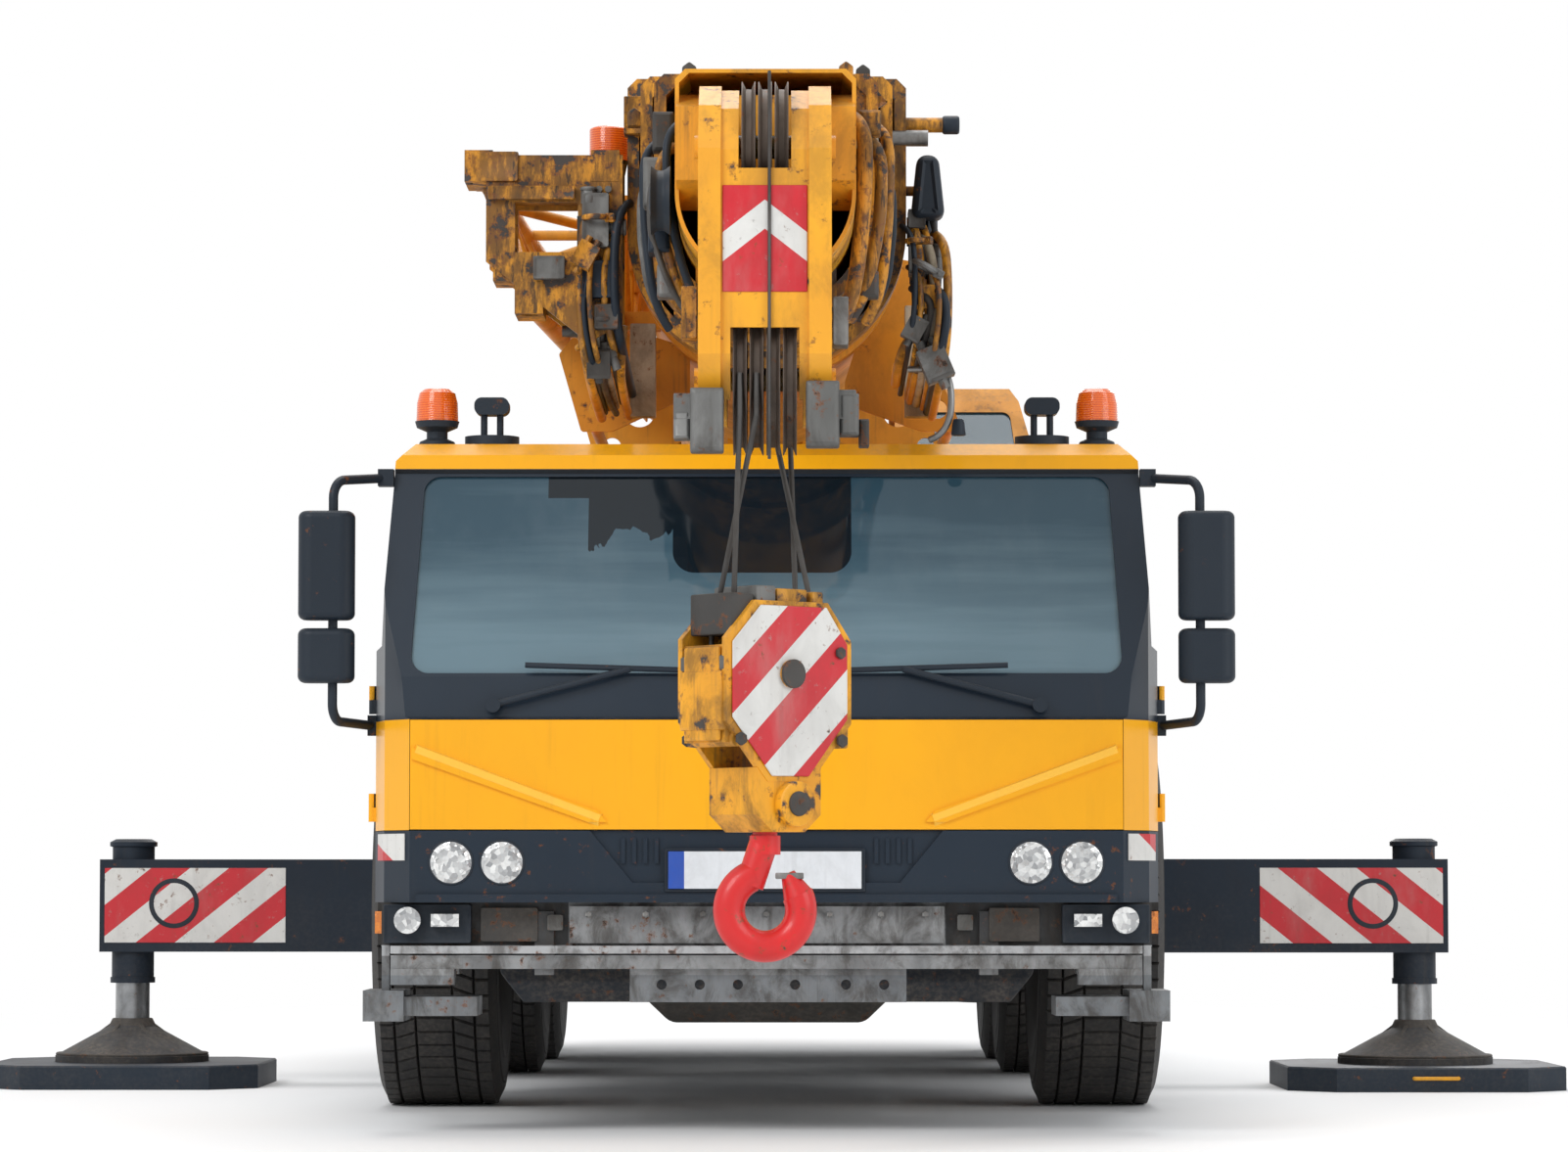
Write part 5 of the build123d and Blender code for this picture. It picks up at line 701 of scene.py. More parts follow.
def moved(piece, test, shift, kind="FACE"):
    """Move the chosen faces or points."""
    pick(piece, test, kind)
    bpy.ops.transform.translate(value=shift)
    clear()
    return piece


def fit(piece, body, material):
    """Give a finished piece its finish and the body that carries it."""
    piece.data.materials.clear()
    piece.data.materials.append(finish[material])
    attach(piece, body)
    return piece


def sunk(piece, test, inset, depth=0.0, way=(0, 0, 1), each=False):
    """Inset the chosen faces, together or each alone, and push them along a direction."""
    pick(piece, test)
    bpy.ops.mesh.inset(thickness=inset, use_individual=each)
    bpy.ops.transform.translate(value=[depth * c for c in way])
    clear()
    return piece


def facing(x=0, y=0, z=0):
    """A test for faces that look one way."""
    way = Vector((x, y, z))
    return lambda place, normal: normal.dot(way) > 0.9


FRONT, TOP = (0, -1, 0), (0, 0, 1)


def pressed(piece, look, inset, depth):
    """Inset the faces that look one way and press them into the piece."""
    return sunk(piece, facing(*look), inset, depth, [-c for c in look])


def square_to(*axes):
    """A test for faces that look either way along these axes (0 is X, 1 is Y)."""
    return lambda place, normal: any(abs(normal[axis]) > 0.9 for axis in axes)

# %% [markdown]
# ## The driver's cab
# The cab shell is one welded body in two paints: yellow below the
# windscreen and along the roof edge, anthracite for the corner posts and
# the band under the glass, and dark lining inside. A material can tell them
# apart by place: height and distance from the front in Object coordinates,
# and inside from outside by whether a face looks away from the cab's middle.

# %% The cab shell's two paints and lining
def between(tree, value, low, high):
    """1 between two limits, 0 outside."""
    above = maths(tree, "GREATER_THAN", value, low)
    return times(tree, above, maths(tree, "LESS_THAN", value, high))


def inner_side(tree, centre):
    """1 where a face looks towards a centre point, 0 where it looks away."""
    arm = node(tree, "ShaderNodeVectorMath", operation="SUBTRACT")
    link(tree, own_place(tree), arm.inputs[0])
    arm.inputs[1].default_value = centre
    shade = node(tree, "ShaderNodeVectorMath", operation="DOT_PRODUCT")
    link(tree, node(tree, "ShaderNodeNewGeometry").outputs["True Normal"], shade.inputs[0])
    link(tree, arm.outputs[0], shade.inputs[1])
    return maths(tree, "LESS_THAN", shade.outputs["Value"], -0.05)


def cab_paint(name, dark_test):
    """Yellow cab paint with dark areas and a dark lining."""
    tree, shader = principled(name)
    body = painted(tree, YELLOW, FADED_YELLOW, 0.9)
    dark = painted(tree, ANTHRACITE, FADED_ANTHRACITE, 1.2)
    tone = blended(tree, dark_test(tree, apart(tree, own_place(tree))), body["Colour"],
                   dark["Colour"])
    tone = blended(tree, inner_side(tree, (0, -3.05, 1.5)), tone, (0.028, 0.030, 0.034))
    colour, dull, _ = layers(tree, tone, chips=-0.5, flake=20.0, grime=0.03, streaks=0.08,
                             dust=0.2, dust_top=1.0, on_top=0.15)
    surface(tree, shader, colour, duller(tree, 0.3, dull, 0.4), body["Height"], 0.0002,
            Coat_Weight=0.08, Coat_Roughness=0.15, Specular_IOR_Level=0.28)


def shell_dark(tree, place):
    """The corner posts, the band under the glass and the low corners."""
    front = maths(tree, "LESS_THAN", place["Y"], -3.43)
    band = between(tree, place["Z"], 1.303, 2.114)
    posts = times(tree, front, band)
    low = maths(tree, "LESS_THAN", place["Z"], 0.955)
    return maths(tree, "MAXIMUM", posts, low)


def door_dark(tree, place):
    """The window rubber along the door glass."""
    tall = between(tree, place["Z"], 1.452, 2.043)
    long = between(tree, place["Y"], at(0.397), at(1.338))
    return times(tree, tall, long)


cab_paint("cab shell paint", shell_dark)
cab_paint("cab door paint", door_dark)
nodes["cab_shell"].data.materials[0] = finish["cab shell paint"]
for side in ("left", "right"):
    nodes["cab_door_" + side].data.materials[0] = finish["cab door paint"]
print("cab shell and doors painted")

# %% [markdown]
# ## Glass
# Cab glass is tinted and mirrors a bright sky. Here it keeps a plain
# transmission, and the sky's reflection is painted into its tint: it runs
# from deep blue at the top to a paler tone at the bottom, with faint level
# bands and pale patches. The bands are a noise pressed flat along X, so they
# read as a painted reflection of soft cloud in the pane.

# %% Tinted cab glass
def tinted(name, deep, pale, low, high, through, shade=None):
    """Tinted glass with a painted sky reflection: paler towards the bottom, level bands, an
    optional dark patch.
    """
    tree, shader = principled(name)
    place = apart(tree, own_place(tree))
    # painted sky reflection: paler towards the bottom, with level cloud bands
    ramp = ranged(tree, place["Z"], low, high)
    bands = noise(tree, stretched(tree, (0.55, 0.55, 7.0)), 2.2, 5, 0.5)
    mixed = added(tree, ramp, ranged(tree, bands, 0.3, 0.7, -0.16, 0.16), clamp=True)
    # pale bluish patches are a painted reflection; the same noise varies the roughness
    reflection_patch = noise(tree, stretched(tree, (1, 1, 0.6)), 3.0, 6, 0.6)
    tone = blended(tree, mixed, pale, deep)
    tone = blended(tree, ranged(tree, reflection_patch, 0.45, 0.75, 0.0, 0.12), tone, (0.3, 0.38, 0.42))
    if shade:
        tone = blended(tree, shade(tree, place), tone, (0.010, 0.018, 0.026))
    surface(tree, shader, tone, ranged(tree, reflection_patch, 0.4, 0.8, 0.03, 0.09),
            Transmission_Weight=through, IOR=1.45)


def painted_dark_reflection(tree, place):
    """A painted dark reflection at the middle of the windscreen's top, with a ragged left end."""
    corner = 0.070
    beside = maths(tree, "ABSOLUTE", added(tree, place["X"], 0.015))
    beside = maths(tree, "MAXIMUM", maths(tree, "SUBTRACT", beside, 0.285 - corner), 0.0)
    below = maths(tree, "MAXIMUM",
                  maths(tree, "SUBTRACT", 1.775 + corner, place["Z"]), 0.0)
    block = maths(tree, "LESS_THAN", added(tree, maths(tree, "POWER", beside, 2.0),
                                           maths(tree, "POWER", below, 2.0)), corner ** 2)
    strip = times(tree, between(tree, place["X"], -0.700, 0.0),
                  maths(tree, "GREATER_THAN", place["Z"], 2.020))
    torn = noise(tree, stretched(tree, (1.0, 0.0, 0.5)), 9.0, 4, 0.6)
    edge = added(tree, 1.74, times(tree, torn, 0.30))
    ragged = times(tree, between(tree, place["X"], -0.570, -0.29),
                   maths(tree, "GREATER_THAN", place["Z"], edge))
    return maths(tree, "MAXIMUM", maths(tree, "MAXIMUM", block, strip), ragged)


# the windscreen's tint also carries a painted dark reflection at its top
tinted("windscreen glass", (0.045, 0.105, 0.150), (0.19, 0.30, 0.36), 1.46, 2.0, 0.35,
       painted_dark_reflection)
tinted("cab window glass", (0.05, 0.11, 0.15), (0.15, 0.24, 0.29), 2.1, 2.7, 0.45)
nodes["cab_glass"].data.materials[0] = finish["windscreen glass"]
nodes["operator_pane"].data.materials[0] = finish["cab window glass"]

# %% [markdown]
# ## Warning stripes
# Red and white reflective film marks everything that swings or sticks out:
# the outrigger ends, the hook block, the boom head. The film is a thin
# plate with a small bevel; the stripe itself is one node group that divides
# a slanting distance into two tones with a crisp edge, and scuffs the film.

# %% Group: slanted stripes
stripes, gi, go = new_group(
    "slanted stripes",
    {"Distance": 0.0, "Pitch": 0.2, "Shift": 0.0, "White share": 0.5,
     "Red": (0.56, 0.012, 0.022), "White": (0.70, 0.69, 0.66)},
    ("Colour", "Height"))
along = maths(stripes, "DIVIDE", gi["Distance"], gi["Pitch"])
along = maths(stripes, "FRACT", added(stripes, along, gi["Shift"]))
half = maths(stripes, "GREATER_THAN", along,
             maths(stripes, "SUBTRACT", 1.0, gi["White share"]))
film = blended(stripes, half, gi["Red"], gi["White"])
scuff = noise(stripes, stretched(stripes), 38.0, 8, 0.7)
film = blended(stripes, ranged(stripes, scuff, 0.60, 0.70, 0.0, 0.55), film,
               (0.30, 0.27, 0.25))
cloudy = noise(stripes, stretched(stripes, (1, 1, 0.4)), 6.0, 5, 0.6)
film = blended(stripes, ranged(stripes, cloudy, 0.45, 0.8, 0.0, 0.3), film,
               (0.42, 0.38, 0.35))
hand_out(stripes, go, Colour=film, Height=noise(stripes, stretched(stripes), 900.0, 2))


def striped(name, slant, pitch, shift, mirrored=None, turn=0.0, share=0.5):
    """Stripe film: slant is how far a stripe runs in Z for each metre across."""
    tree, shader = principled(name)
    place = apart(tree, stretched(tree, turn=-turn))
    across = place["X"]
    if mirrored is not None:
        across = maths(tree, "ABSOLUTE", maths(tree, "SUBTRACT", across, mirrored))
    far = added(tree, place["Z"], times(tree, across, slant))
    film = place_group(tree, stripes, Distance=far, Pitch=pitch, Shift=shift, White_share=share)
    colour, dull, _ = layers(tree, film["Colour"], chips=0.05, flake=30.0, grime=0.12,
                             cloud=6.0, streaks=0.15, dust=0.05, dust_top=1.0, on_top=0.1)
    surface(tree, shader, colour, duller(tree, 0.4, dull, 0.3), film["Height"], 0.0002)

# %% [markdown]
# A sign is a plate a few millimetres thick, laid on the beam's end. The two
# sides mirror each other, and a round port sits near the middle of each.

# %% Signs on the outrigger ends, the boom head and the corners
for side, way in (("left", 1), ("right", -1)):
    striped(side + " beam film", way * 0.80, 0.245, 0.10)
    name, body = "front_" + side, "beam_front_" + side
    low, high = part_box(body)
    face, outer = low.y, max(abs(low.x), abs(high.x)) * way
    sign = start_box("beam_sign_" + name, (outer - way * 0.020, face - 0.0025, 0.558),
                     (outer - way * 0.730, face + 0.004, 0.850))
    fit(soften(sign, 0.001, 1), body, side + " beam film")
    disc = start_drum("beam_port_" + name, (outer - way * 0.292, face, 0.712), 0.098, 0.0084,
                      "Y", 40)
    pressed(disc, FRONT, 0.022, 0.002)
    fit(soften(disc, 0.001), body, "black moulding")
striped("chevron film", 0.78, 0.33, 0.673, mirrored=0.0, share=0.255)
chevron = start_box("head_chevron_sign", (-0.122, -5.2535, 2.482), (0.122, -5.2480, 2.790))
fit(soften(chevron, 0.002, 1), "boom_tip", "chevron film")
striped("corner film", 0.9, 0.4, 0.0)
print("signs fitted")

# %% [markdown]
# ## The jib's foot
# The folding jib hangs beside the boom from a heavy welded bracket. The
# engineering model has its two tapered plates and cross boxes; bolted to
# them here are the lock gear, valves and pin holders, each a box sunk on
# its faces and rounded, because a flat-faced block looks cut from foam.

# %% Lock gear on the jib's foot
BOXES = (  # name, low corner, high corner, inset, finish
    ("jib_lock_housing", (-0.585, 0.030, 2.800), (-0.500, 0.082, 2.975), 0.012,
     "dull grey fitting"),
    ("jib_valve_block", (-0.585, 0.040, 2.640), (-0.480, 0.082, 2.760), 0.010, "dark panel"),
    ("jib_pin_holder", (-0.545, 0.030, 2.540), (-0.470, 0.190, 2.620), 0.010, "cast iron"),
    ("jib_foot_rail", (-0.885, 0.050, 2.955), (-0.610, 0.082, 3.000), 0.008, "boom yellow"),
    ("jib_top_socket", (-0.940, 0.070, 3.015), (-0.790, 0.320, 3.112), 0.014, "boom yellow"),
    ("jib_pad_low", (-0.740, 0.040, 2.700), (-0.640, 0.082, 2.775), 0.010, "dull grey fitting"),
)
for name, low, high, inset, paint in BOXES:
    box = start_box(name, (low[0], at(low[1]), low[2]), (high[0], at(high[1]), high[2]))
    pressed(box, FRONT, inset, 0.006)
    pressed(box, TOP, inset, 0.006)
    fit(soften(box, 0.005), "boom_base", paint)
print("jib foot built")

# %% [markdown]
# A rotating beacon stands on the jib's foot. The lens is a drum drawn in at
# the top, with ribs cut round it; the base is a stepped rubber drum.

# %% Beacon on the jib foot
BEACON = (-0.514, at(0.43))
beacon = start_drum("jib_beacon_lens", (*BEACON, 3.181), 0.068, 0.106, "Z", 36, top=0.063)
sunk(beacon, facing(z=1), 0.014, 0.006)
scored(beacon, ((0, 0, 3.140), TOP), ((0, 0, 3.149), TOP))
resized(beacon, lambda place, way: 3.137 < place.z < 3.152 and abs(way.z) < 0.3,
        (0.94, 0.94, 1), (*BEACON, 3.145))
soften(beacon, 0.005, 3)
lens_base = start_drum("jib_beacon_base", (*BEACON, 3.098), 0.050, 0.056, "Z", 32, top=0.062)
pick(lens_base, facing(z=1))
bpy.ops.mesh.extrude_region_move(TRANSFORM_OT_translate={"value": (0, 0, 0.006)})
bpy.ops.transform.resize(value=(1.08, 1.08, 1), center_override=(*BEACON, 3.129))
clear()
soften(lens_base, 0.004)
fit(lens_base, "boom_base", "black moulding")


def lens_glow(name, tone, deep):
    """Coloured lens plastic with fine moulded ribs and a darker core."""
    tree, shader = principled(name)
    ribs = waves(tree, own_place(tree), "Z", 260.0 / 6.283)
    soil = noise(tree, own_place(tree), 22.0, 6, 0.6)
    mixed = blended(tree, ranged(tree, ribs, 0.2, 0.8), deep, tone)
    mixed = blended(tree, ranged(tree, soil, 0.5, 0.8, 0.0, 0.3), mixed, (0.2, 0.1, 0.04))
    surface(tree, shader, mixed, ranged(tree, soil, 0.4, 0.8, 0.12, 0.32), ribs, 0.0008,
            Coat_Weight=0.5)


lens_glow("amber lens", (0.90, 0.165, 0.008), (0.72, 0.085, 0.004))
nodes["beacon_domes"].data.materials[0] = finish["amber lens"]
fit(beacon, "boom_base", "amber lens")
print("beacon: lens and base")

# %% [markdown]
# ## Gear around the boom's mouth
# Pipes, lamps and brackets crowd the front of the boom: painted hydraulic
# pipes run down each side, a work lamp hangs at the right, and pin boxes and
# rope clamps sit at the foot of the boom head. One table places the plain
# boxes, each sunk on its faces and rounded; one table lays the pipes.

# %% Brackets and clamps
FITTINGS = (  # name, body, low corner, high corner, inset, finish
    ("mouth_top_bracket_left", "boom_section_3", (0.215, -4.225, 3.200), (0.330, -4.10, 3.268),
     0.010, "boom yellow"),
    ("mouth_top_box", "boom_section_2", (0.130, -3.925, 3.250), (0.300, -3.80, 3.308), 0.010,
     "dull grey fitting"),
    ("head_clamp_left", "boom_tip", (0.196, -5.250, 2.115), (0.262, -5.130, 2.200), 0.008,
     "dull grey fitting"),
    ("head_clamp_right", "boom_tip", (-0.262, -5.250, 2.115), (-0.196, -5.130, 2.190), 0.008,
     "dull grey fitting"),
    ("head_pin_box_left", "boom_tip", (0.196, -5.240, 2.330), (0.240, -5.120, 2.470), 0.008,
     "dull grey fitting"),
    ("head_pin_box_right", "boom_tip", (-0.240, -5.240, 2.350), (-0.196, -5.120, 2.500), 0.008,
     "boom yellow"),
    ("collar_box_right_1", "boom_base", (-0.455, -3.700, 3.170), (-0.360, -3.600, 3.290), 0.010,
     "boom yellow"),
    ("collar_valve_left", "boom_base", (0.452, -3.690, 2.720), (0.520, -3.600, 2.820), 0.008,
     "dull grey fitting"),
    ("collar_valve_left_2", "boom_base", (0.450, -3.690, 2.870), (0.505, -3.600, 2.930), 0.008,
     "cast iron"),
    ("side_panel_left", "boom_base", (0.455, -3.000, 2.330), (0.545, -2.930, 2.700), 0.012,
     "cream panel"),
    ("side_panel_right", "boom_base", (-0.455, -3.000, 2.330), (-0.370, -2.930, 2.640), 0.012,
     "cream panel"),
)
for name, body, low, high, inset, paint in FITTINGS:
    box = start_box(name, low, high)
    pressed(box, FRONT, inset, 0.005)
    sunk(box, square_to(0), inset, each=True)
    fit(soften(box, 0.004), body, paint)

# %% [markdown]
# A bent pipe has one section all along, so each is drawn as a round curve
# through a few points and then made a mesh.

# %% Pipes along the boom's mouth
PIPES = (  # name, body, radius, finish, points
    ("pipe_left_1", "boom_base", 0.016, "boom yellow",
     ((0.462, -3.64, 2.90), (0.478, -3.68, 2.84), (0.492, -3.68, 2.72), (0.480, -3.66, 2.55),
      (0.42, -3.62, 2.47), (0.42, -3.2, 2.42))),
    ("pipe_left_2", "boom_base", 0.012, "boom yellow",
     ((0.500, -3.62, 2.88), (0.520, -3.66, 2.82), (0.526, -3.66, 2.68), (0.500, -3.62, 2.50),
      (0.47, -3.4, 2.40), (0.47, -3.0, 2.38))),
    ("pipe_left_3", "boom_base", 0.010, "rope wire",
     ((0.530, -3.60, 2.90), (0.552, -3.64, 2.82), (0.545, -3.62, 2.62), (0.52, -3.5, 2.45),
      (0.51, -3.2, 2.38), (0.51, -2.9, 2.36))),
    ("pipe_right_1", "boom_base", 0.013, "rope wire",
     ((-0.465, -3.66, 2.90), (-0.480, -3.69, 2.70), (-0.500, -3.67, 2.50), (-0.53, -3.5, 2.40),
      (-0.53, -3.0, 2.36))),
    ("pipe_right_2", "boom_base", 0.016, "boom yellow",
     ((-0.600, -3.60, 2.62), (-0.585, -3.60, 2.50), (-0.560, -3.4, 2.36), (-0.55, -2.95, 2.33))),
    ("pipe_right_3", "boom_base", 0.011, "rope wire",
     ((-0.520, -3.69, 2.62), (-0.525, -3.69, 2.50), (-0.535, -3.5, 2.38), (-0.50, -3.0, 2.34))),
    ("pipe_right_4", "boom_base", 0.014, "boom yellow",
     ((-0.455, -3.66, 2.56), (-0.465, -3.64, 2.46), (-0.47, -3.4, 2.37), (-0.46, -2.9, 2.34))),
)
for name, body, radius, paint, points in PIPES:
    fit(bar_along(name, points, radius, 3), body, paint)
print("pipes:", len(PIPES))

# %% [markdown]
# The work lamp at the right of the mouth has a teardrop housing on a short
# tube. A box is drawn in towards its top, rounded with a wide bevel, and
# its face sunk for the glass.

# %% Work lamp
lamp_shell = start_box("work_lamp_housing", (0.458, at(0.072), 2.900), (0.568, at(0.204), 3.104))
resized(lamp_shell, lambda place, way: place.z > 3.0, (0.62, 0.85, 1),
        (0.513, at(0.138), 3.104), "VERT")
soften(lamp_shell, 0.030, 5)
pressed(lamp_shell, FRONT, 0.010, 0.008)
fit(smooth(lamp_shell), "boom_base", "black moulding")
tube = bar_along("work_lamp_tube", ((0.40, at(0.16), 3.165), (0.515, at(0.16), 3.165)), 0.026)
fit(tube, "boom_base", "worn steel")
cap = start_drum("side_pipe_cap", (0.590, at(0.21), 3.215), 0.030, 0.055, "X", 24)
fit(soften(cap, 0.008, 3), "boom_base", "black moulding")
print("work lamp: housing, tube and cap")

# %% [markdown]
# ## The hook block's stripes and side boxes
# The block hangs turned on its rope, so its striped cheeks are set at that
# angle too. The film is an eight-sided plate: a box with its corners cut by
# planes, made square to the block, then turned about the block's own axis.

# %% Hook block films and bolts
BLOCK_Y, BLOCK_TURN = -5.029, math.radians(40)


def turned(piece):
    """Turn a piece made square to the block to the angle at which it hangs."""
    piece.data.transform(Matrix.Translation((0, BLOCK_Y, 0)) @
                         Matrix.Rotation(BLOCK_TURN, 4, "Z"))
    return piece


# how far across the turned film's own middle lies from the pattern's start
offset = -BLOCK_Y * math.sin(BLOCK_TURN)
striped("block film", -0.91, 0.255, 0.24 - 0.91 * offset / 0.255, turn=BLOCK_TURN)
BOLTS = (  # x, z, radius, middle's distance from the block's own middle
    (-0.190, 1.200, 0.020, 0.1225), (0.190, 1.200, 0.020, 0.1225),
    (0.185, 1.455, 0.018, 0.1225), (0.0, 1.390, 0.042, 0.1290),
)
for number, way in enumerate((-1, 1)):
    film = start_box("block_film_%d" % number, (-0.216, way * 0.1115, 1.095),
                     (0.216, way * 0.1165, 1.586))
    sliced(film, ((-0.216, 0, 1.478), (-0.72, 0, 0.70)), ((0.216, 0, 1.480), (0.80, 0, 0.60)),
           ((-0.216, 0, 1.262), (-0.75, 0, -0.66)), ((0.216, 0, 1.262), (0.75, 0, -0.66)))
    fit(turned(soften(film, 0.002, 1)), "hook_block", "block film")
    for spot, (x, z, r, out) in enumerate(BOLTS):
        bolt = start_drum("block_bolt_%d_%d" % (number, spot), (x, way * out, z), r, 0.012,
                          "Y", 6 if spot < 3 else 28)
        sunk(bolt, facing(y=way), r * 0.35, 0.004, (0, -way, 0))
        fit(turned(soften(bolt, 0.002)), "hook_block", "cast iron")

# %% [markdown]
# Guards and boxes stand at the block's sides and on top of it, and the
# crosshead's eye and pin run across below. Each is made square to the block
# and then turned.

# %% Guards and crosshead
GUARDS = (  # name, low corner, high corner, inset, finish
    ("block_side_guard_a", (-0.240, -0.080, 1.195), (-0.227, 0.080, 1.465), 0.012, "block yellow"),
    ("block_side_guard_b", (0.226, -0.086, 1.180), (0.246, 0.086, 1.470), 0.012, "block yellow"),
    ("block_top_box_a", (-0.205, -0.094, 1.500), (-0.120, 0.094, 1.620), 0.010, "cast iron"),
    ("block_top_box_b", (-0.112, -0.098, 1.520), (-0.040, 0.098, 1.644), 0.008,
     "dull grey fitting"),
    ("block_top_box_c", (0.098, -0.098, 1.515), (0.140, 0.098, 1.632), 0.008, "block yellow"),
    ("block_top_box_d", (-0.030, -0.090, 1.530), (0.085, 0.060, 1.638), 0.014, "block yellow"),
    ("block_side_box_a", (-0.244, -0.094, 1.225), (-0.180, 0.094, 1.395), 0.012, "block yellow"),
    ("block_side_box_b", (-0.236, -0.102, 1.395), (-0.196, 0.102, 1.440), 0.006,
     "dull grey fitting"),
)
for name, low, high, inset, paint in GUARDS:
    guard = start_box(name, low, high)
    sunk(guard, lambda place, way: abs(way.x) > 0.9 or way.z > 0.9, inset)
    fit(turned(soften(guard, 0.006)), "hook_block", paint)
CROSSHEAD = (0.014, 0, 1.016)
eye = start_drum("crosshead_eye", CROSSHEAD, 0.066, 0.268, "Y", 48)
sunk(eye, square_to(1), 0.010)
fit(turned(soften(eye, 0.004)), "hook_block", "block yellow")
boss = start_drum("crosshead_pin", CROSSHEAD, 0.036, 0.282, "Y", 32)
sunk(boss, square_to(1), 0.009, each=True)
fit(turned(soften(boss, 0.003)), "hook_block", "cast iron")
print("hook block dressed")

# %% [markdown]
# The latch closes the hook's mouth: a flat bar with one end cut on a slant.

# %% Hook latch
latch = start_box("hook_latch", (0.030, -0.012, 0.800), (0.112, 0.012, 0.818))
sliced(latch, ((0.030, 0, 0.818), (-0.5, 0, 0.87)))
latch.data.transform(Matrix.Translation((0, BLOCK_Y, 0)))
fit(soften(latch, 0.003), "hook", "worn steel")
print("hook latch fitted")

# %% [markdown]
# ## Lamps, plate and reflectors on the bumper
# A headlamp is a black rim, a clear dome and a faceted mirror behind it.
# Modelling each facet would cost thousands of faces, so a Voronoi pattern
# gives every facet a grey of its own, a painted glint that stands in for the
# mirror's reflection, and a small tilt. One material serves every lamp: by
# place it is clear at the front, amber at the corners of the cab and red at
# the rear.

# %% Lamp glass
def lamp_glass(name):
    """Faceted lamp glass, each facet a painted glint: clear in front, amber at the cab's corners,
    red at the rear.
    """
    tree, shader = principled(name)
    spot = own_place(tree)
    place = apart(tree, spot)
    facets = node(tree, "ShaderNodeTexVoronoi")
    fed(tree, facets.inputs["Vector"], spot)
    facets.inputs["Scale"].default_value = 62.0
    grey = node(tree, "ShaderNodeSeparateColor")
    link(tree, facets.outputs["Color"], grey.inputs[0])
    # each facet's grey is a painted glint that stands in for the mirror's reflection
    clear_tone = blended(tree, grey.outputs[0], (0.26, 0.27, 0.28), (0.86, 0.87, 0.86))
    amber_tone = blended(tree, grey.outputs[0], (0.62, 0.16, 0.008), (0.86, 0.26, 0.012))
    red_tone = blended(tree, grey.outputs[0], (0.30, 0.006, 0.006), (0.62, 0.02, 0.02))
    across = maths(tree, "ABSOLUTE", place["X"])
    corner = times(tree, maths(tree, "GREATER_THAN", across, 1.2),
                   maths(tree, "LESS_THAN", place["Y"], 0.0))
    behind = maths(tree, "GREATER_THAN", place["Y"], 4.0)
    outer = times(tree, behind, maths(tree, "GREATER_THAN", across, 1.0))
    inner = times(tree, behind, maths(tree, "LESS_THAN", across, 0.78))
    tone = clear_tone
    for where, glass in ((corner, amber_tone), (behind, red_tone), (outer, amber_tone),
                         (inner, clear_tone)):
        tone = blended(tree, where, tone, glass)
    soil = noise(tree, spot, 30.0, 6, 0.6)
    tone = blended(tree, ranged(tree, soil, 0.5, 0.8, 0.0, 0.35), tone, (0.16, 0.14, 0.12))
    surface(tree, shader, tone, ranged(tree, soil, 0.4, 0.8, 0.10, 0.35),
            facets.outputs["Distance"], 0.004, Metallic=0.35, Coat_Weight=1.0,
            Coat_Roughness=0.04)


lamp_glass("lamp glass")
nodes["lamps"].data.materials[0] = finish["lamp glass"]

# %% [markdown]
# Each lamp has a thin ring and a shallow dome. Three insets, each raised
# less than the one before, give the dome its curve.

# %% Headlamp rims and domes
HEADLAMP_Z, HEADLAMP_Y = 0.853, -3.782
for number, x in enumerate((-0.99, -0.83, 0.83, 0.99)):
    rim = start_ring("headlamp_rim_%d" % number, (x, HEADLAMP_Y, HEADLAMP_Z), 0.067, 0.0065,
                     "Y", 44, 12)
    fit(smooth(rim, 60), "carrier", "black moulding")
    dome = start_drum("headlamp_dome_%d" % number, (x, HEADLAMP_Y - 0.002, HEADLAMP_Z),
                      0.0635, 0.010, "Y", 40)
    for step, rise in ((0.012, 0.0030), (0.014, 0.0018), (0.016, 0.0008)):
        sunk(dome, facing(y=-1), step, rise, (0, -1, 0))
    fit(smooth(dome, 50), "carrier", "lamp glass")
print("headlamps: 4")

# %% [markdown]
# The number plate is pressed metal: a flat white field with a raised edge
# and a plain blue end. It is left blank. Its holder is a black tray.

# %% Number plate
PLATE_X, PLATE_Z = (-0.308, 0.298), (0.771, 0.888)
holder = start_box("plate_holder", (PLATE_X[0] - 0.012, -3.791, PLATE_Z[0] - 0.010),
                   (PLATE_X[1] + 0.012, -3.772, PLATE_Z[1] + 0.010))
pressed(holder, FRONT, 0.006, 0.003)
fit(soften(holder, 0.003), "carrier", "black moulding")


def plate_enamel(name):
    """White reflective field with a blue end and road dirt."""
    tree, shader = principled(name)
    blue = maths(tree, "LESS_THAN", apart(tree, own_place(tree))["X"], PLATE_X[0] + 0.050)
    tone = blended(tree, blue, (0.72, 0.75, 0.78), (0.012, 0.075, 0.42))
    colour, dull, _ = layers(tree, tone, chips=-0.3, flake=30.0, grime=0.12, cloud=9.0,
                             streaks=0.12, dust=0.25, dust_top=1.1, on_top=0.1)
    surface(tree, shader, colour, duller(tree, 0.32, dull, 0.4),
            noise(tree, stretched(tree), 1400.0, 1), 0.0002)


plate_enamel("plate enamel")
plate = start_box("number_plate", (PLATE_X[0], -3.795, PLATE_Z[0]),
                  (PLATE_X[1], -3.787, PLATE_Z[1]))
pressed(plate, FRONT, 0.004, 0.0012)
fit(soften(plate, 0.001, 2), "carrier", "plate enamel")
print("number plate: blank")

# %% [markdown]
# The reflectors wrap round the bumper's rounded corners. A film that has to
# follow a curved surface is best taken from that surface: the bumper's mesh
# is copied and merged, cut to the film's edges, stripped of the other
# faces, lifted by a hair and given a thickness.

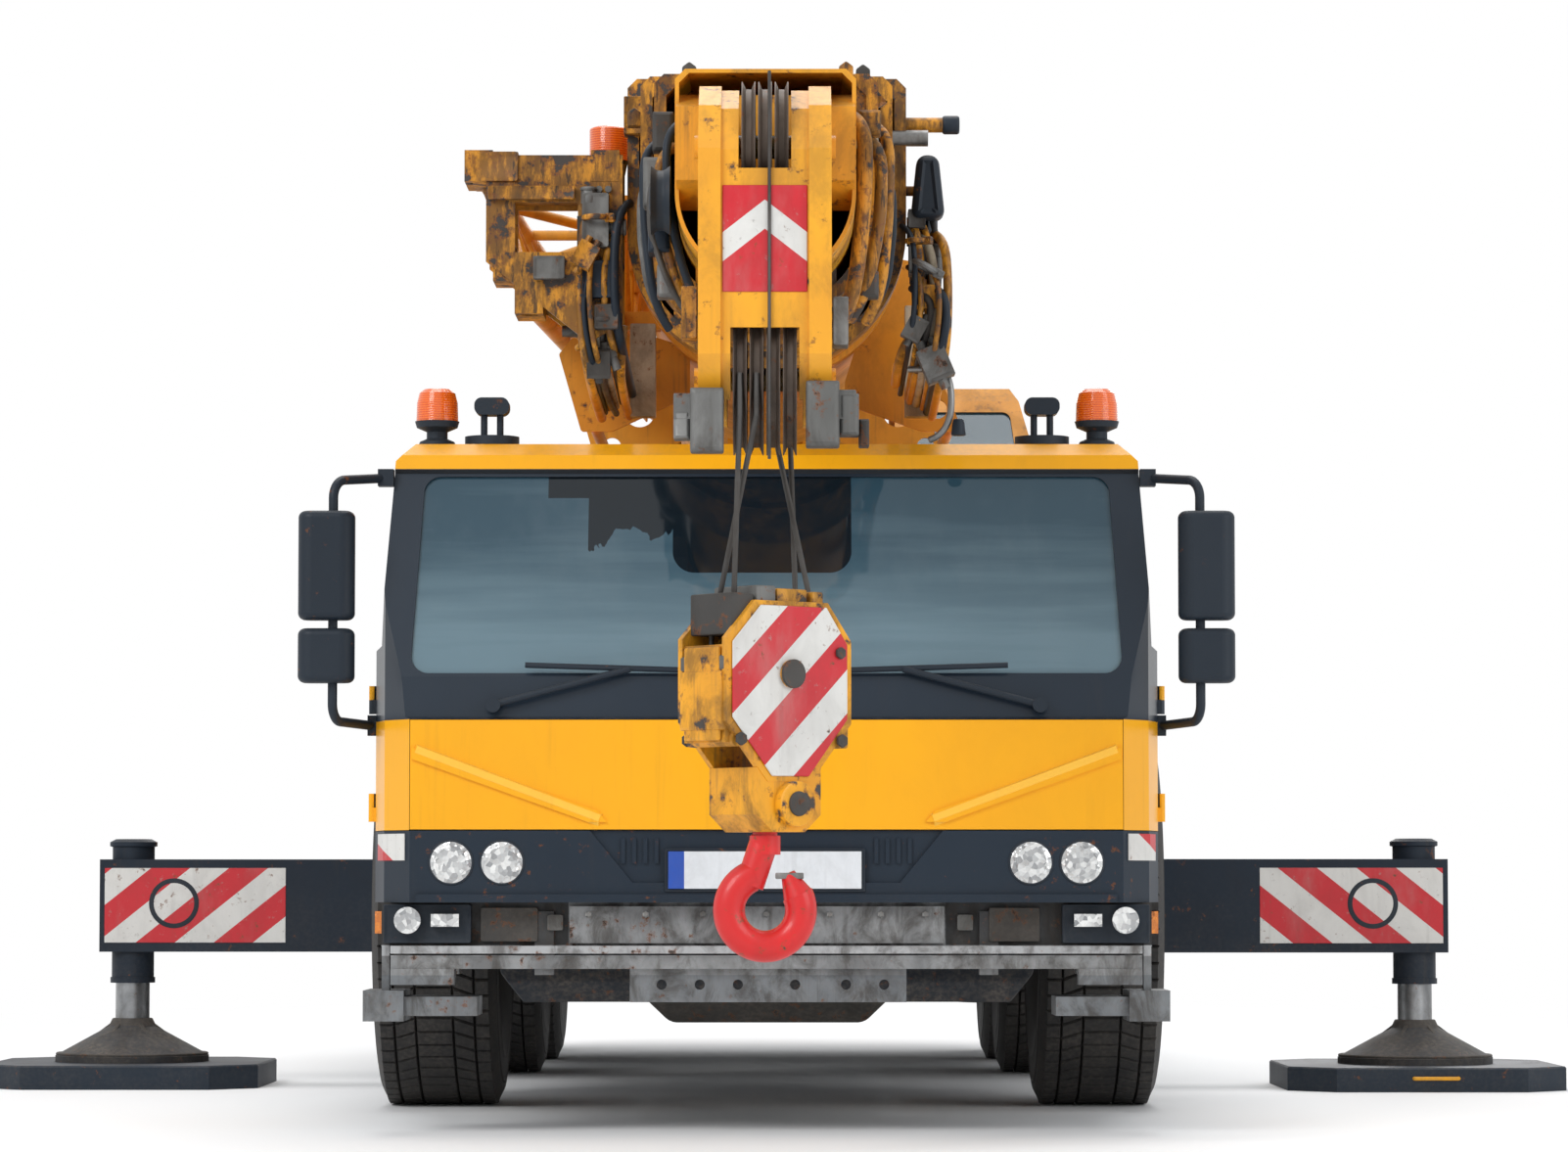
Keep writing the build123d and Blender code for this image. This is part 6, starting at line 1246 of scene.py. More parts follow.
# %% A film taken from another piece's surface
def film_from(name, source, cuts, keep):
    """A thin film that follows part of another piece's surface."""
    film = placed(name, source.data.copy())
    everything(film)
    bpy.ops.mesh.remove_doubles(threshold=0.00005)
    clear()
    for place, way in cuts:
        everything(film)
        bpy.ops.mesh.bisect(plane_co=place, plane_no=way, clear_outer=True)
    pick(film, lambda place, way: not keep(place, way))
    bpy.ops.mesh.delete(type="FACE")
    everything(film)
    bpy.ops.mesh.dissolve_limited(angle_limit=0.02)
    bpy.ops.transform.shrink_fatten(value=0.0015)
    clear()
    return applied(film, "SOLIDIFY", thickness=0.0025, offset=1)


for number, side in enumerate((-1, 1)):
    film = film_from("corner_reflector_%d" % number, nodes["front_bumper"],
                     (((side * 1.135, 0, 0), (-side, 0, 0)), ((0, 0, 0.860), (0, 0, -1)),
                      ((0, 0, 0.944), (0, 0, 1)), ((0, -3.56, 0), (0, 1, 0))),
                     lambda place, way: way.y < -0.1 or abs(way.x) > 0.3)
    fit(smooth(film, 40), "carrier", "corner film")
print("plate and reflectors fitted")

# %% [markdown]
# ## Steel below the bumper
# Under the bumper, one welded frame carries dark plates, a grey steel
# panel and two aluminium bars. They are one solid, so their finish goes by
# place: a bar or a step by its height, the panel by its width as well.

# %% Underbody finish by place
BAR_TOP = 0.5935


def underbody_steel(name):
    """Dark plates with a grey panel, two aluminium bars and the steps, told apart by place."""
    tree, shader = principled(name)
    place = apart(tree, own_place(tree))
    dark = painted(tree, (0.013, 0.015, 0.018), (0.030, 0.032, 0.034), 5.0, 90.0)
    steel = painted(tree, (0.30, 0.31, 0.315), (0.16, 0.165, 0.17), 7.0, 160.0)
    low = maths(tree, "LESS_THAN", place["Z"], BAR_TOP)
    panel = times(tree, between(tree, place["X"], -0.625, 0.565),
                  maths(tree, "LESS_THAN", place["Y"], at(0.102)))
    light = maths(tree, "MAXIMUM", low, panel)
    bright = between(tree, place["Z"], 0.560, BAR_TOP)
    dim = between(tree, place["Z"], 0.340, 0.500)
    tone = blended(tree, light, dark["Colour"], steel["Colour"])
    tone = blended(tree, bright, tone, (0.42, 0.43, 0.44))
    tone = blended(tree, times(tree, dim, 0.55), tone, (0.12, 0.14, 0.16))
    colour, dull, relief = layers(tree, tone, chips=0.12, flake=24.0, grime=0.65, cloud=11.0,
                                  streaks=0.55, dust=0.25, dust_top=0.9, on_top=0.25)
    surface(tree, shader, colour, duller(tree, 0.42, dull, 0.35),
            added(tree, steel["Height"], relief), 0.0006,
            Metallic=times(tree, light, 0.45))


underbody_steel("underbody steel")
nodes["front_underbody"].data.materials[0] = finish["underbody steel"]

# %% [markdown]
# Trays, tow boxes and air couplings are small boxes with a sunk front, and
# six-sided bolts hold the panel.

# %% Small parts below the bumper
UNDER = (  # name, low corner, high corner, inset, finish
    ("fog_lamp_tray_0", (-1.205, at(0.050), 0.722), (-0.930, at(0.098), 0.600), 0.010,
     "black moulding"),
    ("fog_lamp_tray_1", (0.930, at(0.050), 0.600), (1.205, at(0.098), 0.722), 0.010,
     "black moulding"),
    ("tow_box_0", (-0.900, at(0.062), 0.605), (-0.720, at(0.100), 0.712), 0.012, "cast iron"),
    ("tow_box_1", (0.700, at(0.062), 0.605), (0.860, at(0.100), 0.712), 0.012, "cast iron"),
    ("air_coupling_0", (-0.690, at(0.052), 0.640), (-0.640, at(0.100), 0.690), 0.008,
     "dull grey fitting"),
    ("air_coupling_1", (0.600, at(0.052), 0.640), (0.650, at(0.100), 0.690), 0.008,
     "dull grey fitting"),
)
for name, low, high, inset, paint in UNDER:
    box = start_box(name, low, high)
    pressed(box, FRONT, inset, 0.006)
    fit(soften(box, 0.004), "carrier", paint)
for number, x in enumerate((-0.56, -0.38, -0.20, 0.0, 0.20, 0.36, 0.50)):
    bolt = start_drum("panel_bolt_%d" % number, (x, at(0.056), 0.690), 0.011, 0.010, "Y", 6)
    pressed(bolt, FRONT, 0.004, 0.002)
    fit(bolt, "carrier", "worn steel")

# %% [markdown]
# ## Jacks and mats
# A jack's rod is bright where it slides and its foot is a dark cast cone.
# Height tells them apart, and the rear jacks hang a little higher. Ribs
# and a collar stiffen the cone, and a yellow grab handle marks the mat.

# %% Jack finish and foot ribs
def jack_steel(name, foot_top):
    """A bright rod above its dark cast foot."""
    tree, shader = principled(name)
    foot = maths(tree, "LESS_THAN", apart(tree, own_place(tree))["Z"], foot_top)
    body = painted(tree, (0.34, 0.35, 0.36), (0.22, 0.23, 0.24), 9.0, 220.0)
    tone = blended(tree, foot, body["Colour"], (0.030, 0.033, 0.038))
    colour, dull, _ = layers(tree, tone, chips=0.1, flake=30.0, grime=0.35, cloud=12.0,
                             streaks=0.3, dust=0.3, dust_top=0.5, on_top=0.3)
    rough = duller(tree, ranged(tree, foot, 0.0, 1.0, 0.28, 0.6), dull, 0.3)
    surface(tree, shader, colour, rough, times(tree, body["Height"], foot), 0.0008,
            Metallic=ranged(tree, foot, 0.0, 1.0, 0.85, 0.25))


jack_steel("front jack", 0.244)
jack_steel("rear jack", 0.382)
for corner in ("front_left", "front_right", "rear_left", "rear_right"):
    jack = nodes["jack_" + corner]
    jack.data.materials[0] = finish[corner.split("_")[0] + " jack"]
    low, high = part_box("jack_" + corner)
    x, y, z = (low.x + high.x) / 2, (low.y + high.y) / 2, low.z
    ribs = []
    for turn in range(6):
        rib = start_box("rib", (x + 0.060, y - 0.009, z + 0.020), (x + 0.262, y + 0.009, z + 0.150))
        sliced(rib, ((x + 0.085, y, z + 0.150), (0.60, 0, 0.80)))
        rib.data.transform(Matrix.Translation((x, y, 0)) @
                           Matrix.Rotation(turn * math.pi / 3, 4, "Z") @
                           Matrix.Translation((-x, -y, 0)))
        ribs.append(rib)
    collar = start_drum("collar", (x, y, z + 0.152), 0.094, 0.034, "Z", 36, top=0.078)
    edge = start_ring("edge", (x, y, z + 0.030), 0.292, 0.007, "Z", 48, 8)
    foot = join("jack_foot_" + corner, collar, edge, *ribs)
    fit(soften(foot, 0.003, 1), "jack_" + corner, "cast iron")
handle = bar_along("mat_handle", ((2.440, -0.430, 0.052), (2.444, -0.4395, 0.052),
                                  (2.606, -0.4395, 0.052), (2.610, -0.430, 0.052)), 0.0075)
fit(handle, "carrier", "cab yellow")
print("jacks and mats dressed")

# %% [markdown]
# ## The front panel's folds
# Two raised folds run down and inwards across the yellow panel. They catch
# the light, and that highlight is painted: they take a paler yellow than the
# panel. Each is a long thin wedge laid along its slope.

# %% Panel folds
start, stop = Vector((-1.108, 0, 1.205)), Vector((-0.520, 0, 0.984))
run = stop - start
fold = start_box("panel_fold_right", (0, -0.0105, -0.023), (run.length, 0.003, 0.023))
resized(fold, facing(*FRONT), (0.98, 1, 0.45), (run.length / 2, 0, 0.012))
fold.data.transform(Matrix.Translation((start.x, CAB_FRONT, start.z)) @
                    Matrix.Rotation(math.atan2(-run.z, run.x), 4, "Y"))
fit(smooth(fold, 20), "carrier", "pale yellow")
fit(smooth(copy_of(fold, "panel_fold_left", mirrored=True), 20), "carrier", "pale yellow")
print("panel folds laid")

# %% [markdown]
# ## Tyres
# A crane's tyre has five ribs of blocks, a shoulder, and a sidewall with
# rings pressed in it. It starts as a drum, cut by planes into ribs; the
# middle ribs are turned a little so that their grooves slant; each small
# face is inset and pushed out to make its block. The caps are inset step by
# step for the sidewalls, and the two holes are bridged to the bead.

# %% Tyre rubber
def tyre_rubber(name):
    """Black rubber, browner and duller where dust lies, with fine moulding marks."""
    tree, shader = principled(name)
    body = painted(tree, (0.014, 0.0145, 0.016), (0.026, 0.025, 0.024), 4.0, 420.0)
    colour, dull, _ = layers(tree, body["Colour"], chips=-0.5, flake=30.0, grime=0.05,
                             cloud=8.0, streaks=0.0, dust=0.22, dust_top=1.2, on_top=0.12)
    relief = added(tree, noise(tree, own_place(tree), 160.0, 4, 0.6),
                   times(tree, body["Height"], 0.4))
    surface(tree, shader, colour, duller(tree, 0.6, dull, 0.3), relief, 0.0012,
            Specular_IOR_Level=0.35)


tyre_rubber("tyre rubber")

# %% [markdown]
# The drum is cut into ribs before anything is inset, because the blocks of
# the tread follow those cuts.

# %% The first tyre
WHEEL_X, WHEEL_Z, AXLES = 1.160, 0.690, (-1.455, 1.715, 3.365)
HUB = Vector((WHEEL_X, AXLES[0], WHEEL_Z))
RIB_LINES = (-0.140, -0.065, 0.065, 0.140)
tyre = start_drum("tyre_1_left_tread", HUB, 0.672, 0.390, "X", 72)
scored(tyre, *[((WHEEL_X + offset, 0, 0), (1, 0, 0)) for offset in RIB_LINES])
pick(tyre, lambda place, way: abs(abs(place.x - WHEEL_X) - 0.065) < 0.002, "VERT")
bpy.ops.transform.rotate(value=math.radians(2.5), orient_axis="X", center_override=HUB)
pick(tyre, lambda place, way: abs(way.x) < 0.3)
bpy.ops.mesh.inset(thickness=0.0055, use_individual=True)
bpy.ops.transform.shrink_fatten(value=0.0165)
clear()
SIDEWALL = (  # inset, then how far the new ring stands out along the axle
    (0.034, 0.017), (0.022, 0.001), (0.006, 0.004), (0.008, -0.004), (0.070, 0.002),
    (0.010, 0.003), (0.010, -0.003), (0.090, -0.012), (0.060, -0.026), (0.028, -0.012),
)
for way in (-1, 1):
    for inset, out in SIDEWALL:
        pick(tyre, lambda place, normal: normal.x * way > 0.9 and
             (place.yz - HUB.yz).length < 0.05)
        bpy.ops.mesh.inset(thickness=inset)
        bpy.ops.transform.translate(value=(way * out, 0, 0))
pick(tyre, lambda place, normal: abs(normal.x) > 0.9 and (place.yz - HUB.yz).length < 0.05)
bpy.ops.mesh.delete(type="FACE")
clear()
take(tyre)
bpy.ops.object.mode_set(mode="EDIT")
bpy.ops.mesh.select_mode(type="EDGE")
bpy.ops.mesh.select_all(action="DESELECT")
bpy.ops.mesh.select_non_manifold(extend=False, use_multi_face=False, use_non_contiguous=False,
                                 use_verts=False)
bpy.ops.mesh.bridge_edge_loops()
clear()
smooth(outward(tyre), 28)
print("tyre faces:", len(tyre.data.polygons))

# %% [markdown]
# One nut is copied round the hub. The tyre and its ring of nuts are then
# copied to the other wheels, mirrored on the right.

# %% Six tyres and their wheel nuts
nut = start_drum("nut", (1.262, AXLES[0], WHEEL_Z + 0.171), 0.0145, 0.030, "X", 6)
sunk(nut, facing(x=1), 0.004, 0.004, (1, 0, 0))
nuts = [nut]
for number in range(1, 10):  # ten nuts in all
    nuts.append(copy_of(nut, "nut", turn=("X", number * math.pi / 5), about=HUB))
ring_of_nuts = join("wheel_nuts_1_left", *nuts)
for axle, y in enumerate(AXLES):
    for side, way in (("left", 1), ("right", -1)):
        wheel = "%d_%s" % (axle + 1, side)
        shift = (0, y - AXLES[0], 0)
        for first, name, paint, part in ((tyre, "tyre_%s_tread", "tyre rubber", "rubber"),
                                         (ring_of_nuts, "wheel_nuts_%s", "worn steel", "steel")):
            piece = first if axle == 0 and way > 0 else copy_of(
                first, name % wheel, shift=shift, mirrored=way < 0)
            if way < 0:
                smooth(piece, 28)
            fit(piece, "wheel_" + wheel, paint)
            if part == "rubber":
                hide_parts("tyre_" + wheel)
print("tyres and nuts on", 2 * len(AXLES), "wheels")

# %% [markdown]
# ## Inside the driver's cab
# Behind the glass stand a dashboard, a steering wheel and two sprung seats.
# The seats are foam under cloth: crowned on top, pulled in between their
# corners, with sewn channels. Each cushion starts as a box cut fine, is
# smoothed to round its edges, and is then shaped point by point, which is
# what a sculptor's brush would do and gives the same result every run.

# %% Seat cloth
def seat_cloth(name):
    """Dark woven cloth: two crossed threads in the height, a slow fade and lint."""
    tree, shader = principled(name)
    spot = own_place(tree)
    weave = times(tree, waves(tree, spot, "X", 90.0, 0.6),
                  waves(tree, spot, "DIAGONAL", 90.0, 0.6))
    fade = ranged(tree, noise(tree, spot, 5.0, 5, 0.6), 0.35, 0.7)
    tone = blended(tree, fade, (0.030, 0.034, 0.042), (0.055, 0.060, 0.070))
    tone = blended(tree, ranged(tree, weave, 0.1, 0.7, 0.0, 0.5), tone, (0.10, 0.11, 0.12))
    lint = ranged(tree, noise(tree, spot, 300.0, 3, 0.7), 0.62, 0.72, 0.0, 0.35)
    tone = blended(tree, lint, tone, (0.16, 0.16, 0.15))
    surface(tree, shader, tone, 0.9, weave, 0.0012, Sheen_Weight=0.25)


seat_cloth("seat cloth")

# %% [markdown]
# `crown` swells the side that `up` names, and `channels` are the places
# across the cushion where its seams pull in. A backrest also leans.

# %% Cushions
def cushion(name, low, high, crown, up="Z", channels=(-0.62, 0.62), lean=0.0):
    """A stuffed cushion: crowned towards `up`, pulled in between corners, with channels."""
    piece = start_box(name, low, high)
    everything(piece)
    bpy.ops.mesh.subdivide(number_cuts=21)
    bpy.ops.mesh.vertices_smooth(factor=0.5, repeat=6)
    clear()
    top, sign = {"Z": (2, 1), "-Y": (1, -1)}[up]
    wide, long = 0, 3 - top
    centre = [(a + b) / 2 for a, b in zip(low, high)]
    half = [(b - a) / 2 for a, b in zip(low, high)]
    for point in piece.data.vertices:
        u = [(point.co[i] - centre[i]) / half[i] for i in range(3)]
        face = max(0.0, sign * u[top])
        swell = max(0.0, (1 - u[wide] ** 2) * (1 - u[long] ** 2)) ** 0.6
        dip = sum(math.exp(-((u[wide] - place) / 0.07) ** 2) for place in channels)
        dip += 0.7 * math.exp(-((u[long] - 0.25) / 0.06) ** 2) * (abs(u[wide]) < 0.62)
        point.co[top] += sign * face * (crown * swell - 0.007 * min(dip, 1.0) * (face > 0.5))
        for side, other in ((wide, long), (long, wide)):
            drawn = 0.012 * abs(u[side]) ** 3 * (1 - min(1.0, abs(u[other])) ** 2)
            point.co[side] -= math.copysign(drawn, u[side])
            belly = 0.006 * abs(u[side]) ** 3 * (1 - min(1.0, abs(u[top])) ** 2)
            point.co[side] += math.copysign(belly, u[side])
        point.co.y += lean * (point.co.z - low[2])
    everything(applied(piece, "SUBSURF", levels=1, render_levels=1))
    bpy.ops.mesh.normals_make_consistent(inside=False)
    clear()
    return smooth(piece, 60)

# %% [markdown]
# A seat is a base drawn in at its waist, a cushion, a backrest and a
# headrest.

# %% Three seats
def seat(name, body, x, y, z, width, stands_for):
    """Base, cushion, backrest and headrest of one seat."""
    wide = width / 2 - 0.008
    base = start_box(name + "_base", (x - 0.3 * width, y - 0.175, z + 0.004),
                     (x + 0.3 * width, y + 0.175, z + 0.168))
    sunk(base, lambda place, way: abs(way.x) > 0.9 or way.y < -0.9, 0.02)
    waist = (x, y, z + 0.09)
    scored(base, (waist, TOP))
    resized(base, lambda place, way: abs(place.z - waist[2]) < 0.01, (0.82, 0.88, 1), waist,
            "VERT")
    fit(soften(base, 0.006), body, "black moulding")
    parts = [
        (cushion(name + "_cushion", (x - wide, y - 0.262, z + 0.172),
                 (x + wide, y + 0.196, z + 0.262), 0.022), 0.85),
        (cushion(name + "_backrest", (x - wide, y + 0.205, z + 0.262),
                 (x + wide, y + 0.292, z + 0.806), 0.020, up="-Y", lean=0.09), 0.85),
        (cushion(name + "_headrest", (x - 0.118, y + 0.272, z + 0.822),
                 (x + 0.118, y + 0.330, z + 0.952), 0.008, up="-Y", channels=()), 0.9),
    ]
    for piece, fill in parts:
        fit(piece, body, "seat cloth")
        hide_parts(stands_for)
    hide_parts(stands_for)


for name, x in (("driver_seat", 0.55), ("mate_seat", -0.55)):
    seat(name, "carrier", x, -2.785, 0.788, 0.48, "cab_interior")
seat("crane_seat", "superstructure", 0.785, 1.755, 1.781, 0.44, "operator_seat")
print("seats: 3")

# %% [markdown]
# The dashboard is three cut boxes made one. The steering wheel is a ring, a
# boss, three arms and a shaft, made flat and then laid along its column.

# %% Dashboard and steering wheel
dash = start_box("dashboard", (-1.04, -3.655, 1.02), (1.04, -3.340, 1.375))
sliced(dash, ((0, -3.345, 1.350), (0, 0.35, 1)), ((0, -3.372, 1.090), (0, 0.45, -1)))
sunk(dash, lambda place, way: way.z > 0.8, 0.03, -0.012)
binnacle = start_box("binnacle", (0.36, -3.56, 1.32), (0.74, -3.36, 1.42))
sliced(binnacle, ((0, -3.36, 1.40), (0, 0.75, 0.66)), ((0, -3.56, 1.38), (0, -0.7, 0.7)))
console = start_box("console", (-0.245, -3.615, 0.795), (0.245, -3.425, 1.042))
sliced(console, ((0, -3.425, 0.95), (0, 0.9, -0.4)))
dashboard = join("dashboard", soften(dash, 0.012), soften(binnacle, 0.010), soften(console, 0.010))
fit(dashboard, "carrier", "black moulding")
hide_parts("cab_interior")
COLUMN = Matrix.Translation((0.55, -3.26, 1.42)) @ \
    Vector((0, 180, 130)).to_track_quat("Z", "Y").to_matrix().to_4x4()
rim = start_ring("steering_wheel", (0, 0, 0), 0.210, 0.0155, "Z", 48, 12)
boss = start_drum("boss", (0, 0, -0.004), 0.058, 0.036, "Z", 28, top=0.046)
shaft = start_drum("shaft", (0, 0, -0.100), 0.028, 0.200, "Z", 20)
arms = []
for turn in (0, 2.3, 3.98):
    arm = start_box("arm", (0.04, -0.017, -0.010), (0.205, 0.017, 0.006))
    arm.data.transform(Matrix.Rotation(turn, 4, "Z"))
    arms.append(soften(arm, 0.004))
wheel = join("steering_wheel", rim, soften(boss, 0.006), shaft, *arms)
wheel.data.transform(COLUMN)
fit(smooth(wheel, 50), "carrier", "black moulding")
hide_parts("cab_interior")
print("dashboard and wheel fitted")

# %% [markdown]
# ## Side glass and mirrors
# The doors' panes are thin plates that lean in with the pillars. Each is a
# box whose top edge is moved inwards, so it lies in the door's own frame
# and swings with it. The mirrors face the rear, with a thin bright pane.

# %% Door panes
tinted("side glass", (0.055, 0.105, 0.135), (0.15, 0.22, 0.26), 1.46, 2.05, 0.55)
for side, way in (("left", 1), ("right", -1)):
    pane = start_box("door_pane_" + side, (way * 1.206, -3.372, 1.462),
                     (way * 1.214, -2.456, 2.034))
    moved(pane, facing(*TOP), (-way * 0.043, 0, 0))
    moved(pane, lambda place, normal: place.z > 2.03 and place.y < -3.3, (0, 0.195, 0), "VERT")
    fit(soften(pane, 0.002, 1), "cab_door_" + side, "side glass")
pane = start_box("crane_door_pane", (1.068, 1.476, 2.246), (1.076, 2.114, 2.648))
scored(pane, ((0, 0, 2.430), TOP))
moved(pane, lambda place, normal: place.z > 2.60, (-0.043, 0, 0), "VERT")
fit(soften(pane, 0.002, 1), "operator_door", "cab window glass")
print("door panes: 3")

# %% [markdown]
# A mirror's pane is bright metal, almost without roughness, and looks back
# along the crane.

# %% Mirror glass
weathered("mirror glass", tone=(0.78, 0.80, 0.82), faded=(0.72, 0.75, 0.78), rough=0.03,
          metal=1.0, chips=-0.5, grime=0.05, streaks=0.08, dust=0.0, on_top=0.0, bump=0.00002)
for side in (-1, 1):
    for part, z, tall in (("main", 1.790, 0.152), ("wide", 1.505, 0.066)):
        pane = start_box("mirror_%s_%d" % (part, side > 0),
                         (side * 1.390 - 0.068, -3.672, z - tall),
                         (side * 1.390 + 0.068, -3.666, z + tall))
        sunk(pane, facing(y=1), 0.006, 0.001, (0, 1, 0))
        fit(soften(pane, 0.002, 2), "carrier", "mirror glass")
print("panes and mirrors fitted")

# %% [markdown]
# ## The gear crowded round the boom's mouth
# Valves, hose unions, clamps and bent pipes cover both sides of the mouth.
# Three small fittings are modelled once; a seeded draw then sets copies of
# them down each side, so the crowd looks unplanned and comes out the same
# every time. They are bolted to the boom's base and move with it.

# %% Three fittings, modelled once
random.seed(11)
valve = start_box("valve", (-0.040, -0.045, -0.050), (0.040, 0.045, 0.050))
sunk(valve, lambda place, way: way.y < -0.9 or abs(way.x) > 0.9, 0.010)
pressed(valve, FRONT, 0.012, 0.006)
ports = [start_drum("port", (x, -0.012, z), 0.014, 0.030, "Z", 10)
         for x, z in ((-0.018, 0.060), (0.020, 0.060), (0.0, -0.062))]
valve = join("valve", soften(valve, 0.004), *ports)

union = start_drum("union", (0, 0, 0), 0.024, 0.038, "Z", 6)
sleeve = start_drum("sleeve", (0, 0, -0.040), 0.017, 0.060, "Z", 14, top=0.019)
collar = start_ring("collar", (0, 0, 0.024), 0.020, 0.006, "Z", 18, 8)
union = join("union", soften(union, 0.002, 1), sleeve, collar)

clamp = start_ring("clamp", (0, 0, 0), 0.036, 0.010, "Z", 24, 8)
ear = start_box("ear", (0.030, -0.014, -0.014), (0.062, 0.014, 0.014))
screw = start_drum("screw", (0.050, 0, 0), 0.006, 0.044, "Y", 6)
clamp = join("clamp", clamp, soften(ear, 0.003, 1), screw)

# %% [markdown]
# The draw fixes each copy's place, size and turn; the row it stands in comes
# from its number, so the copies don't crowd in one spot.

# %% Both sides of the mouth
SIDES = (  # name, x from, x to, z from, z to, how many
    ("right", -0.585, -0.475, 2.430, 3.020, 22),
    ("left", 0.468, 0.560, 2.420, 2.920, 14),
)
PAINTS = ("dull grey fitting", "boom yellow", "cast iron", "dark panel", "dull grey fitting")
for side, x0, x1, z0, z1, count in SIDES:
    for number in range(count):
        first = (valve, union, clamp)[number % 3]
        spot = Vector((random.uniform(x0, x1), at(random.uniform(0.02, 0.26)),
                       z0 + (z1 - z0) * (number + random.uniform(0.1, 0.9)) / count))
        size = random.uniform(0.75, 1.15)
        turn = Matrix.Rotation(random.choice((0, 0.5, 1.57, -0.4)), 4,
                               random.choice(("X", "Y", "Z")))
        piece = copy_of(first, "mouth_%s_%s_%d" % (first.name.split(".")[0], side, number))
        piece.data.transform(Matrix.Translation(spot) @ turn @ Matrix.Scale(size, 4))
        fit(smooth(piece, 35), "boom_base", PAINTS[(number * 2 + count) % 5])
for first in (valve, union, clamp):
    take(first)
    bpy.ops.object.delete()

# %% [markdown]
# Each pipe comes out of the boom, bulges a little, runs down and goes back in
# under it. The seeded draw goes on from the fittings.

# %% Bent pipes down both sides
PIPE_PAINTS = ("black moulding", "boom yellow", "rope wire", "cream panel", "boom yellow")
count = 0
for side, way, x0, z0 in (("right", -1, 0.470, 2.96), ("left", 1, 0.462, 2.86)):
    for number in range(7):
        x = x0 + 0.017 * number + random.uniform(-0.004, 0.004)
        top = z0 - 0.09 * (number % 3) - random.uniform(0, 0.05)
        low = 2.455 - 0.012 * number
        front = at(0.035 + 0.020 * (number % 4))
        bulge = random.uniform(0.0, 0.035)
        path = ((way * (x - 0.03), front + 0.12, top + 0.03), (way * x, front, top),
                (way * (x + bulge), front - 0.004, (top + low) / 2 + 0.08),
                (way * (x + bulge * 0.6), front, low + 0.12),
                (way * (x - 0.015), front + 0.10, low),
                (way * (x - 0.02), front + 0.75, low - 0.05))
        pipe = bar_along("mouth_pipe_%s_%d" % (side, number), path,
                         random.choice((0.009, 0.012, 0.015)), 3, 3)
        fit(pipe, "boom_base", PIPE_PAINTS[number % 5])
        count += 1
print("fittings and pipes at the mouth:", sum(row[-1] for row in SIDES) + count)

# %% [markdown]
# A cut bracket, a small pressure can and a grab rail stand out beside the
# head and break its outline.

# %% A bracket, a can and a grab rail beside the head
bracket = start_box("head_side_bracket", (0.225, -4.232, 3.145), (0.372, -4.205, 3.262))
sliced(bracket, ((0.372, 0, 3.190), (0.75, 0, 0.66)), ((0.30, 0, 3.145), (0.5, 0, -0.86)))
pressed(bracket, FRONT, 0.014, 0.006)
fit(soften(bracket, 0.004), "boom_section_3", "boom yellow")
can = start_drum("pressure_can", (0.300, -4.232, 3.070), 0.026, 0.090, "X", 24)
sunk(can, square_to(0), 0.006)
fit(soften(can, 0.006, 2), "boom_section_3", "cream panel")
rail = bar_along("mouth_grab_rail", (
    (0.520, -3.60, 2.20), (0.585, -3.64, 2.22), (0.590, -3.64, 2.40), (0.530, -3.60, 2.43),
    (0.455, -3.56, 2.43)), 0.011, 3)
fit(rail, "boom_base", "worn steel")
knob = start_drum("mouth_rail_knob", (0.610, -3.64, 2.235), 0.024, 0.050, "Z", 20, top=0.018)
sunk(knob, facing(z=1), 0.006, 0.004, (0, 0, 1))
fit(soften(knob, 0.005), "boom_base", "black moulding")
print("bracket, can and grab rail fitted")

# %% [markdown]
# ## Under the cab
# Behind the underrun bars a crane shows a dark mass: the engine's sump, its
# guard, the axle's casing with its round gear housing, and air tanks. They
# are boxes and drums cut and bevelled to shape and painted near black.

# %% Sump, guard and axle casing
sump = start_box("engine_sump", (-0.42, -3.05, 0.330), (0.42, -2.25, 0.640))
sliced(sump, ((0, -3.05, 0.430), (0, -0.7, -0.7)), ((0, -2.25, 0.400), (0, 0.6, -0.8)),
       ((0.42, 0, 0.430), (0.7, 0, -0.7)), ((-0.42, 0, 0.430), (-0.7, 0, -0.7)))
fit(soften(sump, 0.02, 3), "carrier", "cast iron")
guard = start_box("under_guard", (-0.86, -3.30, 0.405), (0.86, -3.10, 0.560))
sliced(guard, ((0, -3.30, 0.470), (0, -0.8, -0.6)), ((0.86, 0, 0.500), (0.8, 0, -0.6)),
       ((-0.86, 0, 0.500), (-0.8, 0, -0.6)))
pressed(guard, FRONT, 0.03, 0.010)
fit(soften(guard, 0.006), "carrier", "chassis paint")
for number, y in enumerate(AXLES):
    ball = start_drum("gear_housing", (0, y, 0.600), 0.215, 0.30, "Y", 36, top=0.120)
    sunk(ball, facing(y=1), 0.05, 0.03, (0, 1, 0))
    flange = start_ring("flange", (0, y - 0.150, 0.600), 0.205, 0.016, "Y", 36, 8)
    casing = join("axle_casing_%d" % (number + 1), soften(ball, 0.012, 2), flange)
    fit(smooth(casing, 40), "carrier", "cast iron")
TANK_Z = 0.545
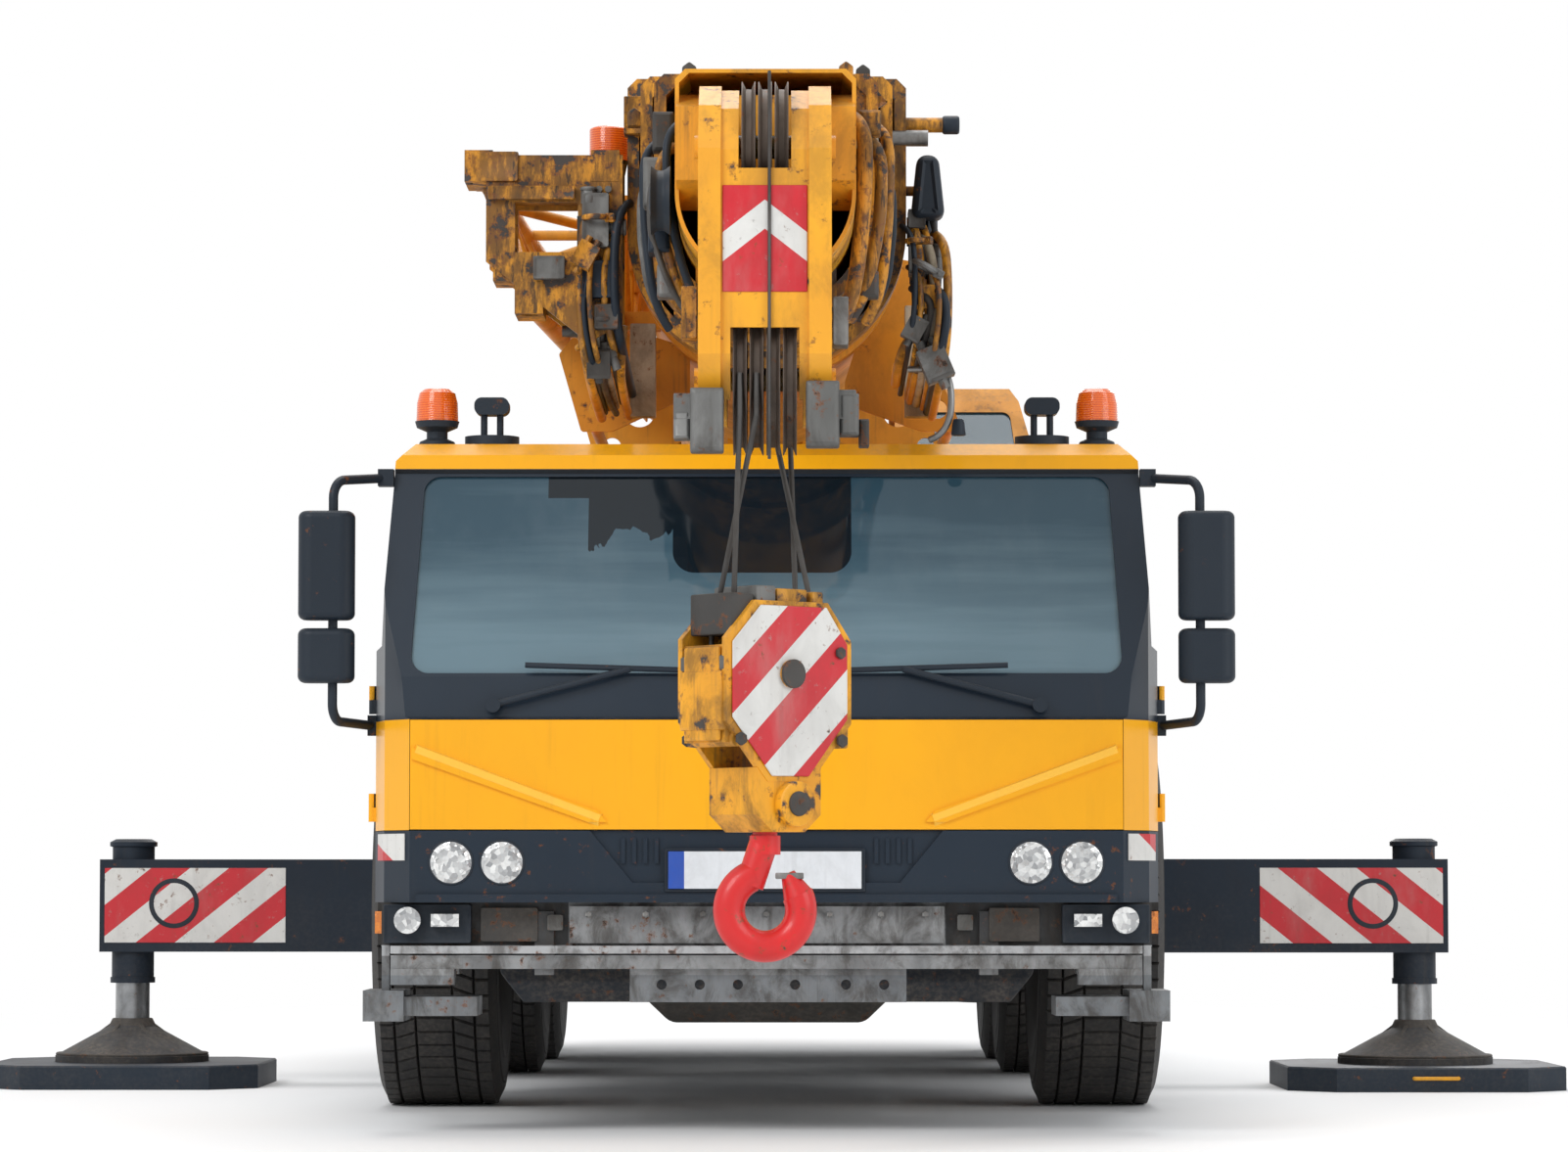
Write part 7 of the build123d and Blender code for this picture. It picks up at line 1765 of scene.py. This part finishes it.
for number, (x, y) in enumerate(((0.62, -2.95), (-0.62, -2.95), (0.0, 0.95), (0.0, 2.54))):
    tank = start_drum("air_tank_%d" % number, (x, y, TANK_Z), 0.125, 0.52, "Y", 32)
    pick(tank, square_to(1))
    bpy.ops.mesh.inset(thickness=0.05, use_individual=True)
    bpy.ops.transform.resize(value=(1, 1.12, 1), center_override=(x, y, TANK_Z))
    clear()
    for strap in (-0.15, 0.15):
        band = start_ring("band", (x, y + strap, TANK_Z), 0.126, 0.006, "Y", 32, 6)
        tank = join("air_tank_%d" % number, tank, band)
    fit(smooth(tank, 30), "carrier", "chassis paint")

# %% [markdown]
# ## Cab fittings
# Door handles, mouldings, grab rails and steps: small things that a hand
# would look for. Each is a bar or a cut box, placed once on the left and
# once on the right. A dark panel leaning behind the windscreen's top is a
# painted reflection: it stands in for a dark reflection in the glass.

# %% Handles, mouldings, rails, steps and a dark reflection panel
for side, way in (("left", 1), ("right", -1)):
    handle = start_box("door_handle_" + side, (way * 1.250, -2.600, 1.245),
                       (way * 1.264, -2.470, 1.285))
    sunk(handle, facing(x=way), 0.009, 0.005, (-way, 0, 0))
    fit(soften(handle, 0.004), "cab_door_" + side, "black moulding")
    seam = start_box("door_moulding_" + side, (way * 1.250, -3.410, 0.985),
                     (way * 1.257, -2.420, 1.010))
    sunk(seam, facing(x=way), 0.005, 0.002, (-way, 0, 0))
    fit(soften(seam, 0.002), "cab_door_" + side, "black moulding")
    rail = bar_along("cab_grab_rail_" + side, (
        (way * 1.262, -2.345, 1.00), (way * 1.298, -2.345, 1.02), (way * 1.298, -2.345, 1.70),
        (way * 1.225, -2.345, 1.72)), 0.012, 3)
    fit(rail, "carrier", "black moulding")
    for number, z in enumerate((0.480, 0.680)):
        tread = start_box("cab_step_%s_%d" % (side, number), (way * 1.050, -2.400, z),
                          (way * 1.235, -2.255, z + 0.028))
        pressed(tread, TOP, 0.014, 0.005)
        fit(soften(tread, 0.004), "carrier", "galvanised deck")
# a dark panel that stands in for the dark reflection at the windscreen's top: a painted reflection
REFLECTION_FOOT, GLASS_LEAN = 1.775, 0.3627
reflection_panel = start_box("sun_blind", (-0.300, -3.640, REFLECTION_FOOT), (0.270, -3.628, 2.060))
for point in reflection_panel.data.vertices:
    point.co.y += (point.co.z - REFLECTION_FOOT) * GLASS_LEAN + 0.060
fit(soften(reflection_panel, 0.010, 3), "carrier", "black moulding")

# %% [markdown]
# ## Deck, hood and superstructure
# Seen from above and behind, the deck carries filler caps, lashing eyes and
# a ladder at each side; the hood has hinges and latches; the counterweight
# has lifting eyes and plates; the power pack has doors with latches.

# %% Latches, hinges, lifting eyes and caps
PANELS = [  # name, body, low corner, high corner, inset, finish
    ("hood_hinge_%d" % n, "carrier", (x, -0.150, 1.615), (x + 0.12, -0.125, 1.640), 0.006,
     "worn steel") for n, x in enumerate((-0.30, 0.18))]
PANELS += [
    ("hood_latch_%d" % n, "carrier", (x, y, 1.400), (x + 0.011, y + 0.09, 1.450), 0.006,
     "black moulding")
    for n, (x, y) in enumerate((x, y) for x in (0.425, -0.436) for y in (-1.750, -0.700))]
PANELS += [
    ("pack_door_%d" % n, "superstructure", (-1.234, y, 1.800), (-1.226, end, 2.250), 0.014,
     "boom yellow") for n, (y, end) in enumerate(((1.7, 2.5), (2.6, 3.35)))]
PANELS += [
    ("pack_latch_%d" % n, "superstructure", (-1.242, y, 1.990), (-1.233, end, 2.070), 0.005,
     "black moulding") for n, (y, end) in enumerate(((2.43, 2.48), (3.29, 3.33)))]
PANELS += [
    ("weight_plate_%d" % n, "superstructure", (x, 5.2605, 1.830), (x + 0.6, 5.2645, 2.030),
     0.010, "boom yellow") for n, x in enumerate((-0.9, 0.3))]
PANELS.append(("crane_door_handle", "operator_door", (1.100, 2.080, 2.120),
               (1.124, 2.180, 2.150), 0.005, "black moulding"))
for name, body, low, high, inset, paint in PANELS:
    box = start_box(name, low, high)
    sunk(box, square_to(0, 1), inset)
    fit(soften(box, 0.003), body, paint)
for number, (x, y) in enumerate(((-0.95, 4.90), (0.95, 4.90), (-0.60, 5.05), (0.60, 5.05))):
    eye = start_ring("lifting_eye_%d" % number, (x, y, 2.205), 0.038, 0.013, "X", 24, 10)
    foot = start_drum("foot", (x, y, 2.176), 0.036, 0.018, "Z", 20, top=0.030)
    fit(smooth(join("lifting_eye_%d" % number, eye, foot), 40), "superstructure", "cast iron")
CAPS = ((0.80, -0.35, 0.055), (-0.80, -0.35, 0.055), (-0.90, -1.0, 0.045))  # x, y, radius
for number, (x, y, r) in enumerate(CAPS):
    cap = start_drum("filler_cap_%d" % number, (x, y, 1.456), r, 0.036, "Z", 28, top=r * 0.9)
    sunk(cap, facing(z=1), r * 0.3, 0.008)
    fit(soften(cap, 0.004), "carrier", "black moulding")

# %% [markdown]
# A ladder is two posts and four rungs made one. The slew ring is bolted down
# all round, which shows between the deck and the turntable.

# %% Deck ladders, lashing eyes and the slew ring's bolts
SLEW_Y, BOLT_CIRCLE, BOLT_COUNT = at(5.500), 0.622, 28
for side, way in (("left", 1), ("right", -1)):
    for number, y in enumerate((-1.9, -0.3, 1.0, 2.5, 4.2)):
        eye = start_ring("lashing_eye_%s_%d" % (side, number), (way * 1.215, y, 1.450), 0.028,
                         0.007, "Y", 20, 8)
        fit(smooth(eye, 40), "carrier", "worn steel")
    posts = [start_box("post", (way * 1.235, y - 0.02, 0.62), (way * 1.250, y + 0.02, 1.40))
             for y in (0.50, 0.86)]
    rungs = [bar_along("rung", ((way * 1.243, 0.50, z), (way * 1.243, 0.86, z)), 0.013)
             for z in (0.68, 0.90, 1.12, 1.32)]
    fit(join("deck_ladder_" + side, *[soften(p, 0.003, 1) for p in posts], *rungs), "carrier",
        "galvanised deck")
flange = start_drum("slew_flange", (0, SLEW_Y, 1.598), 0.642, 0.030, "Z", 64)
bolts = []
for number in range(BOLT_COUNT):
    turn = number * 2 * math.pi / BOLT_COUNT
    x, y = BOLT_CIRCLE * math.cos(turn), SLEW_Y + BOLT_CIRCLE * math.sin(turn)
    bolts.append(start_drum("bolt", (x, y, 1.620), 0.012, 0.020, "Z", 6))
fit(join("slew_flange", soften(flange, 0.004, 1), *bolts), "carrier", "cast iron")
print("sides, deck and rear dressed")

# %% [markdown]
# ## Fittings on the boom head's flanks
# The head section carries hose guides, valves and a sensor reel on its
# flanks, and clevises at the foot of its front plates. They ride on the
# head, in front of the next section's collar, so they clear it at every
# length of the boom.

# %% Flank fittings
def lump(name, low, high, inset, paint):
    """A cast block on the boom's tip: a box with sunk faces and rounded edges."""
    box = start_box(name, low, high)
    sunk(box, lambda place, way: way.y < -0.9 or abs(way.x) > 0.9, inset)
    sunk(box, facing(y=-1), inset, 0.008, (0, -1, 0))
    fit(soften(box, 0.006), "boom_tip", paint)


FLANKS = (  # name, low corner, high corner, inset, finish
    ("flank_valve_0", (-0.372, -4.46, 2.835), (-0.290, -4.36, 2.985), 0.012, "dull grey fitting"),
    ("flank_valve_1", (-0.356, -4.50, 2.690), (-0.290, -4.38, 2.815), 0.010, "dark panel"),
    ("flank_valve_2", (-0.330, -4.44, 2.560), (-0.275, -4.36, 2.660), 0.010, "dull grey fitting"),
    ("flank_block_0", (-0.345, -4.42, 3.010), (-0.280, -4.34, 3.130), 0.010, "cast iron"),
    ("flank_block_1", (0.282, -4.44, 2.560), (0.342, -4.36, 2.640), 0.010, "cast iron"),
    ("flank_block_2", (0.282, -4.42, 3.060), (0.350, -4.34, 3.135), 0.010, "boom yellow"),
    ("foot_clevis_0", (-0.214, -5.2645, 2.020), (-0.118, -5.185, 2.205), 0.014,
     "dull grey fitting"),
    ("foot_clevis_1", (0.118, -5.2645, 2.035), (0.214, -5.185, 2.225), 0.014, "dull grey fitting"),
    ("foot_clevis_2", (-0.262, -5.240, 2.060), (-0.214, -5.150, 2.140), 0.008, "worn steel"),
    ("foot_clevis_3", (0.214, -5.240, 2.070), (0.270, -5.150, 2.190), 0.008, "dull grey fitting"),
    ("foot_clevis_4", (0.270, -5.200, 2.040), (0.300, -5.140, 2.120), 0.006, "cast iron"),
)
for name, low, high, inset, paint in FLANKS:
    lump(name, low, high, inset, paint)
for number, (x, z) in enumerate(((-0.166, 2.150), (0.166, 2.165), (-0.166, 2.065), (0.166, 2.080))):
    pin = start_drum("clevis_pin_%d" % number, (x, -5.2625, z), 0.017, 0.004, "Y", 20)
    pressed(pin, FRONT, 0.005, 0.001)
    fit(soften(pin, 0.001, 1), "boom_tip", "cast iron")
REEL = Vector((-0.315, -4.62, 2.830))
reel = start_drum("sensor_reel", REEL, 0.105, 0.060, "X", 44)
pick(reel, lambda place, way: way.x < -0.9)
bpy.ops.mesh.inset(thickness=0.022)
bpy.ops.transform.translate(value=(0.018, 0, 0))
bpy.ops.mesh.inset(thickness=0.045)
bpy.ops.transform.translate(value=(-0.022, 0, 0))
clear()
scored(reel, ((-0.325, 0, 0), (1, 0, 0)), ((-0.305, 0, 0), (1, 0, 0)))
resized(reel, lambda place, way: abs(place.x - REEL.x) < 0.006 and abs(way.x) < 0.3,
        (1, 0.86, 0.86), REEL)
fit(soften(reel, 0.004), "boom_tip", "black moulding")

# %% [markdown]
# These pipes hang from the top of each flank and lean in towards the foot.
# Each rides on the section that it is clamped to.

# %% Hose guides and hanging pipes on the flanks
HANGERS = (  # name, body, x at the top, x at the foot, y, top z, foot z, radius, finish
    ("left_0", "boom_tip", -0.300, -0.236, -4.52, 3.06, 2.520, 0.013, "black moulding"),
    ("left_1", "boom_tip", -0.324, -0.262, -4.48, 2.99, 2.500, 0.016, "boom yellow"),
    ("left_2", "boom_tip", -0.350, -0.290, -4.50, 2.92, 2.520, 0.010, "rope wire"),
    ("right_0", "boom_tip", 0.300, 0.262, -4.50, 3.08, 2.470, 0.024, "boom yellow"),
    ("right_1", "boom_tip", 0.350, 0.300, -4.44, 3.02, 2.500, 0.020, "boom yellow"),
    ("right_2", "boom_section_3", 0.380, 0.352, -4.17, 3.10, 2.520, 0.017, "boom yellow"),
    ("right_3", "boom_section_3", 0.392, 0.372, -4.13, 2.96, 2.560, 0.012, "black moulding"),
    ("left_3", "boom_section_3", -0.378, -0.345, -4.17, 3.05, 2.500, 0.014, "black moulding"),
    ("left_4", "boom_section_3", -0.388, -0.362, -4.14, 2.95, 2.540, 0.012, "dull grey fitting"),
)
for name, body, x0, x1, y, top, foot, radius, paint in HANGERS:
    inward = 0.045 if x0 < 0 else -0.045
    path = ((x0 + inward, y + 0.06, top + 0.03), (x0, y, top), (x0, y - 0.004, top - 0.16),
            (x0 + (x1 - x0) * 0.2, y, (top + foot) / 2), (x1, y, foot + 0.06),
            (x1 + inward, y + 0.06, foot))
    fit(bar_along("flank_pipe_" + name, path, radius, 3, 4), body, paint)
rope = bar_along("sign_rope", [(0.013, -5.2585, z) for z in (3.12, 2.60, 2.00)], 0.0048)
fit(rope, "boom_tip", "rope wire")
for number, (x, y, z, body) in enumerate((
        (-0.418, -3.80, 3.205, "boom_section_2"), (-0.235, -4.30, 3.270, "boom_tip"),
        (0.245, -4.30, 3.272, "boom_tip"), (0.300, -4.10, 3.295, "boom_section_3"))):
    lug = start_box("collar_lug_%d" % number, (x - 0.022, y - 0.030, z - 0.03),
                    (x + 0.022, y + 0.030, z + 0.03))
    sliced(lug, ((x + 0.022, y, z + 0.012), (0.6, 0, 0.8)),
           ((x - 0.022, y, z + 0.012), (-0.6, 0, 0.8)))
    fit(soften(lug, 0.005), body, "cast iron" if number % 2 else "boom yellow")
print("boom head flanks dressed")

# %% [markdown]
# ## The studio
# A pale floor, a white surround and soft lamps at a plain level, so that a
# colour comes out about as it is written. The floor keeps the shadow near
# the crane and, further off, shows the camera plain white; that is done
# with Light Path in the floor's own material.

# %% Floor
def shown(tree):
    """1 for the rays that show the thing itself, 0 for those that only light others."""
    ray = node(tree, "ShaderNodeLightPath").outputs
    looks = maths(tree, "MAXIMUM", ray["Is Camera Ray"], ray["Is Glossy Ray"])
    return maths(tree, "MAXIMUM", looks, ray["Is Transmission Ray"])


def glow(tree, kind, colour, strength):
    """An Emission or a Background shader."""
    made = node(tree, "ShaderNode" + kind)
    fed(tree, made.inputs["Color"], colour)
    made.inputs["Strength"].default_value = strength
    return made


def swapped(tree, amount, first, second, out):
    """Mix two shaders by an amount and feed the output's Surface."""
    both = node(tree, "ShaderNodeMixShader")
    link(tree, amount, both.inputs[0])
    link(tree, first.outputs[0], both.inputs[1])
    link(tree, second.outputs[0], both.inputs[2])
    link(tree, both.outputs[0], out.inputs["Surface"])


clear()
bpy.ops.mesh.primitive_plane_add(size=160, location=(0, 0, 0))
floor = bpy.context.object
floor.name = "studio_floor"
everything(floor)
bpy.ops.mesh.subdivide(number_cuts=3)
clear()
tree, shader = principled("pale floor")
surface(tree, shader, (0.93, 0.93, 0.93), 0.85, Specular_IOR_Level=0.1)
far = node(tree, "ShaderNodeVectorMath", operation="LENGTH")
link(tree, stretched(tree, (0.16, 0.07, 0.0)), far.inputs[0])
fade = times(tree, ranged(tree, far.outputs["Value"], 0.45, 1.05), shown(tree))
swapped(tree, fade, shader, glow(tree, "Emission", (1, 1, 1), 1.0),
        tree.nodes["Material Output"])
floor.data.materials.append(finish["pale floor"])
print("floor laid")

# %% [markdown]
# The surround lights the crane evenly and looks white. Four soft area lamps
# give it form: a key, a fill, one above and one behind.

# %% Surround and lamps
world = bpy.data.worlds.new("white studio")
bpy.context.scene.world = world
world.use_nodes = True
tree = world.node_tree
tree.nodes.clear()
swapped(tree, shown(tree), glow(tree, "Background", (0.94, 0.97, 1.0), 0.56),
        glow(tree, "Background", (1, 1, 1), 1.0), node(tree, "ShaderNodeOutputWorld"))

LAMPS = (  # name, place, aimed at, width, power
    ("key", (-9.0, -15.0, 10.5), (0, -2.5, 1.2), 7.0, 1300.0),
    ("fill", (12.0, -13.0, 6.0), (0, -2.0, 1.2), 9.0, 700.0),
    ("top", (0.0, 1.0, 13.0), (0, 0.5, 0.0), 9.0, 850.0),
    ("back", (3.0, 15.0, 8.0), (0, 3.0, 1.2), 8.0, 700.0),
)
for name, place, aim, width, power in LAMPS:
    lamp = bpy.data.lights.new(name, "AREA")
    lamp.size = width
    lamp.energy = power
    holder = placed(name, lamp)
    holder.location = place
    holder.rotation_euler = (Vector(aim) - Vector(place)).to_track_quat("-Z", "Y").to_euler()
bpy.context.scene.view_settings.view_transform = "Standard"

# %% [markdown]
# The camera stands low and far in front and looks slightly up, with a long
# lens, so the crane's front keeps its true proportions.

# %% Camera
camera_data = bpy.data.cameras.new("front view")
camera = placed("front view", camera_data)
camera.location = (0.055, -19.785, 0.78)
camera.rotation_euler = (math.radians(90 + 3.483), 0, 0)
camera_data.lens = 116.9
camera_data.sensor_width = 36
camera_data.clip_end = 400
bpy.context.scene.camera = camera

# %% [markdown]
# The last cell closes the scene.

# %% The end
clear()
